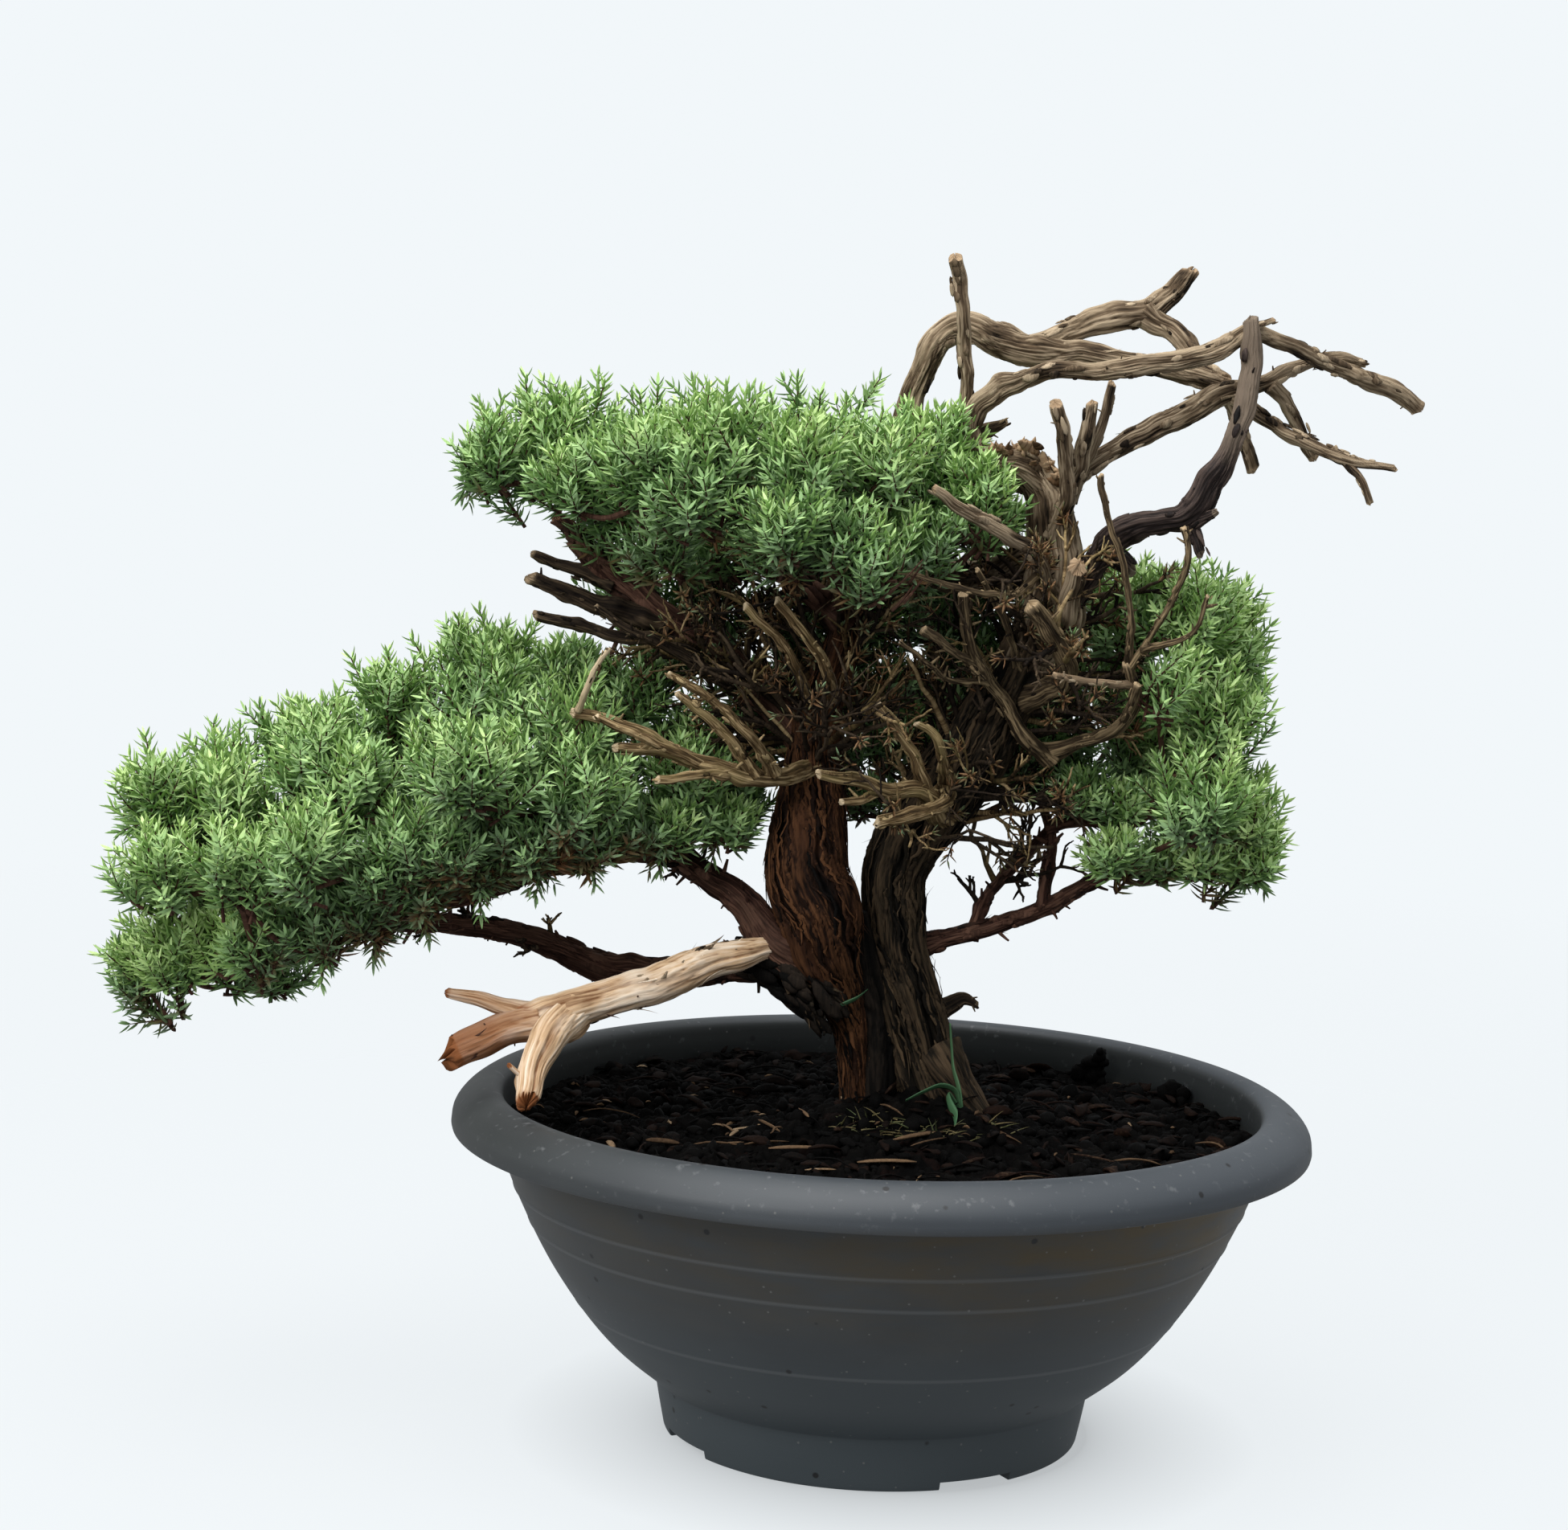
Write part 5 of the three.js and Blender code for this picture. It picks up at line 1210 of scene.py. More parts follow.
def disc_grid(n):
    """A square grid of n by n points rounded into a disc of radius 1."""
    a, b = np.meshgrid(np.linspace(-1, 1, n), np.linspace(-1, 1, n), indexing="ij")
    wide = np.abs(a) > np.abs(b)
    r = np.where(wide, a, b)
    safe = np.where(np.abs(r) < 1e-9, 1, r)
    angle = np.where(wide, math.pi / 4 * b / safe, math.pi / 2 - math.pi / 4 * a / safe)
    return (r * np.cos(angle)).ravel(), (r * np.sin(angle)).ravel()


def make_soil():
    """The soil in the bowl: crumbs on top, and sides and a bottom inside the bowl's wall."""
    n = SOIL_GRID
    x, y = disc_grid(n)
    x, y = x * SOIL_EDGE_RADIUS, y * SOIL_EDGE_RADIUS
    flat = np.stack([x, y, np.zeros(len(x))], -1)
    swell = fractal(flat / 16, 3)
    relief = 0.75 * crumbs(x, y, 7, 1) * (0.5 + 0.5 * noise(flat / 9 + 3) > 0.42)
    relief = np.maximum(relief, 0.8 * crumbs(x, y, 4.2, 2)) + 0.55 * crumbs(x, y, 2.1, 3)
    relief += 1.1 * fractal(flat / 2.2, 2)
    edge = np.clip((SOIL_EDGE_RADIUS - np.hypot(x, y)) / 4, 0, 1)
    z = soil_height(x, y) + 1.5 * swell + (relief - 1.6) * (0.35 + 0.65 * edge)
    shape = Shape()
    top = np.stack([x, y, z], -1)
    index = np.arange(n * n).reshape(n, n)
    quads = np.stack([index[:-1, :-1], index[1:, :-1], index[1:, 1:], index[:-1, 1:]], -1).reshape(-1, 4)
    rim = np.concatenate([index[:-1, 0], index[-1, :-1], index[:0:-1, -1], index[0, :0:-1]])
    if np.cross(top[quads[0, 1]] - top[quads[0, 0]], top[quads[0, 2]] - top[quads[0, 0]])[2] < 0:
        quads, rim = quads[:, ::-1], rim[::-1]
    wall = [[152.9, 120.7], [144.2, 98], [127.2, 67], [107, 43.3], [85, 24], [83, 14], [82.2, SOIL_BOTTOM]]
    sides = len(rim)
    outward = top[rim][:, :2] / np.linalg.norm(top[rim][:, :2], axis=1, keepdims=True)
    rings = [np.column_stack([outward * radius, np.full(sides, height)]) for radius, height in wall]
    points = np.concatenate([top, *rings, [[0, 0, SOIL_BOTTOM]]])
    ring_index = [rim] + [n * n + k * sides + np.arange(sides) for k in range(len(wall))]
    skirt = [
        np.stack([low, np.roll(low, -1), np.roll(high, -1), high], -1)
        for high, low in zip(ring_index[:-1], ring_index[1:])
    ]
    bottom = np.stack([np.roll(ring_index[-1], -1), ring_index[-1], np.full(sides, len(points) - 1)], -1)
    # the crumbs' relief, which the soil's material turns into painted shade in the hollows and painted
    # light on the tops
    shade = np.zeros(len(points))
    shade[: n * n] = np.clip(relief / 4.5, 0, 1)
    shape.add(points, [quads, *skirt, bottom], relief=shade)
    shape.made("soil_bed", [COMPOST], "soil", ["soil"])


# ---------------------------------------------------------------- what lies on the soil

CRUMB_COUNT = 1500
CHIP_COUNT = 230
BARK_CHIP_COUNT = 300
CLOD_COUNT = 170
FIBRE_COUNT = 130
PALE_BIT_COUNT = 70


def round_lump():
    """The points and faces of a ball of radius 1."""
    bpy.ops.mesh.primitive_ico_sphere_add(subdivisions=2, radius=1)
    ball = bpy.context.object
    points = np.array([v.co for v in ball.data.vertices])
    faces = np.array([list(p.vertices) for p in ball.data.polygons])
    bpy.data.objects.remove(ball)
    return points, faces


LUMP_POINTS, LUMP_FACES = round_lump()


def on_soil(rng, most=150.0):
    """A random place on the soil, at most that far from the middle."""
    radius = math.sqrt(rng.uniform(0, most**2))
    angle = rng.uniform(0, 2 * math.pi)
    x, y = radius * math.cos(angle), radius * math.sin(angle)
    return np.array([x, y, soil_height(x, y)])


def add_lump(shape, rng, centre, size, tone):
    """A crumb or clod of an uneven shape."""
    shift = rng.uniform(-50, 50, 3)
    rough = 1 + 0.45 * fractal(LUMP_POINTS * 1.3 + shift, 2)
    stretch = rng.uniform(0.65, 1.25, 3)
    shape.add(centre + LUMP_POINTS * rough[:, None] * stretch * size, [LUMP_FACES], tone=tone)


def add_strand(shape, rng, start, turn, length, radius, tone, lift, curl, flat, points):
    """A fibre, splinter or chip that lies about level, with random bends. lift and curl say how far
    it rises and turns, and flat how much it is squeezed."""
    s = np.linspace(0, 1, points)
    heading = turn + curl * np.cumsum(rng.uniform(-1, 1, points)) * 0.6
    steps = np.column_stack([np.cos(heading), np.sin(heading), rng.uniform(-0.5, 1) * lift + 0 * s])
    centres = start + np.cumsum(steps, axis=0) * (length / points)
    centres[:, 2] += lift * length * np.sin(math.pi * s)
    taper = np.minimum(1, 3.2 * np.minimum(s, 1 - s) + 0.35)
    wide = normalized(np.array([rng.normal(), rng.normal(), rng.uniform(0.0, 0.35)]))
    across = np.broadcast_to(wide, centres.shape)
    tube(shape, centres, radius * taper, sides=6, flat=flat, across=across, tone=tone)


def fallen_at(rng, low, high):
    """A random place that far over the soil."""
    return on_soil(rng) + [0, 0, rng.uniform(low, high)]


# Pale splinters and husks on the soil: [x, y, turn in degrees, length, half-width, tone].
SPLINTERS = [
    [-62, -28, 35, 17, 1.1, 0.84], [-60, -42, 75, 14, 0.9, 0.8], [-47, -60, 8, 26, 0.8, 0.72],
    [-56, -55, 20, 22, 0.9, 0.66], [-28, -35, 105, 18, 0.8, 0.72], [-102, -92, 130, 17, 2.3, 0.96],
    [-90, -104, 140, 14, 2.5, 0.92], [-119, -76, 60, 12, 1.9, 0.86], [-30, -92, 5, 14, 0.9, 0.78],
    [-12, -78, 12, 27, 1.6, 0.72], [2, -60, 35, 30, 2.0, 0.66], [14, -96, 75, 12, 0.8, 0.74],
    [58, -50, 118, 30, 0.8, 0.6], [30, -78, 60, 22, 0.9, 0.5], [72, -88, 20, 10, 1.4, 0.7],
    [-104, -62, 100, 13, 1.7, 0.8], [-64, -22, 60, 20, 0.7, 0.74], [-57, -36, 110, 18, 0.8, 0.7],
    [-52, -26, 20, 16, 0.6, 0.78], [-66, -50, 5, 20, 0.8, 0.68], [-38, -44, 118, 24, 0.7, 0.7],
    [-76, -62, 165, 16, 1.0, 0.58], [10, -66, 48, 26, 0.7, 0.6], [95, -60, 150, 24, 0.7, 0.52],
]
# Lumps that stand up at the back edge: [x, y, height over the soil, size].
EDGE_LUMPS = [
    [92, 106, 12, 4.2], [96, 104, 17, 3.2], [88, 108, 8, 5], [126, 78, 7, 4.5], [131, 72, 9, 3.4],
]
CHIP_LIE = dict(lift=0.02, curl=0.12, flat=0.35, points=4)
BARK_CHIP_LIE = dict(lift=0.07, curl=0.2, flat=0.28, points=5)
FIBRE_LIE = dict(lift=0.08, curl=0.6, flat=0.8, points=9)
SPLINTER_LIE = dict(lift=0.02, curl=0.1, flat=0.4, points=7)
PALE_BIT_LIE = dict(lift=0.1, curl=0.1, flat=0.5, points=4)


def make_debris():
    """Everything that lies loose on the soil."""
    rng = np.random.default_rng(11)
    shape = Shape()
    for _ in range(CRUMB_COUNT):
        centre = on_soil(rng)
        size = 0.7 + 2.1 * rng.random() ** 3
        add_lump(shape, rng, centre + [0, 0, 0.35 * size], size, rng.uniform(0.0, 0.28))
    for x, y, up, size in EDGE_LUMPS:
        for level in np.arange(0, up, 0.7 * size):
            centre = np.array([x, y, soil_height(x, y) + level]) + rng.normal(0, 0.8, 3)
            add_lump(shape, rng, centre, size, 0.12)
    for _ in range(CHIP_COUNT):
        start = fallen_at(rng, 0.4, 1.6)
        length = rng.uniform(6, 17)
        tone = rng.choice([0.1, 0.22, 0.36, 0.5], p=[0.45, 0.35, 0.16, 0.04])
        turn = rng.uniform(0, 2 * math.pi)
        add_strand(shape, rng, start, turn, length, rng.uniform(1.0, 2.2), tone, **CHIP_LIE)
    for _ in range(BARK_CHIP_COUNT):
        start = fallen_at(rng, 0.5, 2.6)
        reddish = rng.uniform(0.28, 0.46) + 0.05 * (start[0] > 0)
        turn = rng.uniform(0, 2 * math.pi)
        length = rng.uniform(6, 19)
        add_strand(shape, rng, start, turn, length, rng.uniform(1.3, 3.4), reddish, **BARK_CHIP_LIE)
    for _ in range(CLOD_COUNT):
        size = rng.uniform(2.2, 4.6)
        centre = on_soil(rng, most=146.0) + [0, 0, 0.15 * size]
        add_lump(shape, rng, centre, size, rng.uniform(0.0, 0.24))
    for _ in range(FIBRE_COUNT):
        start = fallen_at(rng, 0.8, 2.4)
        tone = rng.choice([0.15, 0.32, 0.44, 0.64], p=[0.4, 0.35, 0.17, 0.08])
        turn = rng.uniform(0, 2 * math.pi)
        length = rng.uniform(9, 32)
        add_strand(shape, rng, start, turn, length, rng.uniform(0.28, 0.6), tone, **FIBRE_LIE)
    for x, y, turn, length, radius, tone in SPLINTERS:
        start = np.array([x, y, soil_height(x, y) + 3.2])
        add_strand(shape, rng, start, math.radians(turn), length, radius, tone, **SPLINTER_LIE)
    for _ in range(PALE_BIT_COUNT):
        start = on_soil(rng) + [0, 0, 2.0]
        turn = rng.uniform(0, 2 * math.pi)
        length, radius, tone = (rng.uniform(*limits) for limits in ((2, 7), (0.3, 0.9), (0.5, 0.85)))
        add_strand(shape, rng, start, turn, length, radius, tone, **PALE_BIT_LIE)
    shape.made("soil_chips_and_fibres", [DEBRIS], "soil")


# Blades by the trunks: routes of [x, y, z, half-width].
BLADES = {
    "trunk_blade": [
        [27, -4, 170, 0.6], [28, -5, 160, 0.9], [29, -8, 152, 1.2], [31, -12, 146, 1.5],
        [33, -14, 135, 1.2],
    ],
    "left_blade": [
        [32, -13, 135, 1.0], [30, -14, 144, 1.3], [24, -18, 147, 1.5], [17, -22, 145, 1.4],
        [10, -26, 142, 0.8],
    ],
    "down_blade": [
        [33, -12, 135, 1.0], [27, -16, 143, 1.4], [28, -22, 140, 2.3], [30, -26, 137, 2.4],
        [30, -33, 134, 0.8],
    ],
    "collar_blade": [[-24, -8, 173, 0.5], [-17, -10, 177, 1.2], [-11, -9, 180, 1.3], [-7, -6, 183, 0.5]],
}
# Tufts of moss: [x, y, spread, blades].
MOSS_SPOTS = [[6, -38, 17, 44], [26, -42, 13, 24], [-8, -32, 10, 20], [48, -30, 10, 12]]


def make_grass():
    """Grass blades and moss at the foot of the trunks."""
    rng = np.random.default_rng(5)
    shape = Shape()
    for route in BLADES.values():
        rows = smooth_route(route, 1.2)
        across = np.broadcast_to([0.35, -0.45, 0.8], (len(rows), 3))
        tube(shape, rows[:, :3], np.maximum(rows[:, 3], 0.25), 6, flat=0.22, across=across, age=0.85)
    for x, y, spread, blades in MOSS_SPOTS:
        for _ in range(blades):
            start = np.array([x, y, 0.0]) + rng.normal(0, spread * 0.5, 3) * [1, 0.6, 0]
            start[2] = soil_height(start[0], start[1]) + 1.0
            lean = normalized(np.array([rng.normal(), rng.normal(), rng.uniform(0.1, 0.8)]))
            s = np.linspace(0, 1, 5)[:, None]
            centres = start + lean * s * rng.uniform(3, 11) - np.array([0, 0, 1.5]) * s**2
            tube(shape, centres, 0.42 * (1.05 - s[:, 0]), 4, flat=0.4, age=rng.uniform(0, 0.5))
    shape.made("grass_and_moss", [GRASS], "needles")


# ---------------------------------------------------------------- wood


def bark_plates(u, v, around, seed):
    """Plates of bark on a limb's skin, unrolled into u round it and v along it, a plate to a unit:
    each point's distance from its plate's edge, and the plate's own level from -1 to 1."""
    cell_u, cell_v = np.floor(u), np.floor(v)
    nearest, second, level = np.full(len(u), 9.0), np.full(len(u), 9.0), np.zeros(len(u))
    layer = np.full(len(u), float(seed))
    for i in (-1, 0, 1):
        for j in (-1, 0, 1):
            at = (np.mod(cell_u + i, around), cell_v + j)
            du = u - (cell_u + i + 0.5 + 0.46 * lattice(*at, layer))
            dv = v - (cell_v + j + 0.5 + 0.46 * lattice(*at, layer + 50))
            distance = np.hypot(du, dv)
            closer = distance < nearest
            second = np.where(closer, nearest, np.minimum(second, distance))
            level = np.where(closer, lattice(*at, layer + 90), level)
            nearest = np.where(closer, distance, nearest)
    return second - nearest, level


# Shares of the bark's relief: how deep the cracks round plates and strips are, how much plates and
# strips differ in level, and the fibres on them.
PLATE_EDGE, PLATE_LEVEL = 0.30, 0.13
STRIP_EDGE, STRIP_LEVEL = 0.18, 0.07
FIBRE_SHARE = 0.12


def furrows(spun, distance, grain, around, length, seed):
    """Relief from 0 in a crack to 1 on a plate: long plates, narrower strips on them and fibres."""
    wander = noise(grain / [9, 9, 0.45 * length])
    u, v = spun / (2 * math.pi) * around + 0.7 * wander, distance / length + 0.6 * wander
    edge, level = bark_plates(u, v, around, seed)
    strip_edge, strip_level = bark_plates(2 * u, 1.7 * v + 0.5 * level, 2 * around, seed + 7)
    fibres = 0.5 + 0.5 * noise(grain * [1.9, 1.9, 0.3])
    plates = PLATE_EDGE * np.minimum(1, 3.2 * edge) + PLATE_LEVEL * (1 + level)
    strips = STRIP_EDGE * np.minimum(1, 3.0 * strip_edge) + STRIP_LEVEL * (1 + strip_level)
    return plates + strips + FIBRE_SHARE * fibres


END_STEPS = np.array([0.05, 0.12, 0.16, 0.18])  # of a limb's broken end, in its last radii
END_SHARES = np.array([0.93, 0.72, 0.42, 0.14])


def knuckles(distance, spun, radii, spacing, rng):
    """Swellings on one side, where side twigs have grown or broken off."""
    swelling = np.zeros(spun.shape)
    if not spacing:
        return swelling
    for at in np.arange(rng.uniform(0.3, 1) * spacing, distance[-1], spacing):
        at += rng.normal(0, 0.25 * spacing)
        radius = np.interp(at, distance, radii)
        along = np.exp(-(((distance - at) / (0.9 * radius + 0.8)) ** 2))[:, None]
        facing = np.clip(np.cos(spun - rng.uniform(0, 2 * math.pi)), 0, 1) ** 2
        swelling += rng.uniform(0.15, 0.5) * along * facing
    return swelling


# The look of a limb, where its own look says nothing else. Each look also gives the width, length
# and depth of its plates of bark.
PLAIN_LOOK = dict(
    step=1.0,  # between the rings of the mesh
    facet=0.8,  # between the points of a ring
    wander=0.0,  # how far the limb strays from its route
    flare=0.0,  # how much thicker it is where it grows out, in radii
    twist=0.0,  # of its plates and folds, in radians to 100 mm
    folds=3,  # that run along it
    flutes=0.0,  # how deep they are, in radii
    # fold_shade gives painted shade in the hollows of the folds
    fold_shade=0.0,  # how dark they are
    knots=0.08,  # how uneven the limb is, in radii
    knuckles=35,  # between the swellings; 0 is for none
    deepest=0.3,  # most depth of the bark, in radii
    splinter=0.45,  # how ragged the broken end is, in its radii
    stain=0.0,  # how much of it has the colour of the broken end
    worn_from=None,  # the share of its length after which it has that colour
)
WORN_SHARE = 0.75  # how much of that colour it has there


def limb(shape, route, look, seed, slot=0):
    """A limb along its route, with plated bark, folds, knuckles and a broken end."""
    look = {**PLAIN_LOOK, **look}
    rng = np.random.default_rng(1000 + seed)
    rows = smooth_route(route, look["step"])
    centres, radii = rows[:, :3], np.maximum(rows[:, 3], 0.35)
    along, side, across = frames_along(centres)
    distance = np.concatenate([[0], np.cumsum(gaps_along(centres))])
    settled = np.minimum(1, distance / 12)[:, None] * look["wander"]
    lookup = np.column_stack([distance / 17, np.full(len(distance), 3.7 * seed), np.zeros(len(distance))])
    for axis, row in ((side, lookup), (across, lookup + 40)):
        centres = centres + settled * (noise(row) + 0.4 * noise(2.7 * row))[:, None] * axis
    radii = radii * (1 + look["flare"] * np.exp(-distance / (1.3 * radii[0])))
    thickest, last = radii.max(), radii[-1]
    sides = int(np.clip(2 * math.pi * thickest / look["facet"], 12, 176))
    extra = len(END_STEPS)
    centres = np.concatenate([centres, centres[-1] + np.outer(np.cumsum(END_STEPS) * last, along[-1])])
    radii = np.concatenate([radii, END_SHARES * last])
    along, side, across = (
        np.concatenate([axis, np.repeat(axis[-1:], extra, 0)]) for axis in (along, side, across)
    )
    distance = np.concatenate([distance, distance[-1] + np.cumsum(END_STEPS) * last])
    ending = np.clip((distance - (distance[-extra - 1] - 0.5 * last)) / (0.6 * last), 0, 1) ** 2
    rings = len(centres)

    angle = np.arange(sides) * 2 * math.pi / sides
    spun = angle[None, :] + look["twist"] * distance[:, None] / 100
    down = np.broadcast_to(distance[:, None], spun.shape)
    mean, shift = max(thickest * 0.8, 1.5), 31.7 * seed
    grain = np.stack([mean * np.cos(spun) + shift, mean * np.sin(spun) - shift, down], -1).reshape(-1, 3)
    around = max(3, round(2 * math.pi * thickest / look["width"]))
    relief = furrows(spun.ravel(), down.ravel(), grain, around, look["length"], seed).reshape(rings, sides)
    slow = np.column_stack([distance / 40, np.full(rings, 1.3 * seed), np.zeros(rings)])
    bend = 0.8 * noise(slow)[:, None]
    folds = np.abs(np.cos(0.5 * look["folds"] * spun + bend)) ** 0.6
    knots = fractal(grain / [1.5 * mean, 1.5 * mean, 3.2 * mean] + 9.1, 2).reshape(rings, sides)
    knots = look["knots"] * knots + knuckles(distance, spun, radii, look["knuckles"], rng)
    depth = np.minimum(look["depth"], look["deepest"] * radii)[:, None]
    swollen = 1 + look["flutes"] * (folds - 0.75) + knots
    radius = radii[:, None] * swollen + depth * (relief - 0.62)
    splinters = noise(np.column_stack([grain[:, :2] * 1.3, np.full(len(grain), seed * 3.3)]))
    splinters = splinters.reshape(rings, sides)
    slant = 0.5 * np.cos(angle - rng.uniform(0, 2 * math.pi))[None, :] * (radius / last)
    push = ending[:, None] * (splinters * look["splinter"] + slant) * last
    ring = np.cos(angle)[None, :, None] * side[:, None] + np.sin(angle)[None, :, None] * across[:, None]
    points = (centres[:, None] + radius[..., None] * ring + push[..., None] * along[:, None]).reshape(-1, 3)
    points = np.concatenate([points, [centres[0], centres[-1] - 0.1 * last * along[-1]]])
    # painted shade in the hollows of the folds, carried in the relief value
    shade = relief * (1 - look["fold_shade"] * (1 - folds))
    stained = look["stain"] * np.clip(0.5 + distance / distance[-1], 0, 1)
    if look["worn_from"]:
        stained = stained + WORN_SHARE * np.clip((distance / distance[-1] - look["worn_from"]) / 0.12, 0, 1)
    cut = np.clip(np.repeat(ending + stained, sides) + 0.5 * look["stain"] * knots.ravel(), 0, 1)
    shape.add(
        points, tube_faces(rings, sides), slot,
        grain=np.concatenate([grain, grain[[0, -1]]]),
        relief=np.concatenate([shade.ravel(), [0.3, 0.3]]),
        cut=np.concatenate([cut, [0, 1]]),
    )


def skin(centres, stretch, relief):
    """The values of a small piece of wood: its place in the grain, its relief and no cut."""
    return dict(grain=centres * [1, 1, stretch], relief=relief, cut=0.0)


def spots_on(rows, count, rng, first, last):
    """Random spots on a limb's skin: the row, the direction along the limb and the direction out of
    it. So many rows are left out at its first and last end."""
    along, side, across = frames_along(rows[:, :3])
    for _ in range(count):
        i = rng.integers(first, len(rows) - last)
        yield rows[i], along[i], out_at(rng.uniform(0, 2 * math.pi), side[i], across[i])


def add_peelings(shape, route, rng, count, lengths, width, slot=0):
    """Strips of bark that have come loose at one end and curl away from the limb."""
    for row, along, out in spots_on(smooth_route(route, 2.0), count, rng, 2, 2):
        heading = along * rng.choice([-1, 1])
        length = rng.uniform(*lengths)
        s = np.linspace(0, 1, 7)[:, None]
        lift = rng.uniform(0.12, 0.5) * length
        foot = row[:3] + out * (row[3] * 0.9)
        centres = foot + heading * s * length + out * lift * s**2.2
        wide = np.broadcast_to(np.cross(heading, out), centres.shape)
        taper = width * rng.uniform(0.5, 1.2) * (1.05 - s[:, 0] ** 2)
        look = skin(centres, 0.4, rng.uniform(0.3, 0.9))
        tube(shape, centres, taper, 6, slot, flat=0.28, across=wide, **look)


def add_spurs(shape, route, rng, count, lengths, slot=0):
    """Short dead spurs where side twigs have broken off."""
    for row, along, out in spots_on(smooth_route(route, 2.0), count, rng, 3, 1):
        heading = normalized(out + along * rng.uniform(0.1, 0.9) + rng.normal(0, 0.2, 3))
        length = rng.uniform(*lengths)
        s = np.linspace(0, 1, 6)[:, None]
        bend = normalized(rng.normal(0, 1, 3)) * 0.16 * length
        centres = row[:3] + heading * (row[3] * 0.6 + s * length) + bend * s**2
        taper = np.clip(0.16 * length, 0.5, 1.5) * (1.0 - 0.55 * s[:, 0])
        tube(shape, centres, taper, 7, slot, **skin(centres, 0.6, rng.uniform(0.3, 0.8)))


def add_scabs(shape, route, rng, spacing, sizes, slot=0):
    """Flakes and scabs of bark stuck to a limb, longer than they are wide."""
    rows = smooth_route(route, 1.5)
    for row, along, out in spots_on(rows, int(1.5 * len(rows) / spacing), rng, 1, 0):
        size = min(rng.uniform(*sizes), 0.5 * row[3])
        rough = 1 + 0.5 * fractal(LUMP_POINTS * 1.4 + rng.uniform(-50, 50, 3), 2)[:, None]
        local = LUMP_POINTS * rough * size * [0.55, 0.9, rng.uniform(1.2, 3.2)]
        axes = (out, np.cross(along, out), along)
        turned = sum(np.outer(local[:, k], axis) for k, axis in enumerate(axes))
        place = row[:3] + out * row[3] * rng.uniform(0.82, 1.0)
        grain, relief = turned + place * [1, 1, 0.6], rng.uniform(0.1, 0.95)
        shape.add(place + turned, [LUMP_FACES], slot, grain=grain, relief=relief, cut=0.0)


def add_strips(shape, route, rng, twist, count, lengths, slot):
    """Long strips of stringy bark that lie on a trunk and lift off at one end."""
    rows = smooth_route(route, 2.0)
    along, side, across = frames_along(rows[:, :3])
    for _ in range(count):
        span = int(rng.uniform(*lengths) / 2)
        i = rng.integers(1, max(2, len(rows) - span - 1))
        picked = np.arange(i, min(i + span, len(rows)))
        angle = rng.uniform(0, 2 * math.pi) - twist * 2 * (picked - i) / 100
        angle = angle + 0.05 * np.cumsum(rng.normal(0, 1, len(picked)))
        out = np.cos(angle)[:, None] * side[picked] + np.sin(angle)[:, None] * across[picked]
        s = np.linspace(0, 1, len(picked))
        if rng.random() >= 0.5:
            s = np.linspace(1, 0, len(picked))
        lift = rng.uniform(0.2, 0.8) + rng.uniform(0, 2.2) * s**4
        centres = rows[picked, :3] + out * (rows[picked, 3] + lift - 0.6)[:, None]
        wide = np.cross(along[picked], out)
        taper = rng.uniform(0.35, 1.0) * np.minimum(1, 0.25 + 5 * np.minimum(s, 1 - s))
        look = skin(centres, 0.3, rng.uniform(0.1, 1.0))
        tube(shape, centres, taper, 6, slot, flat=0.35, across=wide, **look)


TRUNK_LOOKS = {
    "left_trunk": dict(
        width=2.9, length=26, depth=3.0, flutes=0.22, folds=5, fold_shade=1.0, knots=0.14, twist=1.3,
        facet=0.6, step=0.9, wander=0.3, knuckles=0,
    ),
    "right_trunk": dict(
        width=3.2, length=34, depth=3.4, flutes=0.26, folds=6, fold_shade=1.0, knots=0.13, twist=0.8,
        facet=0.65, step=0.95, wander=0.3, knuckles=0,
    ),
    "shade_between_trunks": dict(
        width=3, length=24, depth=2.4, flutes=0.2, folds=4, fold_shade=1.0, knots=0.2, facet=0.9,
    ),
    "side_root": dict(width=3, length=30, depth=2, flutes=0.1, knots=0.15, flare=0.3, facet=0.9),
}
TRUNK_SLOTS = {"left_trunk": 0, "right_trunk": 1, "shade_between_trunks": 2, "side_root": 1}
LIMB_LOOK = dict(
    width=2.4, length=20, depth=1.8, flutes=0.12, fold_shade=0.5, knots=0.2, flare=0.45, twist=0.8,
    wander=1.0, knuckles=26, facet=0.6,
)
TWIG_LOOK = dict(
    width=1.7, length=24, depth=1.1, flutes=0.14, fold_shade=0.5, knots=0.2, flare=0.35, facet=0.5,
    wander=1.3, knuckles=15, deepest=0.34, step=0.8,
)
CROWN_LOOK = dict(
    width=2.2, length=30, depth=2.2, flutes=0.15, folds=3, fold_shade=0.5, knots=0.22, flare=0.3,
    facet=0.5, twist=0.7, wander=1.5, knuckles=26, deepest=0.32, step=0.8,
)
STRIPPED_LOOK = dict(
    width=2.6, length=60, depth=1.5, flutes=0.16, fold_shade=0.7, knots=0.14, flare=0.2, facet=0.6,
    splinter=0.7, wander=0.8,
)


# The share of a route's radius that a limb keeps, so that its bark doesn't make it thicker.
LIMB_SHARE = 0.97
TWIG_SHARE = 0.86
CROWN_SHARE = 0.95
PEELING_LIMB_RADIUS = 4  # thicker limbs peel
PEELING_CROWN_RADIUS = 5


def slimmed(route, share):
    """A route with that share of its radii."""
    return np.array(route, float) * [1, 1, 1, share]


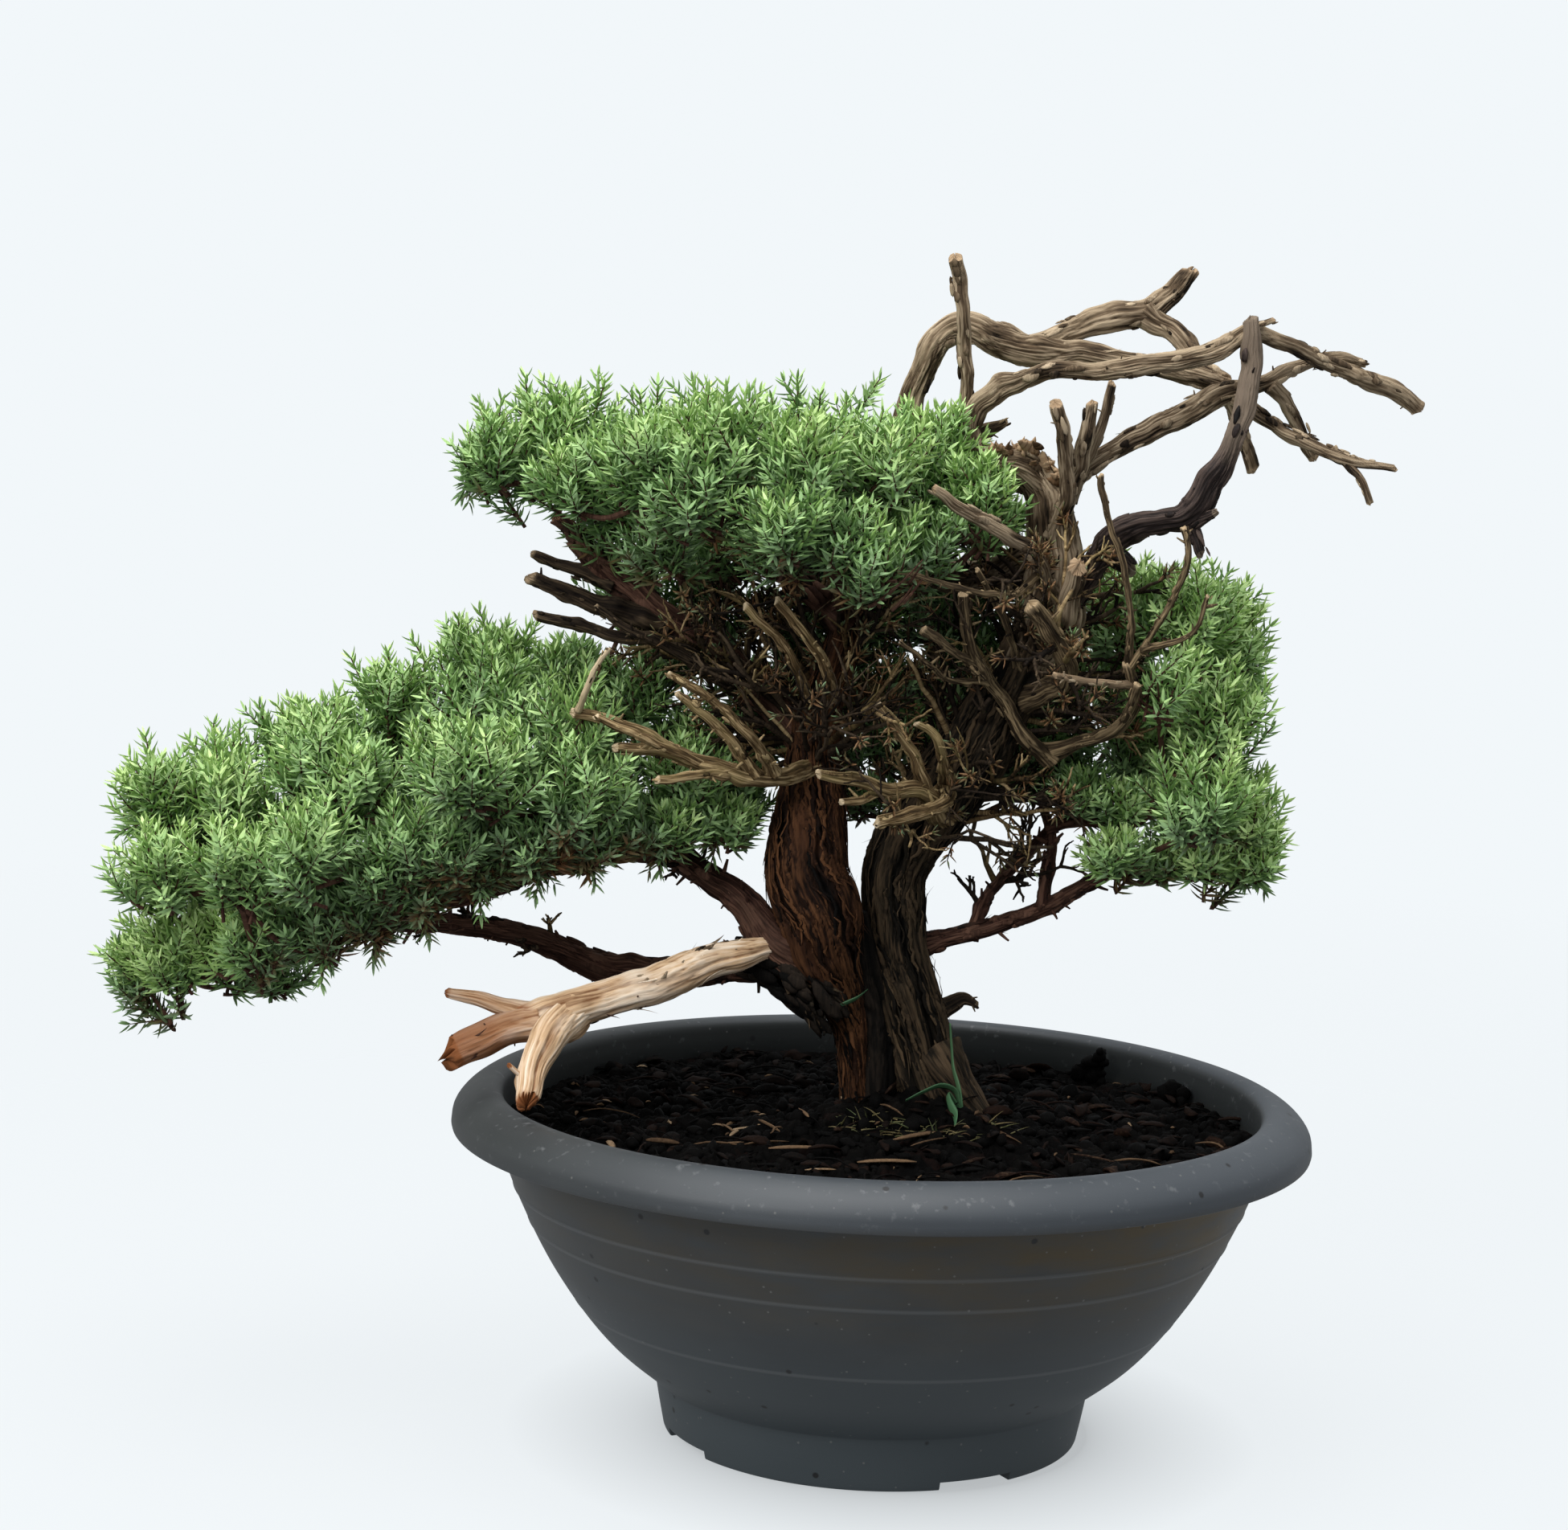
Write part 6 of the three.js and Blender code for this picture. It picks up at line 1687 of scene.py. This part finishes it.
def make_trunks():
    """The two trunks, a dark limb between them with painted shade, which stands in for the shadow in the
    gap, and the root at their side.
    """
    rng = np.random.default_rng(21)
    shape = Shape()
    for i, (name, route) in enumerate(TRUNKS.items()):
        limb(shape, route, TRUNK_LOOKS[name], i + 1, TRUNK_SLOTS[name])
    left, right = TRUNKS["left_trunk"], TRUNKS["right_trunk"]
    add_peelings(shape, left[2:-1], rng, count=150, lengths=(5, 13), width=0.6)
    add_peelings(shape, right[1:], rng, count=90, lengths=(6, 15), width=0.6, slot=1)
    left_twist, right_twist = (TRUNK_LOOKS[name]["twist"] for name in ("left_trunk", "right_trunk"))
    add_strips(shape, left[:-1], rng, left_twist, count=520, lengths=(12, 44), slot=0)
    add_strips(shape, right, rng, right_twist, count=360, lengths=(16, 56), slot=1)
    shape.made("trunk_bark", [RED_BARK, DARK_BARK, PAINTED_SHADE_BARK], "bark", ["trunks_and_branches"])


# The ragged bark under the fork where the lowest limbs leave the left trunk; its scabs take the
# painted-shade bark, as dark as bark in the fork's shadow.
FORK_SCABS = [
    [-58, 2, 195, 8], [-48, 0, 192, 10], [-38, -3, 188, 11], [-29, -4, 181, 11], [-22, -3, 172, 9],
]


def make_limbs():
    """The live limbs with their rough bark and spurs."""
    rng = np.random.default_rng(22)
    shape = Shape()
    for i, route in enumerate(LIVE_LIMBS.values()):
        route = slimmed(route, LIMB_SHARE)
        limb(shape, route, LIMB_LOOK, i + 10)
        add_scabs(shape, route, rng, spacing=1.3, sizes=(0.8, 2.6))
        length = gaps_along(route).sum()
        add_spurs(shape, route, rng, count=int(length / 4), lengths=(2, 8))
        if route[0][3] > PEELING_LIMB_RADIUS:
            add_peelings(shape, route, rng, count=int(length / 9), lengths=(4, 10), width=0.7)
    # painted shade: the scabs under the fork take the darkest bark
    add_scabs(shape, FORK_SCABS, rng, spacing=0.22, sizes=(1.0, 3.2), slot=2)
    add_spurs(shape, FORK_SCABS, rng, count=34, lengths=(3, 9), slot=1)
    add_peelings(shape, FORK_SCABS, rng, count=30, lengths=(4, 9), width=1.2, slot=1)
    shape.made("live_limb_bark", [LIMB_BARK, DARK_BARK, PAINTED_SHADE_BARK], "bark", ["trunks_and_branches"])


TWIG_SLOTS = {"root_knob": 0, "pale_wisp": 1, "pale_bar": 3, "tan_9": 1, "snag_5": 1}
BARE_SHARES = {"pale_wisp": 1.0, "pale_bar": 0.6}  # how much of its bark a twig has lost


def make_dead_twigs():
    """The dead twigs and stubs that can be told apart."""
    rng = np.random.default_rng(23)
    shape = Shape()
    groups = [(DARK_STUBS, 0), (TAN_TWIGS, 1), (CENTRE_SNAGS, 1), (RIGHT_TWIGS, 2), (FINE_TWIGS, 2)]
    for g, (limbs, group_slot) in enumerate(groups):
        for i, (name, route) in enumerate(limbs.items()):
            slot = TWIG_SLOTS.get(name, group_slot)
            route = slimmed(route, TWIG_SHARE)
            look = {**TWIG_LOOK, "stain": BARE_SHARES.get(name, 0.0)}
            limb(shape, route, look, 40 + 20 * g + i, slot)
            spurs = int(gaps_along(route).sum() / 7)
            add_spurs(shape, route, rng, count=spurs, lengths=(1.2, 5), slot=slot)
            add_scabs(shape, route, rng, spacing=3.0, sizes=(0.5, 1.3), slot=slot)
    finishes = [DARK_TWIG, TAN_TWIG, BROWN_TWIG, GREY_DEADWOOD]
    shape.made("dead_twigs", finishes, "bark", ["trunks_and_branches"])


# Where fine dead twigs crowd: [route, first and last share of it, twigs, their lengths, whether
# dry needles hang on].
THICKETS = [
    [TRUNKS["left_trunk"], 0.68, 1.0, 60, (26, 56), True],
    [TRUNKS["right_trunk"], 0.62, 1.0, 50, (22, 50), True],
    [LIVE_LIMBS["upper_left_limb"], 0.0, 0.55, 46, (20, 38), True],
    [LIVE_LIMBS["crown_left"], 0.0, 0.9, 18, (20, 36), True],
    [CROWN_LIMBS["crown_trunk"], 0.0, 0.45, 24, (16, 32), True],
    [RIGHT_TWIGS["red_stub"], 0.2, 1.0, 9, (14, 30), True],
    [LIVE_LIMBS["right_live_riser"], 0.2, 1.0, 9, (12, 26), False],
    [LIVE_LIMBS["upper_left_live"], 0.25, 0.95, 14, (6, 12), False],
    [LIVE_LIMBS["lower_left_live"], 0.45, 0.95, 12, (5, 10), False],
]
THICKET_RADIUS = 1.25
DEAD_NEEDLES = 0.2  # share of the finest twigs with dry needles


def branching(shape, start, heading, length, radius, level, rng, slot, needled):
    """A thin dead twig that forks into thinner ones, some of them with dry needles."""
    s = np.linspace(0, 1, 7)[:, None]
    bend = normalized(rng.normal(0, 1, 3)) * rng.uniform(0.08, 0.26) * length
    jog = rng.normal(0, 0.022 * length, (7, 3)) * s
    centres = start + heading * s * length + bend * s**2 + jog
    look = skin(centres, 0.6, rng.uniform(0.15, 0.75))
    tube(shape, centres, radius * (1 - 0.5 * s[:, 0]), 6 if level == 0 else 5, slot, age=0.0, **look)
    if level == 2:
        if needled and rng.random() < DEAD_NEEDLES:
            shoot(shape, centres[2:], rng, rng.uniform(0.0, 0.13), 0.66)
        return
    for _ in range(rng.integers(2, 5)):
        i = rng.integers(2, 7)
        fork = normalized(heading + 0.9 * normalized(rng.normal(0, 1, 3)) + [0, 0, 0.2])
        long = length * rng.uniform(0.35, 0.6)
        branching(shape, centres[i], fork, long, radius * 0.66, level + 1, rng, slot, needled)


def make_thicket():
    """The crowd of fine dead twigs inside the crown."""
    rng = np.random.default_rng(26)
    shape = Shape()
    for route, first, last, count, lengths, needled in THICKETS:
        rows = smooth_route(route, 2.0)
        along, side, across = frames_along(rows[:, :3])
        for _ in range(count):
            i = int(rng.uniform(first, last) * (len(rows) - 1))
            out = out_at(rng.uniform(0, 2 * math.pi), side[i], across[i])
            heading = normalized(out + 0.35 * along[i] + [0, 0, 0.3] + rng.normal(0, 0.15, 3))
            radius = THICKET_RADIUS * rng.uniform(0.7, 1.3)
            start = rows[i, :3] + out * rows[i, 3] * 0.6
            slot = 3 if rng.random() < 0.3 else 2
            branching(shape, start, heading, rng.uniform(*lengths), radius, 0, rng, slot, needled)
    shape.made("dead_thicket", [NEEDLE, NEEDLE_BAND, DARK_TWIG, TAN_TWIG], "bark")


# Where splinters stand on the broken top of the dead trunk: [x, y, z, spread].
SHARD_SPOTS = [[56, 2, 398, 9], [48, -3, 403, 7], [38, -5, 402, 6], [62, 0, 392, 8]]
SHARDS_AT_EACH = 13


def add_shards(shape, rng):
    """Torn splinters on the broken top of the dead trunk."""
    for x, y, z, spread in SHARD_SPOTS:
        for _ in range(SHARDS_AT_EACH):
            foot = np.array([x, y, z]) + rng.normal(0, 0.35 * spread, 3) * [1, 1, 0.5]
            level = [rng.normal(-0.5, 0.7), rng.normal(-0.3, 0.5)]
            heading = normalized(np.array([*level, rng.uniform(0.1, 1.0)]))
            length = rng.uniform(3, 9)
            t = np.linspace(0, 1, 6)[:, None]
            centres = foot + heading * (t - 0.25) * length + rng.normal(0, 0.25, (6, 3))
            wide = np.broadcast_to(rng.normal(0, 1, 3), centres.shape)
            taper = rng.uniform(1.0, 2.6) * (1.05 - t[:, 0] ** 1.6)
            look = skin(centres, 1, rng.uniform(0.2, 0.9))
            tube(shape, centres, taper, 6, 2, flat=0.45, across=wide, **look)


ARM_WORN_FROM = 0.6  # the share of the black arm from which its charred bark is gone
CHARRED_LIMBS = ("black_arm", "black_thorn", "black_knob", "black_thorn_b")


def make_dead_crown():
    """The bleached and charred limbs above the right trunk."""
    rng = np.random.default_rng(24)
    shape = Shape()
    for i, (name, route) in enumerate({**CROWN_LIMBS, **FINE_CROWN}.items()):
        slot = 1 if name in CHARRED_LIMBS else 0
        route = slimmed(route, CROWN_SHARE)
        look = {**CROWN_LOOK, "worn_from": ARM_WORN_FROM} if name == "black_arm" else CROWN_LOOK
        limb(shape, route, look, 150 + i, slot)
        length = gaps_along(route).sum()
        add_spurs(shape, route, rng, count=int(length / 20), lengths=(1.2, 4), slot=slot)
        add_scabs(shape, route, rng, spacing=2.2, sizes=(0.6, 2.0), slot=slot)
        if route[0][3] > PEELING_CROWN_RADIUS:
            add_peelings(shape, route, rng, count=int(length / 12), lengths=(4, 11), width=0.6, slot=slot)
    add_shards(shape, rng)
    shape.made("crown_deadwood", [GREY_DEADWOOD, CHARRED, TORN_WOOD], "deadwood", ["dead_crown"])


STUB_STAINS = {"stub": 0.12, "claw": 0.9, "thin_prong": 0.5, "lower_prong": 0.15}
HAIR_STAIN = 0.3


def make_stripped_stub():
    """The stub without bark, with rests of bark and torn fibres on it."""
    rng = np.random.default_rng(25)
    shape = Shape()
    for i, (name, route) in enumerate({**STRIPPED_STUB, **FINE_STRIPPED}.items()):
        limb(shape, route, {**STRIPPED_LOOK, "stain": STUB_STAINS.get(name, HAIR_STAIN)}, 200 + i)
    stub = np.array(STRIPPED_STUB["stub"], float)
    top_front, top_back, underside = [0, -1, 3.0, -3.0], [0, 1, 3.5, -3.0], [0, 1, -4.5, -3.5]
    add_peelings(shape, stub[:5] + top_front, rng, count=26, lengths=(3, 8), width=0.9, slot=2)
    add_peelings(shape, stub[:4] + top_back, rng, count=16, lengths=(7, 14), width=2.2, slot=2)
    add_scabs(shape, stub[:6] + underside, rng, spacing=2.4, sizes=(0.6, 1.5), slot=1)
    add_spurs(shape, stub, rng, count=4, lengths=(2, 4))
    add_peelings(shape, stub, rng, count=10, lengths=(6, 16), width=0.6)
    for name, bits in (("stub", 16), ("claw", 10)):
        add_spurs(shape, STRIPPED_STUB[name], rng, count=bits, lengths=(1.5, 4.5), slot=1)
        add_peelings(shape, STRIPPED_STUB[name], rng, count=bits // 2, lengths=(4, 9), width=0.9, slot=1)
    finishes = [BARE_WOOD, LIMB_BARK, GREY_DEADWOOD]
    shape.made("stub_bare_wood", finishes, "stripped_wood", ["stripped_stub"])


# ---------------------------------------------------------------- needles


def needles(shape, base, direction, inward, length, width, age):
    """Keeled needles: a flat face towards the shoot, two faces to a keel on the outside."""
    inward = normalized(inward - np.sum(inward * direction, axis=1, keepdims=True) * direction)
    wide = np.cross(direction, inward)
    rings = []
    for at, share in NEEDLE_RINGS:
        bent = NEEDLE_BEND * at * at * length
        middle = base + direction * (length * at)[:, None] + inward * bent[:, None]
        half = (0.5 * width * share)[:, None]
        rings += [middle - wide * half, middle + wide * half, middle - inward * (2 * NEEDLE_KEEL) * half]
    tip = base + direction * length[:, None] + inward * (NEEDLE_BEND * length)[:, None]
    points = np.stack([*rings, tip], 1).reshape(-1, 3)
    end = 3 * len(NEEDLE_RINGS)
    first = np.arange(len(base))[:, None] * (end + 1)
    band, back = [], []
    for left in range(0, end - 3, 3):
        right, keel = left + 1, left + 2
        band.append([left, right, right + 3, left + 3])
        back += [[right, keel, keel + 3, right + 3], [keel, left, left + 3, keel + 3]]
    left, right, keel = end - 3, end - 2, end - 1
    ends = [[0, 2, 1], [right, keel, end], [keel, left, end]]
    groups = [(band, 1), (back, 0), (ends, 0), ([[left, right, end]], 1)]
    faces = [np.concatenate([first + np.array(face) for face in group]) for group, _ in groups]
    slots = [slot for _, slot in groups]
    fresher = np.append(np.repeat([0.2 * at - 0.1 for at, _ in NEEDLE_RINGS], 3), 0.12)
    ages = (age[:, None] + fresher).ravel()
    shape.add(points, faces, slots, age=ages, grain=points, relief=0.5, cut=0.0)


def shoot(shape, line, rng, age, size=1.0):
    """A twig with whorls of needles along a line of points, ending in a bud of short needles."""
    whorls = max(3, int(gaps_along(line).sum() / WHORL_STEP))
    s = np.linspace(0.04, 1.0, whorls)
    t = np.linspace(0, 1, len(line))
    centres = np.column_stack([np.interp(s, t, line[:, k]) for k in range(3)])
    along, side, across = frames_along(centres)
    turn = np.arange(whorls) * math.pi / NEEDLES_ROUND + rng.uniform(0, 2 * math.pi)
    angle = (turn[:, None] + np.arange(NEEDLES_ROUND) * 2 * math.pi / NEEDLES_ROUND).ravel()
    angle += rng.normal(0, 0.16, len(angle))
    share = np.repeat(s, NEEDLES_ROUND)
    rows = np.repeat(np.arange(whorls), NEEDLES_ROUND)
    out = np.cos(angle)[:, None] * side[rows] + np.sin(angle)[:, None] * across[rows]
    lean = np.radians(np.interp(share, [0, 1], NEEDLE_LEANS_DEG)) + rng.normal(0, 0.12, len(angle))
    direction = np.cos(lean)[:, None] * along[rows] + np.sin(lean)[:, None] * out
    at_foot, at_tip = NEEDLE_LENGTHS
    longest = np.interp(share, [0, 0.7, 1], [at_foot, 0.93 * at_foot, at_tip])
    longest = longest * size * rng.uniform(0.82, 1.1, len(angle))
    width = NEEDLE_WIDTH * size * rng.uniform(0.85, 1.1, len(angle)) * np.interp(share, [0, 1], [1, 0.8])
    ages = age + NEEDLE_AGE_RISE * (share - 0.45) + rng.normal(0, 0.06, len(angle))
    needles(shape, centres[rows] + out * 0.35, direction, -out, longest, width, ages)


def foot_of(tuft):
    """Where the twigs of a tuft leave its stem."""
    return np.array([tuft[0], tuft[1], tuft[2] - TUFT_FOOT * tuft[5]])


def reach_in(tuft, start, direction):
    """How far it is from a point inside a tuft to its outside."""
    half = np.array(tuft[3:], float)
    offset, ray = (start - np.array(tuft[:3])) / half, direction / half
    a, b, c = ray @ ray, ray @ offset, offset @ offset - 1
    return (-b + math.sqrt(b * b - a * c)) / a


def wood_tube(shape, line, radii, sides=5, relief=0.5):
    """A stem or twig of a spray."""
    tube(shape, line, radii, sides, 2, age=0.0, **skin(line, 0.5, relief))


def hides_wood(point):
    """Whether needles at a point would hide one of the bare twigs that stand out in front."""
    for rows in CLEAR_ROUTES:
        near = np.hypot(*(rows[:, [0, 2]] - point[[0, 2]]).T) < CLEAR_ROUND
        if np.any(near & (point[1] < rows[:, 1] + CLEAR_BEHIND)):
            return True
    return False


def height_in_pad(pad, point):
    """How high a point is in a pad, from 0 under it to 1 on top. The pad is the rows of its tufts."""
    away = np.hypot(*((point[:2] - pad[:, :2]) / pad[:, 3:5]).T)
    near = away < max(1.3, away.min() + 0.01)
    half = pad[near, 5] * np.sqrt(np.maximum(0.1, 1 - (away[near] / 1.5) ** 2))
    low, high = np.min(pad[near, 2] - half), np.max(pad[near, 2] + half)
    return float(np.clip((point[2] - low) / (high - low), 0, 1))


def age_at(point, tuft, pad):
    """The age of needles at a point: fresh on top of the pad, dark and dead underneath, with the spots'
    older needles, painted light and painted shade added.
    """
    height = np.clip((point[2] - tuft[2]) / tuft[5], -1, 1)
    # painted light and shade from the spots, carried as age
    spots = np.array(AGE_AND_PAINTED_LIGHT_SPOTS, float)
    away = np.linalg.norm(point - spots[:, :3], axis=1) / spots[:, 3]
    change = np.sum(spots[:, 4] * np.exp(-(away**2)))
    return AGE_BELOW + AGE_RISE * height_in_pad(pad, point) + AGE_IN_TUFT * height + change


def side_twig(shape, branch, rng, age, size):
    """A thin twig along a line of points, with its needles."""
    u = np.linspace(0, 1, len(branch))
    wood_tube(shape, branch, SIDE_TWIG_RADIUS * (1.1 - 0.7 * u), 4)
    shoot(shape, branch, rng, age, size)


def leafy_twig(shape, tuft, direction, rng, freshness, pad):
    """One twig of a tuft: bare at its foot, with side shoots further out and needles to its tip."""
    foot = foot_of(tuft) + FOOT_SPREAD * np.array(tuft[3:]) * rng.uniform(-1, 1, 3)
    length = reach_in(tuft, foot, direction) * TWIG_REACH * rng.uniform(0.8, 1.12)
    length *= 1 - TOP_DIP * max(0, direction[2])
    s = np.linspace(0, 1, 12)[:, None]
    line = foot + direction * s * length
    flatness = 1 - abs(direction[2])
    line[:, 2] += (length * flatness * (TIP_RISE * s**2 - 4 * SHOOT_SAG * s * (1 - s))).ravel()
    wood_tube(shape, line, TWIG_RADIUS * (1.1 - 0.75 * s[:, 0]))
    if hides_wood(line[-1]):
        return
    bare = int(TWIG_BARE * len(line))
    shoot(shape, line[bare:], rng, age_at(line[-1], tuft, pad) + freshness + 0.08)
    along = normalized(np.gradient(line, axis=0))
    _, side, across = frames_along(line)
    spin = rng.uniform(0, 2 * math.pi)
    for k in range(SIDE_SHOOTS):
        at = TWIG_BARE + (0.94 - TWIG_BARE) * k / (SIDE_SHOOTS - 1)
        i = min(int(at * (len(line) - 1)), len(line) - 2)
        out = out_at(spin + GOLDEN_ANGLE * k, side[i], across[i])
        heading = normalized(0.6 * along[i] + 1.0 * out + [0, 0, UPRIGHT])
        long = np.interp(at, [TWIG_BARE, 1], SIDE_SHOOT_LENGTHS) * rng.uniform(0.85, 1.15)
        room = reach_in(tuft, foot, normalized(line[i] + heading * long - foot))
        long = min(long, max(7.0, room - np.linalg.norm(line[i] - foot) * 0.7))
        u = np.linspace(0, 1, 6)[:, None]
        branch = line[i] + heading * u * long + np.array([0, 0, 0.14 * long]) * u**2
        if hides_wood(branch[-1]):
            continue
        age = age_at(branch[-1], tuft, pad) + freshness + rng.normal(0, TWIG_AGE_SPREAD)
        side_twig(shape, branch, rng, age, 0.95)


def spike(shape, tip, tufts, rng, age, length):
    """A shoot that stands out of a pad, with two or three shorter ones at its side, and the stem
    that joins it to the nearest tuft."""
    tip = np.array(tip, float)
    tuft = min(tufts, key=lambda tuft: np.linalg.norm(tip - tuft[:3]))
    outward = normalized(tip - foot_of(tuft))
    heading = normalized(outward + [0, 0, 0.5 * np.sign(outward[2])])
    foot = tip - heading * length
    s = np.linspace(0, 1, 9)[:, None]
    bow = normalized(rng.normal(0, 1, 3)) * 0.06 * length
    line = foot + heading * s * length + bow * np.sin(math.pi * s)
    stem = smooth_route([foot_of(tuft), foot, line[2]], 2.5)
    wood_tube(shape, stem, np.full(len(stem), 0.8), 5)
    wood_tube(shape, line, TWIG_RADIUS * (1.0 - 0.6 * s[:, 0]))
    shoot(shape, line, rng, age, 0.96)
    along, side, across = frames_along(line)
    spin = rng.uniform(0, 2 * math.pi)
    for k in range(rng.integers(2, 4)):
        i = 1 + 2 * k
        out = out_at(spin + GOLDEN_ANGLE * k, side[i], across[i])
        u = np.linspace(0, 1, 5)[:, None]
        branch = line[i] + normalized(along[i] + 0.75 * out) * u * length * rng.uniform(0.34, 0.46)
        side_twig(shape, branch, rng, age - 0.05, 0.9)


TWIGS_PER_TUFT = 12
TWIGS_PER_FILLER = 10
STEM_RADII = (1.5, 0.9)


def make_spray(name, spray, fillers, seed, pad, tips):
    """All of one spray: its stem, the twigs of its tufts and their needles, and the shoots that
    stand out of it."""
    middle = np.mean(pad[:, :3], axis=0)
    rng = np.random.default_rng(seed)
    shape = Shape()
    feet = [foot_of(tuft) for tuft in spray["tufts"]]
    stem = smooth_route([spray["start"], *feet], 2.0)
    wood_tube(shape, stem, np.linspace(*STEM_RADII, len(stem)), 8, 0.6)
    for tuft in fillers:
        source = min(feet, key=lambda foot: np.linalg.norm(foot - foot_of(tuft)))
        sag = np.array([0, 0, -0.12 * np.linalg.norm(foot_of(tuft) - source)])
        stem = smooth_route([source, (source + foot_of(tuft)) / 2 + sag, foot_of(tuft)], 2.0)
        wood_tube(shape, stem, np.linspace(*STEM_RADII, len(stem)), 7, 0.6)
    tufts = spray["tufts"] + fillers
    for tuft in tufts:
        foot = foot_of(tuft)
        outward = math.atan2(foot[1] - middle[1], foot[0] - middle[0])
        growth = normalized(np.array([math.cos(outward), math.sin(outward), 1.2]))
        for i in range(TWIGS_PER_FILLER if tuft in fillers else TWIGS_PER_TUFT):
            rise, turn = math.radians(RISES_DEG[i % len(RISES_DEG)]), outward + GOLDEN_ANGLE * i
            level = math.cos(rise)
            direction = np.array([level * math.cos(turn), level * math.sin(turn), math.sin(rise)])
            direction = normalized(direction + PAD_LEAN * growth)
            leafy_twig(shape, tuft, direction, rng, rng.normal(0, TWIG_AGE_SPREAD), pad)
    for tip in tips:
        if tip in DROOPS:
            spike(shape, tip, tufts, rng, rng.uniform(*DROOP_AGES), DROOP_LENGTH)
        else:
            age = SPIKE_AGE_LOW + SPIKE_AGE_RISE * height_in_pad(pad, np.array(tip))
            spike(shape, tip, tufts, rng, age, SPIKE_LENGTH)
    shape.made(f"{name}_needles", [NEEDLE, NEEDLE_BAND, LIMB_BARK], "needles", [name], smooth=False)


def nearest_spray(point):
    """The name of the spray with the tuft whose middle is nearest to a point."""
    def distance(name):
        return min(np.linalg.norm(np.subtract(tuft[:3], point)) for tuft in SPRAYS[name]["tufts"])
    return min(SPRAYS, key=distance)


def make_foliage():
    """All the sprays. Fillers and standing and hanging shoots go to the spray nearest to them."""
    fillers = {name: [] for name in SPRAYS}
    for tuft in FILLERS:
        fillers[nearest_spray(tuft[:3])].append(tuft)
    tips = {name: [] for name in SPRAYS}
    for tip in SPIKES + DROOPS:
        tips[nearest_spray(tip)].append(tip)
    pads = {}
    for name, spray in SPRAYS.items():
        pads.setdefault(name.split("_")[0], []).extend(spray["tufts"] + fillers[name])
    for seed, (name, spray) in enumerate(SPRAYS.items()):
        pad = np.array(pads[name.split("_")[0]], float)
        make_spray(name, spray, fillers[name], 300 + seed, pad, tips[name])


# ---------------------------------------------------------------- the picture

make_camera()
make_room()
make_floor()
make_lamps()
make_bowl()
make_soil()
make_debris()
make_grass()
make_trunks()
make_limbs()
make_dead_twigs()
make_thicket()
make_dead_crown()
make_stripped_stub()
make_foliage()

boxes = {"cad": cad_box, "visual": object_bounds()}
{name: [list(corner) for corner in box] for name, box in boxes.items()}
